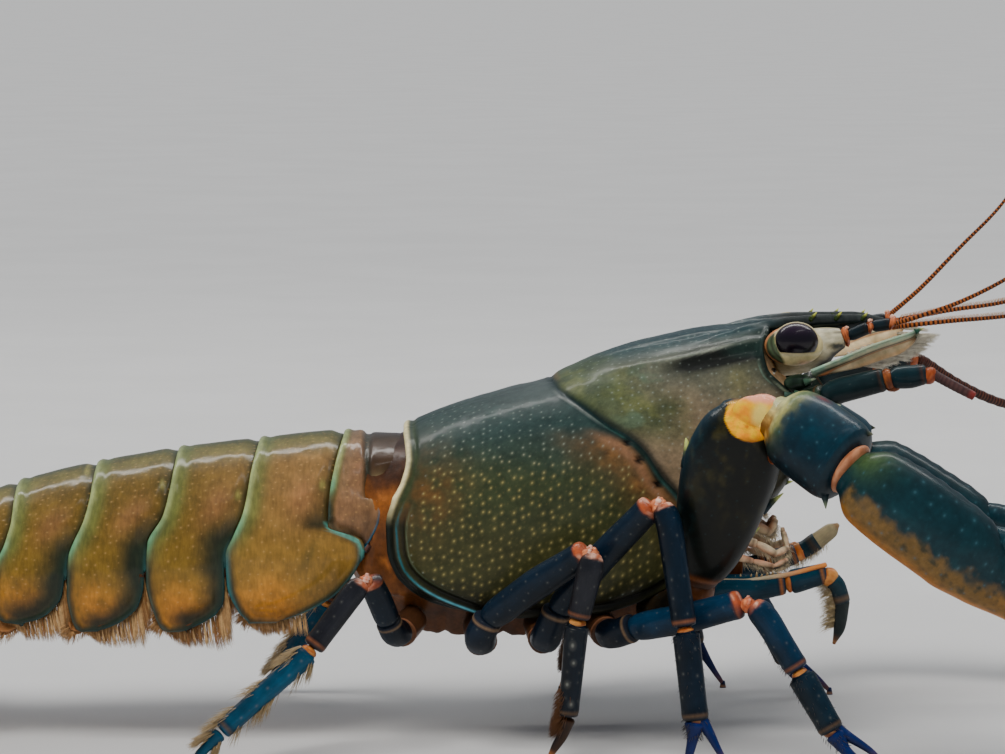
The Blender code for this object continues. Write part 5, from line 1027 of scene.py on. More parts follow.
def build_tergite(name, look):
    """The plate over one segment of the tail, with its side lobes, and fringes of hair below."""
    first = name == "abdomen_1"
    front, rear = SEGMENT_EDGES[name]
    outline, form = TAIL_OUTLINE, TAIL_FORM
    if first:
        front, rear = A1_FRONT, A1_REAR
        outline = (TAIL_TOP, [(-10, 20.2), (0, 20.2)], TAIL_HALF_WIDTH)
        form = {**TAIL_FORM, "wide_at": 0.12, "upper_share": 0.86, "tuck": 30.0}
    around, along, ahead = 84, 30, 5
    share = np.linspace(0, 1, around + 1)
    start = edge_place(rear, share, form, outline)
    end = edge_place(front, share, form, outline)
    t = np.concatenate([np.linspace(0, 1, along + 1), 1 + 0.07 * np.arange(1, ahead + 1)])[:, None]
    reach = np.where(t <= 1, (end - start) * t, (end - start) + (t - 1) * 5.5 * (1 - ramp(0.5, 0.7, share)))
    x = start + reach
    half, height = body_point(x, np.broadcast_to(share, x.shape), form, outline)
    rows = np.stack([x, -half, height], -1)
    deep = mirror_values(np.broadcast_to(np.maximum(t - 1, 0), x.shape)).ravel()
    shares = mirror_values(np.broadcast_to(share, x.shape)).ravel()
    points = mirror_sheet(rows).reshape(-1, 3)
    wide = 2 * around + 1
    quads = grid_quads(len(t), wide)
    folded = on_right(points)
    rear_line, front_line = body_line(rear, form, outline), body_line(front, form, outline)
    behind, before = line_distance(folded, rear_line[::2]), line_distance(folded, front_line[::2])
    low_line = np.stack([rear_line[-1], front_line[-1]])
    margin = np.minimum(np.minimum(behind, line_distance(folded, low_line)),
                        np.where(shares > 0.55, before, 9))
    top = 1 - ramp(0.5, 0.66, shares)
    lobe = ramp(0.56, 0.72, shares)
    lift = -(0.38 * (1 - ramp(0, 1.3, before)) + 9 * deep) * top * (0.25 if first else 1.0)
    lift += 0.12 * near(behind, 0.25, 0.3) - 0.08 * near(behind, 0.9, 0.35) * top
    lift += 0.45 * lobe * ramp(0, 2.6, margin)
    lift -= 0.3 * near(shares, 0.6, 0.06) * ramp(2.5, 0.4, before)
    lift += 0.12 * near(margin, 0.22, 0.22) * lobe - 0.1 * near(margin, 0.75, 0.3) * lobe
    if first:
        crease = np.abs(folded[:, 0] + 3.3 + 0.05 * (folded[:, 2] - 26)) + 3 * (folded[:, 2] < 25.5)
        lift -= 0.5 * near(crease, 0, 0.35)
        facet = ramp(-3.5, -3.2, folded[:, 0]) * ramp(25.2, 25.8, folded[:, 2])
        lift += 0.35 * facet * near(folded[:, 2], 28.9, 1.2) - 0.25 * facet
        lift -= 0.7 * ramp(1.2, 0.2, behind) * ramp(23.6, 22.8, folded[:, 2])
    else:
        crease = np.full(len(points), 9.0)
        facet = np.zeros(len(points))
        lift += 0.22 * near(np.hypot((before - 1.7) / 0.9, (shares - 0.47) / 0.035), 0, 1.0)
    lift += 0.05 * rough_grain(points, 2.4, 11) + 0.015 * grain(points, 0.7, 12)
    normal = corner_normals(points, quads)
    middle = np.array([points[:, 0].mean(), 0, 22.0])
    if (normal * (points - middle)).sum() < 0:
        normal = -normal
    points = points + normal * lift[:, None]
    closed, faces, source, depth = thicken(points, quads, TERGITE_THICK, middle)
    z, p = folded[:, 2], folded
    blot, fleck = rough_grain(p, 2.6, 31), rough_grain(p, 0.9, 37)
    aft = ramp(-9, -24, p[:, 0])[:, None]
    ground = mottled((148, 112, 48), (138, 104, 58), 18, 26, z + blot) * (1 - aft) + mix(rgb(124, 96, 34),
            rgb(104, 82, 32), ramp(18, 26, z + blot)) * aft
    ground = layered(ground, (
        ((104, 96, 46), ramp(0.3, 0.12, shares)),
        ((70, 74, 32), ramp(0.12, 0.02, shares)),
        ((150, 100, 68), np.clip(near(shares, 0.48, 0.09) * near(before, 2.6, 1.4) * 1.1, 0, 1) * 0.45)))
    warm = lobe * near(behind, 2.6, 3.2) * ramp(18.5, 13.0, z)
    ground = mix(ground, rgb(206, 128, 34), np.clip(warm * (1.0 + 0.6 * fleck), 0, 1) * 0.75)
    low = ramp(0.46, 0.62, shares)
    shade = (1 - ramp(0.7, 3.6, before + 0.7 * blot)) * low if not first else np.zeros(len(p))
    if name == "abdomen_2":
        shade = shade * ramp(21.8, 22.8, z) + (1 - ramp(0.2, 1.1, margin)) * ramp(19, 16, z) * 0.9
    # Painted shade: dark green along the front-lower edge of each lobe, under the rim of the plate before it,
    # and darker olive on the front strip of the top, which slides under that rim.
    ground = layered(ground, (
        ((20, 37, 28), np.clip(shade, 0, 1) * 0.95),
        ((40, 48, 28), (1 - ramp(0.0, 0.7, before)) * top * (0.0 if first else 0.75))))
    hem = ramp(0.75, 0.2, margin) * lobe
    ground = mix(ground, rgb(14, 40, 32), hem * 0.85)
    edge = np.exp(-(margin / 0.13) ** 4) * lobe
    ground = mix(ground, rgb(44, 128, 136), edge * (0.45 if name == "abdomen_2" else 0.15))
    rim = np.exp(-(behind / 0.36) ** 2) * (1 - ramp(0.56, 0.68, shares))
    pale = mottled((162, 176, 116), (98, 172, 136), 0.46, 0.62, shares)
    ground = mix(ground, rgb(98, 112, 58), near(behind, 0.7, 0.9) * (1 - lobe) * 0.7)
    ground = mix(ground, pale, rim * 0.9)
    if name == "abdomen_2":
        sunny = near(np.hypot((p[:, 0] + 12.9) / 1.9, (z - 15.2) / 2.3), 0, 1.0)
        ground = mix(ground, rgb(216, 138, 38), np.clip(sunny * (1.0 + 0.5 * fleck), 0, 1) * 0.6)
        brink = near(before, 0.1, 0.12) * ramp(19.0, 20.0, z) * (1 - ramp(22.6, 23.2, z)) * ramp(-9.2, -8.2,
                p[:, 0])
        ground = mix(ground, rgb(84, 172, 160), brink * 0.8)
        # Painted shade: a dark line down the crease behind the front lobe of the second plate.
        valley_shade = near((p[:, 0] + 8.6) * 0.8 - (z - 21.0) * 0.4, 0, 0.4) * near(z, 19.8, 2.0)
        ground = mix(ground, rgb(58, 60, 30), valley_shade * 0.65)
    if not first:
        hook = np.hypot((before - 0.7) / 0.42,
                        (z - (26.6 if name == "abdomen_2" else 24.6) + 0.12 * (p[:, 0] + 7)) / 0.75)
        ground = layered(ground, (
            ((34, 44, 30), near(hook, 0, 1.4) * 0.6),
            ((176, 166, 88), near(hook, 0, 0.55) * 0.75)))
    if first:
        ground = layered(ground, (
            ((96, 78, 44), near(behind, 0, 0.5) * ramp(23.5, 22.5, z) * 0.9),
            ((132, 96, 70), ramp(0.3, 0.8, behind) * (1 - facet) * 0.8),
            ((50, 32, 20), facet * 0.92),
            ((214, 190, 140), near(np.hypot(p[:, 0] + 2.2, (z - 26.3) * 0.8), 0, 0.9) * 0.7),
            ((18, 40, 34), near(crease, 0, 0.32) * 0.9),
            ((44, 30, 20), ramp(24, 20.5, z) * 0.7),
            ((30, 110, 140), np.exp(-(before / 0.18) ** 4) * ramp(26.4, 25.4, z) * 0.9)))
    ground = ground * (1 + 0.16 * blot + 0.2 * fleck)[:, None]
    tint = mix(ground[source], rgb(90, 48, 22), ramp(0.55, 1.0, depth) * 0.9)
    dots = 0.36 * ramp(0.8, 1.6, margin) * (1 - np.clip(shade, 0, 1)) * (1 - facet)
    marks = np.stack([dots, np.full(len(p), 0.75) - 0.4 * facet, 0.45 + 0.5 * facet], -1)[source]
    arc = np.where(points[:, 1] > 0, 1, -1) * shares * 30
    flat = np.stack([points[:, 0], arc, np.zeros(len(points))], -1)[source]
    Piece().add(closed, faces, tint, marks * (1 - ramp(0.4, 0.7, depth))[:, None],
                flat).make(f"tergite_{name[-1]}", look, "tail", name)
    if first:
        return None
    return fringe_places(points, shares, normal, before, start.min(), name)


def fringe_places(points, shares, normal, before, low_x, name):
    """Where hairs grow along the lower margin of the side lobes."""
    rng = np.random.default_rng(40 + int(name[-1]))
    front = (before < 0.5) & (points[:, 2] < 17.2) & (name != "abdomen_2")
    edge = np.nonzero(((shares > 0.94) | front) & (points[:, 0] > low_x + 1.3))[0]
    pick = rng.choice(edge, LOBE_HAIRS)
    away = points[pick]
    inward = np.sign(away[:, 1])[:, None] * np.array([0, -1.0, 0])
    roots = away + inward * 0.25 - normal[pick] * 0.38 + (0, 0, 0.25)
    lean = 0.1 + 0.07 * grain(away, 2.4, 43)
    ways = np.stack([lean + rng.normal(0, 0.04, LOBE_HAIRS),
                     inward[:, 1] * (0.1 + 0.1 * grain(away, 1.6, 44)), np.full(LOBE_HAIRS, -1.0)], -1)
    reach = np.clip(away[:, 2] - points[edge, 2].min() + (1.7 if name == "abdomen_2" else 2.0), 0.8, 4.6)
    lengths = (reach * rng.uniform(0.78, 1.04, LOBE_HAIRS) * (1 + 0.1 * grain(away, 0.7, 45)) * ramp(20.5,
            17.8, away[:, 2]) * (0.3 + 0.7 * ramp(low_x + 0.8, low_x + 3.4, away[:, 0])))
    spots = np.stack([(away[:, 0] + 50) / 60, 0.5 + shares[pick] * np.sign(away[:, 1]) * 0.49], -1)
    keep = lengths > 0.4
    return roots[keep], ways[keep], lengths[keep], spots[keep]


def build_tail(look, hair):
    """The plates of the tail, with the fringes under their side lobes."""
    sets = [s for s in (build_tergite(name, look) for name in SEGMENT_EDGES) if s is not None]
    for number, (roots, ways, lengths, spots) in enumerate(sets, 2):
        shade = mottled((158, 108, 58), (226, 182, 124), -1, 1,
                        grain(roots, 1.5, 4) + 1.6 * grain(roots, 0.12, 6))
        bristles(f"side_lobe_fringe_{number}", hair, "tail", roots, ways, lengths, 0.03, shade, spots,
                 (0.05, 0, 0.0))


def ring_loft(piece, rings, colour, marks=(0, 0.5, 0.3), bulges=(0.5, 0.5), levels=5):
    """A closed body through rings, its ends shut by rings that shrink to a bulging middle."""
    rings = np.asarray(rings, float)
    sets = []
    for end, bulge in ((0, bulges[0]), (-1, bulges[1])):
        middle = rings[end].mean(0)
        out = rings[end].mean(0) - rings[1 if end == 0 else -2].mean(0)
        out /= max(np.linalg.norm(out), 1e-9)
        caps = [middle + (rings[end] - middle) * (1 - k / levels)
                + out * bulge * math.sin(math.pi / 2 * k / levels) for k in range(1, levels)]
        sets.append((caps, middle + out * bulge))
    every = np.array(sets[0][0][::-1] + list(rings) + sets[1][0])
    sides = every.shape[1]
    points = np.concatenate([every.reshape(-1, 3), [sets[0][1], sets[1][1]]])
    fans = pole_fans(sides, len(points) - 2, len(points) - 1)
    piece.add(points, [grid_quads(len(every), sides, True), fans], colour(points), marks)
    return points


def build_flesh(look):
    """The soft body under the plates, seen between them and from below."""
    piece = Piece()
    xs = np.linspace(-48.6, 35.0, 280)
    count, under = 40, 16
    share = np.linspace(0, 1, count)
    rings = []
    for x in xs:
        w = float(ramp(-6.0, -2.5, x))
        half_t, high_t = body_point(np.full(count, x), share * 0.72, TAIL_FORM, TAIL_OUTLINE, -1.25)
        half_b, high_b = body_point(np.full(count, x), share * 0.93, BODY_FORM, BODY_OUTLINE, -1.0)
        half, high = half_t + (half_b - half_t) * w, high_t + (high_b - high_t) * w
        q = np.linspace(0, 1, under + 1)[1:-1]
        floor_t = high[-1] - 1.1 * np.sin(math.pi / 2 * q) - 0.45 * np.sin(x * 0.74) ** 8
        low = float(smooth(STERNUM_BOTTOM, x))
        wide = float(smooth(STERNUM_HALF_WIDTH, x))
        side_b = half[-1] + (0 - half[-1]) * q
        floor_b = low + (high[-1] - low) * (1 - ramp(0.0, 0.55, q)) + 0.4 * np.sin(x * 1.05) ** 6
        shrink = 1 - (1 - min(wide / max(half[-1], 1e-6), 1.0)) * ramp(0.1, 0.35, q)
        side = side_b * (w * shrink + (1 - w))
        floor = floor_t * (1 - w) + floor_b * w
        right = np.stack([np.full(count + under - 1, x), -np.concatenate([half, side]),
                          np.concatenate([high, floor])], -1)
        left = (right * (1, -1, 1))[::-1]
        rings.append(np.concatenate([right[1:], [[x, 0, floor[-1] - 0.05]], left[:-1], [[x, 0, high[0]]]]))
    rings = np.array(rings)
    wrinkle = 0.16 * rough_grain(rings * (1.0, 0.6, 0.6), 1.5, 51) + 0.06 * rough_grain(rings, 0.5, 52)
    centre = rings.mean(1, keepdims=True)
    rings = centre + (rings - centre) * (1 + wrinkle / 10)[..., None]

    def colour(p):
        tone = mottled((142, 82, 34), (96, 54, 24), -0.6, 0.6, rough_grain(p, 2.2, 61))
        tone = layered(tone, (
            ((186, 112, 52), ramp(0.1, 0.7, rough_grain(p, 1.1, 67)) * 0.6),
            ((46, 30, 20), ramp(17.5, 12.5, p[:, 2]) * ramp(-4, 2, p[:, 0]) * 0.75),
            ((46, 30, 22), ramp(25, 27.5, p[:, 2]) * ramp(-5, -3, p[:, 0]) * 0.9)))
        return mix(tone, rgb(150, 100, 64), ramp(-4, -9, p[:, 0]) * 0.5)

    ring_loft(piece, rings, colour, (0, 0.8, 0.5))
    share = np.linspace(0, 1, 36)
    front = edge_place(HEAD_FRONT, share, BODY_FORM, BODY_OUTLINE, -0.8) - 0.25
    rings = []
    for k in range(24):
        x = front - (1 - k / 23) * 6.0
        half, high = body_point(x, share, BODY_FORM, BODY_OUTLINE, -0.85)
        right = np.stack([x, -half, high], -1)
        low = right[-1]
        q = np.linspace(0, 1, 9)[1:-1, None]
        across = low + (low * (1, -1, 1) - low) * q
        rings.append(np.concatenate([right, across, (right * (1, -1, 1))[::-1][:-1]]))

    def face(p):
        tone = mottled((236, 196, 150), (196, 156, 110), -0.5, 0.5, rough_grain(p, 1.4, 71))
        tone = mix(tone, rgb(222, 156, 104), ramp(0.2, 0.7, rough_grain(p, 1.0, 73)) * 0.6)
        return mix(tone, rgb(52, 56, 44), ramp(34.0, 29.0, p[:, 2]) * 0.8)

    ring_loft(piece, rings, face, (0, 0.6, 0.6), bulges=(0.2, 1.1))
    return piece.make("soft_body", look, "flesh", "sternum")


def leaf(length, widths, stations, columns):
    """Rows of a flat leaf that points back from its root, and the share across it."""
    s = np.linspace(0, 1, stations)[:, None]
    q = np.linspace(-1, 1, columns)[None]
    half = smooth(widths, s * length)
    return -s * length + 0 * q, q * half, s + 0 * q, q + 0 * s


def turned(points, across, drop, spread, roll):
    """Where a tail plate lies: its root beside the middle line, turned out, rolled and pitched."""
    a, b, c = math.radians(roll), math.radians(spread), math.radians(-FAN_PITCH)
    x, y, z = points[..., 0], points[..., 1], points[..., 2]
    y, z = y * math.cos(a) - z * math.sin(a), y * math.sin(a) + z * math.cos(a)
    x, y = x * math.cos(b) - y * math.sin(b), x * math.sin(b) + y * math.cos(b)
    y, z = y + across, z - drop
    x, z = x * math.cos(c) + z * math.sin(c), -x * math.sin(c) + z * math.cos(c)
    return np.stack([x + FAN_ROOT[0], y, z + FAN_ROOT[1]], -1)


def build_fan(look, hair):
    """The tail fan: telson and uropods, each with spines or hairs along its edge."""
    hairs = []
    plates = [("telson", "telson", TELSON_LENGTH, TELSON_HALF_WIDTH, (0, 0, 0, 0))]
    for side, label in SIDES:
        plates.append((f"uropod_inner_{label}", "inner", ENDOPOD_LENGTH, ENDOPOD_HALF_WIDTH,
                       (side * 2.6, FAN_STEP, -side * 21, -side * 6)))
        plates.append((f"uropod_outer_{label}", "outer", EXOPOD_LENGTH, EXOPOD_HALF_WIDTH,
                       (side * 4.2, 2.2 * FAN_STEP, -side * 46, -side * 12)))
    for number, (name, kind, length, widths, lie) in enumerate(plates):
        rows, columns = 72, 44
        x, y, s, q = leaf(length, widths, rows, columns)
        z = 0.42 * near(q, 0, 0.14) * (1 - ramp(0.75, 1, s)) + 0.16 * (1 - q * q)
        z += 0.12 * (near(q, 0.5, 0.1) + near(q, -0.5, 0.1)) * ramp(0.1, 0.3, s) * (1 - ramp(0.6, 0.9, s))
        z += 0.16 * near(np.abs(q), 0.96, 0.08) * (1 - ramp(0.55, 0.75, s))
        seam = 0.58 + 0.03 * np.cos(q * 5)
        if kind != "inner":
            z -= 0.22 * near(s, seam, 0.012)
        z += 0.03 * np.sin(q * 60) * ramp(0.6, 0.75, s)
        local = np.stack([x, y, z], -1)
        points = turned(local, *lie).reshape(-1, 3)
        quads = grid_quads(rows, columns)
        up = turned(local + (0, 0, 1.0), *lie).reshape(-1, 3) - points
        centre = points.mean(0) - up.mean(0) * 40
        closed, faces, source, _ = thicken(points, quads, FAN_THICK, centre)
        s, q = s.ravel(), q.ravel()
        blot, fleck = rough_grain(points, 1.8, 80 + number), rough_grain(points, 0.7, 90 + number)
        tone = mottled((136, 104, 50), (96, 86, 46), -0.5, 0.6, blot)
        tone = layered(tone, (
            ((190, 128, 52), ramp(0.62, 0.9, s) * 0.7),
            ((70, 96, 74), near(np.abs(q), 1.0, 0.1) * 0.8),
            ((60, 62, 36), near(q, 0, 0.08) * 0.5),
            ((44, 60, 46), near(s, seam.ravel(), 0.02) * 0.8 * (kind != "inner"))))
        tone = tone * (1 + 0.15 * blot + 0.18 * fleck)[:, None]
        marks = np.stack([0.5 * (1 - ramp(0.55, 0.7, s)), np.full(len(s), 0.7), np.full(len(s), 0.4)], -1)
        flat = np.stack([s * length, q * 4, 0 * s], -1)
        piece = Piece().add(closed, faces, tone[source], marks[source], flat[source])
        if kind == "outer":
            for k in np.linspace(-0.9, 0.9, 15):
                at = int(np.argmin((s - 0.585) ** 2 + (q - k) ** 2 * 0.05))
                back = turned(local - (1.0, 0, 0), *lie).reshape(-1, 3)[at] - points[at]
                spine(piece, points[at] + up[at] * 0.02, back + up[at] * 0.35, 0.5, 0.12, rgb(90, 84, 46),
                      rgb(196, 170, 96))
        piece.make(f"{name}_plate", look, "tail", name)
        rng = np.random.default_rng(60 + number)
        edge = np.nonzero(((s > 0.6) & (np.abs(q) > 0.93)) | (s > 0.965))[0]
        pick = rng.choice(edge, FAN_HAIRS)
        back = turned(local - np.stack([np.ones_like(x), -0.9 * y / np.maximum(np.abs(y).max(), 1), 0 * x],
                                       -1), *lie).reshape(-1, 3)[pick] - points[pick]
        ways = back + rng.normal(0, 0.1, (FAN_HAIRS, 3))
        roots = points[pick] - up[pick] * 0.25
        spots = np.stack([0.1 + 0.8 * s[pick], (number + 0.1 + 0.4 * (q[pick] + 1)) / 5], -1)
        hairs.append((roots, ways, rng.uniform(1.0, 2.2, FAN_HAIRS), spots))
    roots, ways, lengths, spots = joined(hairs)
    shade = mottled((150, 112, 66), (196, 164, 112), -1, 1, grain(roots, 1.0, 9))
    bristles("fan_fringe", hair, "tail", roots, ways, lengths, 0.04, shade, spots, (-0.05, 0, -0.08))


def build_swimmerets(look, hair):
    """The pairs of small paddles under the tail."""
    piece, hairs = Piece(), []
    lean = math.radians(SWIMMERET_LEAN)
    for number, x in enumerate(SWIMMERET_SEGMENTS.values()):
        half, height = (float(v)
                        for v in body_point(np.array(x), np.array(BELLY_SHARE), TAIL_FORM, TAIL_OUTLINE))
        for side in (-1, 1):
            for vane, splay in enumerate((-9.0, 12.0)):
                root = np.array((x, side * (half - 3.2), height + 0.6))
                way = np.array((-math.sin(lean), side * math.sin(math.radians(splay)), -math.cos(lean)))
                way /= np.linalg.norm(way)
                wide = np.array((way[2], 0, -way[0]))
                thick = np.cross(way, wide)
                length = SWIMMERET_LENGTH - vane * 0.8
                rows, columns = 30, 13
                s, q = np.linspace(0, 1, rows)[:, None], np.linspace(-1, 1, columns)[None]
                spread = smooth([(0, 0.3), (0.35, 0.75), (0.7, 1.0), (0.92, 0.72), (1, 0.25)],
                                s) * SWIMMERET_WIDTH / 2
                bow = 0.3 * (1 - q * q) + 0.2 * np.sin(s * 3) + side * vane * 0.9 * s
                points = (root + way * (length * s)[..., None] + wide * (spread * q)[..., None]
                          + thick * bow[..., None]).reshape(-1, 3)
                closed, faces, source, _ = thicken(points, grid_quads(rows, columns), VANE_THICK,
                        points.mean(0) - thick * 30)
                s, q = (s + 0 * q).ravel(), np.tile(np.linspace(-1, 1, columns), rows)
                tone = mottled((120, 74, 38), (150, 100, 58), 0.2, 0.9, s)
                tone = mix(tone, rgb(60, 50, 44), near(q, 0, 0.3) * ramp(0.9, 0.2, s) * 0.6)
                piece.add(closed, faces, tone[source], (0.1, 0.6, 0.4))
                rng = np.random.default_rng(200 + number * 4 + vane + side)
                edge = np.nonzero((np.abs(q) > 0.95) & (s > 0.25) | (s > 0.95))[0]
                pick = rng.choice(edge, VANE_HAIRS)
                ways = wide * q[pick][:, None] * 0.35 + way * 0.9 + rng.normal(0, 0.07, (VANE_HAIRS, 3))
                spots = np.stack([0.1 + 0.8 * s[pick], (number + 0.2 + 0.3 * (q[pick] + 1)) / 4], -1)
                hairs.append((points[pick], ways, rng.uniform(0.6, 1.3, VANE_HAIRS), spots))
    piece.make("swimmerets", look, "flesh")
    roots, ways, lengths, spots = joined(hairs)
    bristles("swimmeret_fringe", hair, "flesh", roots, ways, lengths, 0.035,
             mottled((164, 116, 66), (206, 160, 106), -1, 1, grain(roots, 1.0, 19)), spots, (0, 0, -0.05))


def on_side(point, side):
    """A right-side point, mirrored when side is 1."""
    return (point[0], -side * point[1], *point[2:])


def ball(rows, sides):
    """The points and faces of a ball of radius 1, with its poles on the first axis."""
    tilt = np.radians(180) * np.arange(1, rows) / rows
    turn = circle(sides)
    rings = np.stack([np.repeat(np.cos(tilt)[:, None], sides, 1), np.outer(np.sin(tilt), np.cos(turn)),
                      np.outer(np.sin(tilt), np.sin(turn))], -1).reshape(-1, 3)
    fans = pole_fans(sides, len(rings), len(rings) + 1)[:, [0, 2, 1]]
    return np.concatenate([rings, [[1, 0, 0], [-1, 0, 0]]]), [grid_quads(rows - 1, sides, True), fans]


def swelling(piece, centre, radii, way, tints, seed, wrinkle=0.06, marks=(0, 0.5, 0.8), sides=22, rows=13):
    """A soft wrinkled swelling, such as the skin of a joint, long in the direction of way."""
    way = np.array(way, float)
    way /= np.linalg.norm(way)
    side = np.cross(way, (0.2, 0.9, 0.35))
    side /= np.linalg.norm(side)
    other = np.cross(side, way)
    unit, faces = ball(rows, sides)
    basis = np.stack([way, side, other])
    points = centre + (unit * radii) @ basis
    folds = rough_grain(points, 0.7, seed) + 0.25 * np.sin(unit[:, 0] * 9 + 3 * grain(points, 1.0, seed + 5))
    points = points + (unit / radii) @ basis * (wrinkle * folds * min(radii))[:, None]
    tint = tints(points) if callable(tints) else mix(tints[0], tints[1], ramp(-0.7, 0.7, folds))
    piece.add(points, faces, tint, marks)


def squared(power):
    """The shape of a section between round (2) and square."""
    def shape(t, turn):
        return (np.abs(np.cos(turn)) ** power + np.abs(np.sin(turn)) ** power) ** (-1 / power)
    return shape


TAN = rgb(186, 138, 92)
JOINTED = [(0, 0.8), (0.05, 0.92), (0.14, 0.99), (0.3, 1.0), (0.88, 1.0), (0.96, 1.03), (1.0, 0.97)]


# For each pair of legs: the colours of the hand, the toe and the hairs, how many hairs, and their length.
LEG_PAINT = {2: (rgb(9, 36, 52), rgb(12, 36, 96), rgb(60, 54, 50), 160, 0.5),
             3: (rgb(8, 26, 42), rgb(12, 34, 96), rgb(60, 54, 50), 160, 0.5),
             4: (rgb(8, 22, 36), rgb(60, 36, 20), rgb(96, 62, 34), 800, 1.1),
             5: (rgb(14, 78, 108), rgb(16, 76, 104), rgb(170, 146, 106), 1000, 1.9)}


def leg_colour(length, seed, low, high, ring, knee=0.0, tip=0.0, heel=0.0):
    """Dark below and behind, bluer above, with a thin pale hem at the far end of each part."""
    def colour(t, turn, p):
        # Painted light and shade: the upper side is lighter and bluer where the light falls, the underside
        # and one side darker.
        lit = 0.5 + 0.5 * np.cos(turn)
        tone = mix(low, high, np.clip(0.25 + 0.75 * lit + 0.25 * rough_grain(p, 1.6, seed), 0, 1))
        tone = mix(tone, low * 0.5, near(turn, math.pi / 2, 0.8) * 0.5)
        place = t * length
        tone = mix(tone, ring, near(place, length - 0.2, 0.1) * 0.85)
        tone = mix(tone, rgb(8, 8, 10), near(place, length - 0.4, 0.2) * 0.5)
        if knee:
            hot = ramp(length - 0.8 * knee, length - 0.1 * knee, place + 0.5 * rough_grain(p, 0.7, seed + 7))
            # Painted highlight: pale pink flecks on the orange of the knee; the orange itself shows on the
            # lit side only.
            tone = layered(tone, (
                ((186, 88, 48), hot * np.clip(lit * 1.4, 0, 1) * 0.9),
                ((244, 184, 156), hot * ramp(0.0, 0.5, rough_grain(p, 0.6, seed + 9)) * lit * 0.85)))
        if heel:
            warm = ramp(heel, 0.2 * heel, place + 0.35 * rough_grain(p, 0.6, seed + 8)) * np.clip(lit * 1.5,
                    0, 1)
            # Painted highlight: pale pink flecks on the orange of the heel, which shows on the lit side only.
            tone = layered(tone, (
                ((206, 110, 70), warm * 0.85),
                ((250, 206, 184), warm * ramp(0.0, 0.5, rough_grain(p, 0.5, seed + 4)) * 0.8)))
        if tip:
            tone = mix(tone, rgb(196, 120, 60), ramp(0.7, 1.0, t) * tip)
        return tone * (1 + 0.14 * rough_grain(p, 0.7, seed + 2))[:, None]
    return colour


def reach_of(stations):
    """The length of a route through its stations."""
    return float(np.linalg.norm(np.diff(np.asarray(stations)[:, :3], axis=0), axis=1).sum())


def leg_part(piece, stations, seed, low, high, ring=TAN, knee=0.0, tip=0.0, profile=JOINTED, shape=None,
             caps=(0.6, 0.35), dots=0.3, sides=22, heel=0.0):
    stations = np.asarray(stations, float)
    return limb(piece, stations, leg_colour(reach_of(stations), seed, low, high, ring, knee, tip, heel),
                sides=sides, step=0.24, profile=profile, shape=shape or squared(2.3),
                marks=(dots, 0.6, 0.45), caps=caps)


def between(a, b, share):
    """A station part of the way from a to b."""
    return tuple(np.asarray(a, float) + (np.asarray(b, float) - np.asarray(a, float)) * share)


def joint_between(a, b, share):
    """The place of a station part of the way from a to b, without its sizes."""
    return np.array(between(a[:3], b[:3], share))


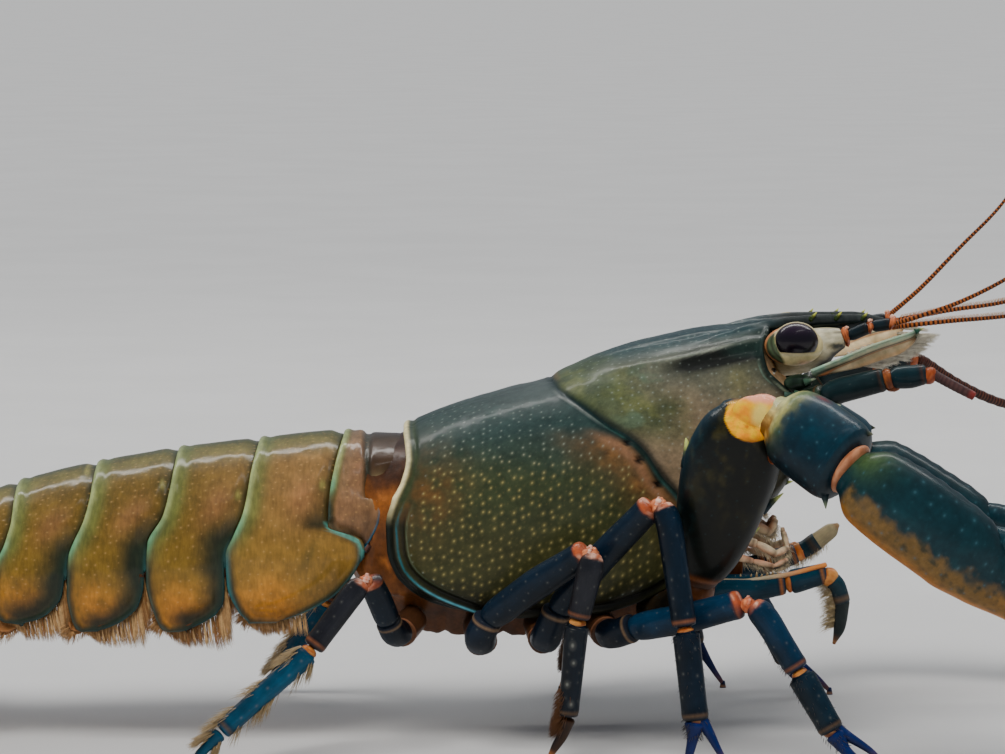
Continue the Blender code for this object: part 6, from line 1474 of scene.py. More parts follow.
def build_leg(name, look, hairs):
    """One walking leg as two pieces, from the body to the knee and from there to the foot."""
    number, side = int(name[4]), (1 if name.endswith("left") else -1)
    upper, lower = LEG_UPPER[name], LEG_LOWER[name]
    low, high = rgb(3, 6, 10), rgb(7, 29, 47)
    if number == 2:
        high = rgb(8, 48, 76)
    seed = 300 + number * 7 + (side > 0) * 31
    top, bottom = Piece(), Piece()
    coxa = [upper[0], between(upper[0], upper[1], 0.5), upper[1]]
    leg_part(top, coxa, seed, rgb(30, 20, 14), rgb(96, 60, 36), rgb(196, 130, 96), dots=0.1)
    leg_part(top, [between(upper[1], upper[2], 0.12), upper[2], upper[3]], seed + 1, low, rgb(10, 28, 46),
             rgb(176, 140, 104))
    swelling(top, np.array(upper[1][:3]), (0.7, 1.1, 1.1), np.subtract(upper[2][:3], upper[1][:3]),
             (rgb(84, 44, 24), rgb(150, 96, 66)), seed)
    merus = [between(upper[3], upper[4], 0.04), between(upper[3], upper[4], 0.5), upper[4],
             between(upper[4], upper[5], 0.6), between(upper[4], upper[5], 0.98)]
    leg_part(top, merus, seed + 2, low, high, rgb(150, 84, 50), knee=1.05)
    way = np.subtract(lower[1][:3], upper[5][:3])
    size = 0.76 if number < 5 else 0.68
    swelling(top, joint_between(upper[5], lower[0], 0.55), (size * 1.05, size * 1.12, size * 1.12), way,
             (rgb(176, 78, 40), rgb(236, 150, 104)), seed + 3, 0.2, (0, 0.5, 0.8))
    for lean in (-1, 1):
        spot = joint_between(upper[5], lower[0], 0.5) + np.array((0.05, lean * 0.72, 0.42))
        swelling(top, spot, (0.42, 0.27, 0.27), (0.3, 0.1, 1), (rgb(214, 110, 70), rgb(252, 214, 194)),
                 seed + 4, 0.2, (0, 0.3, 1), sides=14, rows=9)
    top.make(f"{name}_thigh", look, "limb", f"{name}_upper")
    carpus = [between(lower[0], lower[1], 0.05), lower[1], between(lower[1], lower[2], 0.5), lower[2]]
    leg_part(bottom, carpus, seed + 5, low if number < 4 else rgb(16, 14, 16),
             high if number < 4 else rgb(34, 36, 44), rgb(160, 96, 60), heel=0.75)
    swelling(bottom, joint_between(lower[2], lower[3], 0.5), (0.5, 0.86, 0.86),
             np.subtract(lower[3][:3], lower[2][:3]), (rgb(150, 66, 24), rgb(206, 140, 70)), seed + 6)
    hand = [between(lower[2], lower[3], 0.75), lower[3], between(lower[3], lower[4], 0.33),
            between(lower[3], lower[4], 0.66), lower[4]]
    blue, royal, shade, amount, hair_length = LEG_PAINT[number]

    def pad(foot):
        leg_part(bottom, [(*foot[:2], 0.7, 0.5, 0.5), (*foot[:2], 0.0, 0.72, 0.72)], seed, low, royal,
                 profile=[(0, 0.9), (1, 1)], caps=(0.5, 0.0), sides=14)

    leg_part(bottom, hand, seed + 7, low if number < 5 else rgb(4, 28, 44), blue, rgb(110, 84, 60),
             dots=0.8 if number == 4 else 0.35)
    if number < 4:
        fixed = LEG_FINGER[name]
        root = between(lower[4], fixed[0], 0.5)
        finger = [(*root[:3], 1.9, 1.6), fixed[0], fixed[1], fixed[2], (*fixed[3][:2], 0.42, 0.84, 0.8)]
        leg_part(bottom, finger, seed + 8, rgb(8, 14, 40), royal, rgb(24, 40, 90), tip=0.2,
                 profile=[(0, 0.95), (0.5, 0.9), (0.9, 0.62), (1, 0.5)], dots=0.2)
        pad(fixed[3])
        swelling(bottom, joint_between(lower[4], fixed[0], 0.3) + (0, 0, -0.4), (0.7, 0.8, 0.8), (0, 0, 1),
                 (rgb(110, 60, 40), rgb(180, 130, 90)), seed + 9)
    toe = [between(lower[4], lower[5], 0.3), lower[5], between(lower[5], lower[6], 0.55),
           (*lower[6][:2], 0.42, 0.8, 0.76)]
    leg_part(bottom, toe, seed + 10, rgb(8, 14, 40) if number < 4 else low, royal, rgb(40, 44, 60),
             tip=0.2 if number < 4 else 0.95, profile=[(0, 0.95), (0.5, 0.92), (0.9, 0.66), (1, 0.5)],
             dots=0.2)
    pad(lower[6])
    bottom.make(f"{name}_shin", look, "limb", f"{name}_lower")
    rng = np.random.default_rng(seed)
    rows = routed([*lower[2:5], lower[5]], 200)
    along, up, across = route_frames(rows[:, :3])
    first = 110 if number == 4 else 50
    pick = rng.integers(first, 198, amount)
    turn = rng.uniform(0, 2 * math.pi, amount)
    if number == 4:
        turn = rng.normal(math.pi if up[150, 0] > 0 else 0.0, 0.5, amount)
    if number == 5:
        tuft_count = 44
        tufts = rng.uniform(first, 192, tuft_count)
        which = rng.integers(0, tuft_count, amount)
        pick = np.clip(tufts[which] + rng.normal(0, 2.0, amount), 0, 199).astype(int)
        turn = np.where(which % 3 == 0, 0.0, math.pi) + rng.normal(0, 0.35, amount)
    out = up[pick] * np.cos(turn)[:, None] + across[pick] * np.sin(turn)[:, None]
    roots = (rows[pick, :3] + up[pick] * (np.cos(turn) * rows[pick, 3] / 2 * 0.92)[:, None]
             + across[pick] * (np.sin(turn) * rows[pick, 4] / 2 * 0.92)[:, None])
    ways = out * (0.4 if number == 5 else 0.8) + along[pick] * 0.8 + rng.normal(0, 0.1, (amount, 3))
    long = rng.uniform(0.6, 1.1, amount) * hair_length
    place = (number - 2) * 2 + (side > 0)
    spots = np.stack([(pick / 200 * 0.9 + 0.05),
                      (place + 0.1 + 0.8 * (turn % (2 * math.pi)) / (2 * math.pi)) / 8], -1)
    hairs.append((roots, ways, long, spots, np.broadcast_to(shade, (amount, 3))))


def build_legs(look, hair):
    """All eight walking legs and their hairs."""
    hairs = []
    for name in LEG_UPPER:
        build_leg(name, look, hairs)
    roots, ways, lengths, spots, tints = joined(hairs)
    bristles("leg_hairs", hair, "limb", roots, ways, lengths, 0.035, tints, spots, (0, 0, -0.1))


def build_claw(side, look, soft):
    """One claw: root, arm, wrist, hand and finger, with the soft skin of its joints."""
    label = "left" if side > 0 else "right"
    base, merus, carpus, palm, dactyl = {-1: (RIGHT_CHELIPED_BASE, RIGHT_MERUS, RIGHT_CARPUS, RIGHT_PALM,
            RIGHT_DACTYL), 1: (LEFT_CHELIPED_BASE, LEFT_MERUS, LEFT_CARPUS, LEFT_PALM, LEFT_DACTYL)}[side]
    outer = 1.5 * math.pi if side < 0 else 0.5 * math.pi

    def facing(turn, at, width):
        away = np.abs((turn - at + math.pi) % (2 * math.pi) - math.pi)
        return np.exp(-(away / width) ** 2)

    def base_tint(t, turn, p):
        tone = mix(rgb(16, 16, 12), rgb(44, 34, 22), np.clip(0.5 + rough_grain(p, 1.5, 401), 0, 1))
        return mix(tone, rgb(140, 80, 40), near(t, 0.97, 0.05) * 0.8)

    knee = np.array(merus[-1][:3]) * 0.55 + np.array(carpus[0][:3]) * 0.45

    def knee_skin(p):
        dx, dz = p[:, 0] - knee[0], p[:, 2] - knee[2]
        fine = rough_grain(p, 0.8, 453)
        tone = mottled((255, 156, 0), (255, 196, 0), -0.5, 0.5, fine)
        tone = layered(tone, (
            ((255, 222, 110), ramp(1.4, 0.5, np.hypot((dx + 0.1) / 0.9, (dz - 0.3) / 1.3) + 0.25 * fine)),
            ((255, 170, 136), ramp(1.2, 1.9, dz + 0.4 * fine + 0.15 * dx)),
            ((236, 104, 0), near(dz + 0.75 * dx + 1.5 + 0.15 * fine, 0, 0.07) * 0.6),
            ((255, 196, 176), ramp(0.7, 1.5, dx + 0.3 * fine) * ramp(-0.2, 1.2, dz) * 0.8),
            ((200, 70, 10), near(np.hypot(dx + 1.5, dz + 0.9), 0, 0.2) * 0.8)))
        return mix(tone, rgb(150, 84, 30), ramp(-1.6, -2.6, dz))

    def merus_tint(t, turn, p):
        grainy, fine = rough_grain(p, 2.0, 411), rough_grain(p * (1, 1, 0.5), 0.8, 413)
        tone = mix(rgb(11, 12, 6), rgb(4, 15, 18),
                   np.clip(facing(turn, 0, 0.9) + facing(turn, math.pi, 0.6) * 0.7, 0, 1))
        tone = layered(tone, (
            ((52, 47, 19), np.clip(ramp(-0.1, 0.6, fine + grainy * 0.5) * ramp(0.3, 0.7, t), 0, 1) * 0.8),
            ((20, 52, 56), ramp(0.1, 0.6, rough_grain(p, 0.7, 417)) * facing(turn, 0, 0.9) * 0.6),
            ((2, 4, 6), ramp(0.2, 0.7, rough_grain(p * (1, 1, 0.35), 0.7, 415)) * ramp(0.5, 0.8, t) * 0.6),
            ((4, 44, 60), facing(turn, 0, 0.45) * ramp(0.2, 0.7, t) * 0.85),
            ((8, 34, 40), facing(turn, math.pi, 0.4) * 0.6),
            ((150, 84, 40), near(t, 0.03, 0.03) * 0.85)))
        from_knee = np.hypot((p[:, 0] - knee[0] + 0.95) / 2.5, (p[:, 2] - knee[2]) / 2.2)
        skin = ramp(1.1, 1.03, from_knee + 0.07 * fine) * facing(turn, outer, 1.3)
        skin = np.clip(skin * 1.6, 0, 1)
        tone = np.where((skin > 0)[:, None], mix(tone, knee_skin(p), skin), tone)
        tone = mix(tone, rgb(110, 54, 20), facing(turn, math.pi, 0.4) * ramp(0.84, 0.95, t) * 0.8)
        return tone * (1 + 0.16 * fine)[:, None]

    def carpus_tint(t, turn, p):
        blot, fine = rough_grain(p, 2.2, 421), rough_grain(p, 0.9, 423)
        tone = mix(rgb(6, 24, 34), rgb(12, 50, 66), np.clip(0.5 + 0.5 * np.cos(turn) + 0.3 * blot, 0, 1))
        patch = ramp(0.44, 0.16, t + 0.14 * blot + 0.05 * fine) * np.clip(facing(turn, outer - side * 0.7,
                0.95) * 1.4, 0, 1)
        tone = mix(tone, mottled((84, 104, 62), (190, 184, 104), -0.4, 0.5, blot + 0.5 * fine),
                   np.clip(patch * 1.1, 0, 1))
        tone = mix(tone, rgb(206, 206, 150), patch * ramp(0.22, 0.05, t) * 0.7)
        hem = ramp(0.15, 0.05, t + 0.07 * fine) * facing(turn, outer + side * 0.5, 0.7)
        tone = mix(tone, mottled((120, 76, 26), (206, 160, 84), -0.3, 0.5, fine),
                   np.clip(hem * 1.3, 0, 1) * 0.9)
        tone = layered(tone, (
            ((52, 66, 58), facing(turn, 0, 0.25) * 0.4),
            ((5, 8, 10), facing(turn, math.pi, 0.6) * 0.7),
            ((120, 20, 14), near(np.hypot((t - 0.42) / 0.06,
                (turn - 5.9 if side < 0 else turn - 0.4) / 0.12), 0, 1.0) * 0.7),
            ((12, 36, 46), near(t, 0.985, 0.03) * 0.6)))
        return tone * (1 + 0.16 * fine)[:, None]

    def palm_tint(t, turn, p):
        blot, fine = rough_grain(p, 1.9, 431), rough_grain(p, 0.6, 433)
        tone = mix(rgb(8, 36, 44), rgb(14, 50, 58), np.clip(0.5 + 0.5 * blot, 0, 1))
        start = outer * 0.5 if side > 0 else 1.72 * math.pi
        tone = layered(tone, (
            ((64, 88, 44), near(t, 0.04, 0.08) * facing(turn, start, 0.7) * 0.85),
            ((8, 22, 26), facing(turn, 0, 0.4) * 0.5)))
        away = np.abs(turn - math.pi)
        edge = away + 0.2 * blot + 0.2 * rough_grain(p, 1.0, 435) + 0.1 * fine
        reach = 1.05 + 0.35 * ramp(0.3, 0.7, t)
        tan = ramp(reach + 0.25, reach - 0.2, edge) * ramp(0.02, 0.07, t)
        warm = mix(rgb(116, 88, 46), rgb(196, 122, 34),
                   np.clip(ramp(0.7, 0.0, away) + ramp(0.45, 0.9, t) * 0.6, 0, 1))
        warm = mix(warm, rgb(30, 44, 38),
                   ramp(0.05, 0.55, rough_grain(p, 0.9, 437)) * ramp(0.2, 0.9, away) * 0.8)
        tone = mix(tone, warm, tan)
        tone = layered(tone, (
            ((196, 130, 96), facing(turn, 0.0, 0.3) * ramp(0.5, 0.62, t) * 0.5),
            ((196, 110, 40), ramp(0.8, 1.0, t) * 0.7)))
        return tone * (1 + 0.14 * fine)[:, None]

    def finger_tint(t, turn, p):
        blot, fine = rough_grain(p, 1.6, 441), rough_grain(p, 0.6, 443)
        tone = mix(rgb(8, 36, 46), rgb(14, 52, 62), np.clip(0.5 + 0.5 * blot, 0, 1))
        tone = layered(tone, (
            ((196, 116, 54), ramp(0.75, 1.0, t) * 0.8),
            ((190, 134, 96), facing(turn, math.pi, 0.6) * 0.7)))
        return tone * (1 + 0.14 * fine)[:, None]

    root = Piece()
    limb(root, base, base_tint, profile=[(0, 0.9), (0.3, 1), (0.9, 1.05), (1, 0.95)], shape=squared(2.3),
         marks=(0.2, 0.6, 0.4))
    root.make(f"claw_{label}_root", look, "claw", f"cheliped_base_{label}")

    def keeled(t, turn):
        return squared(2.35)(t, turn) * (1 + 0.05 * facing(turn, 0, 0.35) + 0.04 * facing(turn, math.pi, 0.3))

    arm = Piece()
    limb(arm, merus, merus_tint, sides=110, step=0.15,
         profile=[(0, 0.86), (0.06, 0.97), (0.2, 1), (0.9, 1.0), (1, 0.94)], shape=keeled,
         marks=(0.12, 0.7, 0.5), caps=(0.9, 0.7))
    if side < 0:
        spines = [((28.9, -18.7, 30.5), (-0.2, -0.12, 1.0), 2.15, 0.85),
                  ((36.45, -17.7, 25.7), (1.0, 0.0, 0.7), 2.2, 0.55),
                  ((34.9, -17.0, 22.7), (1.0, 0.0, 0.7), 1.3, 0.42),
                  ((28.3, -17.6, 27.2), (-0.2, -0.2, 1.0), 0.7, 0.3)]
    else:
        spines = [((34.0, 23.0, 28.6), (0.0, 0.0, 1.0), 1.5, 0.5),
                  ((40.6, 22.2, 23.2), (1.0, 0.1, 0.1), 1.3, 0.45),
                  ((37.2, 19.2, 19.6), (1.0, 0.0, -0.1), 0.8, 0.35)]
    for at, way, length, radius in spines:
        spine(arm, np.array(at), way, length, radius, rgb(8, 36, 44), rgb(206, 214, 120), (0, 0, 0.1),
              sides=12)
    arm.make(f"claw_{label}_arm", look, "claw", f"cheliped_merus_{label}")
    skin = Piece()
    for shift, radii, way, tints in (((-0.55, 0.9, 0.1), (2.5, 2.2, 0.95), (1.0, 0, -0.25), knee_skin),
            ((0.55, 0.9, -1.1), (1.7, 0.9, 0.9), (0.6, 0, -0.8), knee_skin),
            ((0.2, 0.9, 1.4), (1.5, 0.85, 1.0), (1.0, 0, -0.1), knee_skin),
            ((1.35, 1.1, -1.6), (1.0, 0.5, 0.7), (0.5, 0, -0.9), (rgb(226, 120, 70), rgb(246, 176, 140))),
            ((1.4, 0.9, -3.2), (1.5, 0.75, 0.7), (0.25, 0, 0.95), (rgb(96, 44, 14), rgb(196, 96, 30))),
            ((0.75, 1.3, -2.5), (1.2, 0.45, 0.6), (0.3, 0, -0.95), (rgb(120, 84, 30), rgb(196, 150, 70)))):
        spot = knee + np.array((shift[0], side * shift[1], shift[2]))
        swelling(skin, spot, radii, way, tints, 451, 0.03, (0, 0.25, 0.9), sides=40, rows=26)
    joint = (np.array(carpus[-1][:3]) + np.array(palm[0][:3])) / 2
    swelling(skin, joint, (0.85, 2.9, 2.3), np.subtract(palm[0][:3], carpus[-1][:3]),
             (rgb(160, 96, 62), rgb(196, 134, 98)), 459, 0.02, (0, 0.4, 0.7), sides=44, rows=20)
    joint = (np.array(palm[4][:3]) + np.array(dactyl[0][:3])) / 2 + np.array((0.2, 0, 1.0))
    swelling(skin, joint, (1.3, 1.6, 1.6), np.subtract(dactyl[1][:3], dactyl[0][:3]),
             (rgb(196, 100, 60), rgb(226, 150, 110)), 461, 0.05, (0, 0.4, 0.7), sides=30, rows=16)
    skin.make(f"claw_{label}_joint_skin", soft, "flesh")
    wrist = Piece()
    rows, frames = limb(wrist, carpus, carpus_tint, sides=64, step=0.2, shape=squared(2.25),
                        profile=[(0, 0.82), (0.1, 0.93), (0.3, 1), (0.85, 1.02), (0.97, 1.02), (1, 0.98)],
                        marks=(0.4, 0.6, 0.6), caps=(0.9, 0.25))
    along, up = frames[0][-3], frames[1][-3]
    spine(wrist, rows[-3, :3] - up * rows[-3, 3] * 0.44 + along * 0.1, -up * 1.0 + along * 0.9, 1.5, 0.5,
          rgb(14, 36, 44), rgb(110, 120, 96), sides=12)
    spine(wrist, rows[-3, :3] + up * rows[-3, 3] * 0.46 + along * 0.1, up * 0.4 + along * 0.9, 0.8, 0.45,
          rgb(20, 36, 36), rgb(90, 90, 66), sides=12)
    wrist.make(f"claw_{label}_wrist", look, "claw", f"cheliped_carpus_{label}")

    def hand_shape(t, turn):
        teeth = 0.05 * np.sin(t * 95) * facing(turn, 0, 0.5) * ramp(0.6, 0.66, t)
        beads = 0.012 * np.sin(t * 130) * facing(turn, 0, 0.25) * ramp(0.55, 0.5, t)
        return squared(2.2)(t, turn) * (1 + teeth + beads + 0.03 * facing(turn, math.pi, 0.4))

    hand = Piece()
    limb(hand, palm, palm_tint, sides=120, step=0.16, shape=hand_shape,
         profile=[(0, 0.86), (0.03, 0.93), (0.1, 1.0), (0.9, 1.0), (1, 0.9)], marks=(0.4, 0.7, 0.55),
         caps=(0.7, 1.0))
    hand.make(f"claw_{label}_hand", look, "claw", f"cheliped_palm_{label}")

    def finger_shape(t, turn):
        return squared(2.1)(t, turn) * (1 + 0.06 * np.sin(t * 80) * facing(turn, math.pi, 0.6) * ramp(0.12,
                0.2, t))

    finger = Piece()
    limb(finger, dactyl, finger_tint, sides=48, step=0.22, shape=finger_shape,
         profile=[(0, 0.8), (0.05, 0.92), (0.15, 1.0), (0.9, 1.0), (1, 0.9)], marks=(0.6, 0.6, 0.5),
         caps=(0.8, 1.0))
    finger.make(f"claw_{label}_finger", look, "claw", f"cheliped_dactyl_{label}")


def build_mouth(look, soft, hair):
    """The outer mouth limbs, the small palps between them and their combs of hair."""
    hairs = []
    for side, label, route in ((-1, "right", RIGHT_MAXILLIPED), (1, "left", LEFT_MAXILLIPED)):
        piece = Piece()
        low, high = rgb(8, 22, 30), rgb(12, 62, 84)
        leg_part(piece, [route[0], route[1], route[2]], 501, low, high, rgb(226, 130, 50), dots=0.2)
        leg_part(piece, [between(route[2], route[3], 0.5), route[3], between(route[3], route[4], 0.55),
                         route[4]], 502, low, high, rgb(230, 140, 60), dots=0.2)
        swelling(piece, joint_between(route[2], route[3], 0.4), (0.5, 1.1, 1.0), (1, 0, 0.2),
                 (rgb(176, 84, 30), rgb(206, 130, 70)), 503)
        swelling(piece, joint_between(route[4], route[5], 0.3), (1.0, 1.0, 0.95), (1, 0, 0.3),
                 (rgb(186, 90, 30), rgb(216, 150, 80)), 504)
        leg_part(piece, [between(route[4], route[5], 0.6), route[5], route[6]], 505, low, rgb(20, 60, 74),
                 TAN, dots=0.2)
        club = (rgb(110, 98, 72), rgb(206, 190, 150)) if side > 0 else (rgb(10, 18, 22), rgb(40, 50, 50))
        leg_part(piece, [route[6], route[7], route[8]], 506, *club, TAN, tip=0.3, dots=0.1,
                 profile=[(0, 0.9), (0.6, 0.9), (1, 0.5)])
        edge = np.array([route[0][:3], route[1][:3], route[2][:3], route[4][:3]]) + (0, side * 0.5, 0.95)
        stripe = [(*e, 0.5, 0.9) for e in edge]
        limb(piece, stripe, lambda t, a, p: mottled((186, 170, 140), (226, 140, 70), 0.5, 0.9, t), sides=12,
             marks=(0, 0.5, 0.4))
        piece.make(f"mouth_limb_{label}", look, "limb", f"maxilliped_{label}")
        rng = np.random.default_rng(520 + side)
        rows = routed(route[4:8], 50)
        pick = rng.integers(3, 50, COMB_HAIRS)
        roots = rows[pick, :3] + np.array((-0.55, 0, 0)) + rng.normal(0, 0.12, (COMB_HAIRS, 3))
        ways = np.array((-1.0, 0, -0.25)) + rng.normal(0, 0.12, (COMB_HAIRS, 3))
        if side > 0:
            ways = np.array((0.1, 0, -1.0)) + rng.normal(0, 0.15, (COMB_HAIRS, 3))
        spots = np.stack([pick / 50 * 0.9 + 0.05,
                          (0.25 if side < 0 else 0.75) + rng.uniform(-0.1, 0.1, COMB_HAIRS)], -1)
        hairs.append((roots, ways, rng.uniform(0.8, 1.8, COMB_HAIRS), spots,
                      np.broadcast_to(rgb(206, 184, 140), (COMB_HAIRS, 3))))
    inner = Piece()
    cream, rose, rust = rgb(222, 204, 170), rgb(204, 150, 120), rgb(130, 88, 62)
    for side in (-1, 1):
        for k, (size, tints, path) in enumerate([(1.35, (cream, rose),
                [(33.4, 3.7, 20.9), (36.4, 3.7, 20.1), (38.5, 3.1, 18.9), (39.7, 2.3, 19.5),
                 (39.4, 1.5, 21.0)]),
                (0.95, (rose, cream),
                 [(33.2, 4.7, 19.2), (36.0, 4.6, 18.4), (38.2, 4.1, 17.8), (39.6, 3.4, 18.4)]),
                (1.5, (rust, cream),
                 [(33.6, 2.4, 23.0), (36.0, 2.4, 22.0), (37.9, 1.9, 21.0), (38.5, 1.1, 22.2)]),
                (1.8, (rust, rose), [(34.2, 1.5, 25.2), (36.2, 1.6, 24.2), (37.4, 1.0, 23.6)])]):
            spots = [np.array(on_side(p, side)) for p in path]
            rng = np.random.default_rng(560 + 4 * side + k)
            pick = rng.uniform(0.2, 1.0, PALP_HAIRS)
            line = routed(np.array(path) * (1, side, 1), 40)
            at = line[np.minimum((pick * 40).astype(int), 39)]
            ways = np.array((0.55, 0, -1.0)) + rng.normal(0, 0.3, (PALP_HAIRS, 3))
            patch = np.stack([0.05 + 0.9 * pick,
                              0.5 + 0.03 * (k - 1.5) * side + rng.uniform(-0.01, 0.01, PALP_HAIRS)], -1)
            hairs.append((at + (0, 0, -0.25) * np.array(size), ways, rng.uniform(0.5, 1.3, PALP_HAIRS),
                          patch, np.broadcast_to(rgb(226, 210, 176), (PALP_HAIRS, 3))))
            for j, (a, b) in enumerate(zip(spots, spots[1:])):
                wide = size * (1 - 0.17 * j)
                stations = [(*(a + (b - a) * s), wide * f * 0.8, wide * f)
                            for s, f in ((0.03, 0.85), (0.5, 1.05), (0.97, 0.85))]
                leg_part(inner, stations, 530 + 7 * k + j, tints[1], tints[0], rgb(120, 84, 56), dots=0.1,
                         caps=(0.7, 0.6))
    for k in range(10):
        x, tall = 33.6 + 0.55 * k, 0.32 + 0.14 * (k * 7 % 3)
        for side in (-1, 1):
            spine(inner, np.array((x, side * 5.15, 16.5 + 0.06 * k)), (0.1, -side * 0.35, 1.0), tall, 0.24,
                  rgb(120, 96, 66), rgb(190, 170, 130))
    inner.make("inner_mouth", soft, "flesh")
    roots, ways, lengths, spots, tints = joined(hairs)
    bristles("mouth_comb", hair, "limb", roots, ways, lengths, 0.035, tints, spots, (0, 0, -0.15))


SOCKET_PORE = (37.96, -6.0, 38.2)


def build_eyes(eye, stalk):
    """The eyes, each with its cup, stalk and the small pore below it."""
    for side, label in SIDES:
        centre, root = np.array(on_side(EYE_CENTRE, side)), np.array(on_side(STALK_ROOT, side))
        unit, ball_faces = ball(60, 96)
        unit = unit[:, [1, 2, 0]]
        globe = unit * EYE_RADII * 1.01
        floor = -1.0 - 0.04 * np.cos(unit[:, 0] * 2)
        globe[:, 2] = np.where(globe[:, 2] < floor, floor - 0.1 * (floor - globe[:, 2]), globe[:, 2])
        tone = mix(rgb(14, 5, 17), rgb(44, 20, 48), ramp(0.2, 1.0, unit[:, 2]) * 0.7)
        Piece().add(centre + globe, ball_faces, tone).make(f"eye_ball_{label}", eye, "eye", f"eye_{label}")
        piece = Piece()
        cup = unit * (3.0, 1.6, 2.05)
        at = centre + cup + np.array((-0.2, side * -0.55, -0.45))
        blot = rough_grain(at, 1.2, 601)
        tone = mottled((232, 214, 156), (196, 170, 112), -0.4, 0.7, blot)
        east, north = (at - centre)[:, 0], (at - centre)[:, 2]
        # Painted highlight: a pale cream band across the cup.
        tone = layered(tone, (
            ((246, 232, 190), near(north, -1.25, 0.16) * 0.7),
            ((206, 150, 122), ramp(-1.7, -2.3, north + 0.3 * blot) * ramp(-0.4, 0.8, east) * 0.7)))
        green = ramp(0.2, -0.15, east + 2.15 - 0.45 * np.clip(-north - 0.1, 0, 2) + 0.1 * blot)
        bands = 0.5 + 0.5 * np.cos((np.hypot(east / 2.3, north / 1.9) - 1) * 30)
        tone = mix(tone, mix(rgb(8, 34, 26), rgb(66, 96, 66), bands * 0.8), green * 0.95)
        tone = mix(tone, rgb(206, 134, 84),
                   ramp(0.93, 0.97, np.hypot(unit[:, 0], unit[:, 2])) * ramp(-0.3, -0.6, unit[:, 0]) * 0.9)
        piece.add(at, ball_faces, tone, (0, 0.4, 0.8))
        around, tube_sides = 90, 10
        bend = circle(around)
        line = np.stack([np.cos(bend) * (EYE_RADII[0] + 0.02), np.full(around, side * 0.3),
                         np.maximum(np.sin(bend) * (EYE_RADII[2] + 0.02), -1.02)], -1)
        out = line * (1, 0, 1) / np.linalg.norm(line * (1, 0, 1), axis=1, keepdims=True)
        bend = circle(tube_sides)
        tube = line[:, None] + 0.065 * (out[:, None] * np.cos(bend)[None, :, None]
                + np.array((0, 1.0, 0)) * np.sin(bend)[None, :, None])
        loop = grid_quads(around + 1, tube_sides, True) % (around * tube_sides)
        piece.add(centre + tube.reshape(-1, 3), loop, rgb(222, 208, 166), (0, 0.3, 0.8))

        def stalk_tint(t, turn, p):
            shade = rough_grain(p, 1.1, 611)
            tone = mix(rgb(186, 170, 130), rgb(50, 52, 44), ramp(0.15, 0.6, shade) * 0.8)
            return mix(tone, rgb(12, 36, 30), ramp(39.4, 38.6, p[:, 0] + 0.2 * shade))

        aim = centre + (root - centre) * 0.3
        limb(piece, [(*root, 2.6, 2.6), (*(root * 0.5 + aim * 0.5), 2.8, 2.8), (*aim, 2.8, 2.7)], stalk_tint,
             marks=(0, 0.5, 0.6))
        pore = np.array(on_side(SOCKET_PORE, side))
        swelling(piece, pore, (1.2, 0.27, 0.2), (0, 1, 0), (rgb(5, 7, 8), rgb(10, 13, 14)), 615, 0.02,
                 sides=16, rows=11)
        # Painted glint: a white sliver under the dark pore.
        swelling(piece, pore - (0.03, 0, 0.27), (1.24, 0.13, 0.11), (0, 1, 0),
                 (rgb(244, 232, 206), rgb(255, 250, 240)), 616, 0.02, sides=12, rows=9)
        piece.make(f"eye_stalk_{label}", stalk, "stalk", f"eyestalk_{label}")


def banded(route, root_size, tip_size, light, dark, period=0.3):
    """Stations and colours of a feeler made of many short rings."""
    rows = routed(route, 40)
    length = reach_of(rows)
    stations = [(*p, root_size + (tip_size - root_size) * i / 39,
                 root_size + (tip_size - root_size) * i / 39) for i, p in enumerate(rows)]

    def wave(t):
        return np.cos(t * length / period * 2 * math.pi)

    def colour(t, turn, p):
        return mix(light, dark, ramp(-0.8, 0.3, wave(t))) * (1 + 0.1 * grain(p, 1.0, 5))[:, None]

    def shape(t, turn):
        return 1 - 0.1 * wave(t)
    return stations, colour, shape


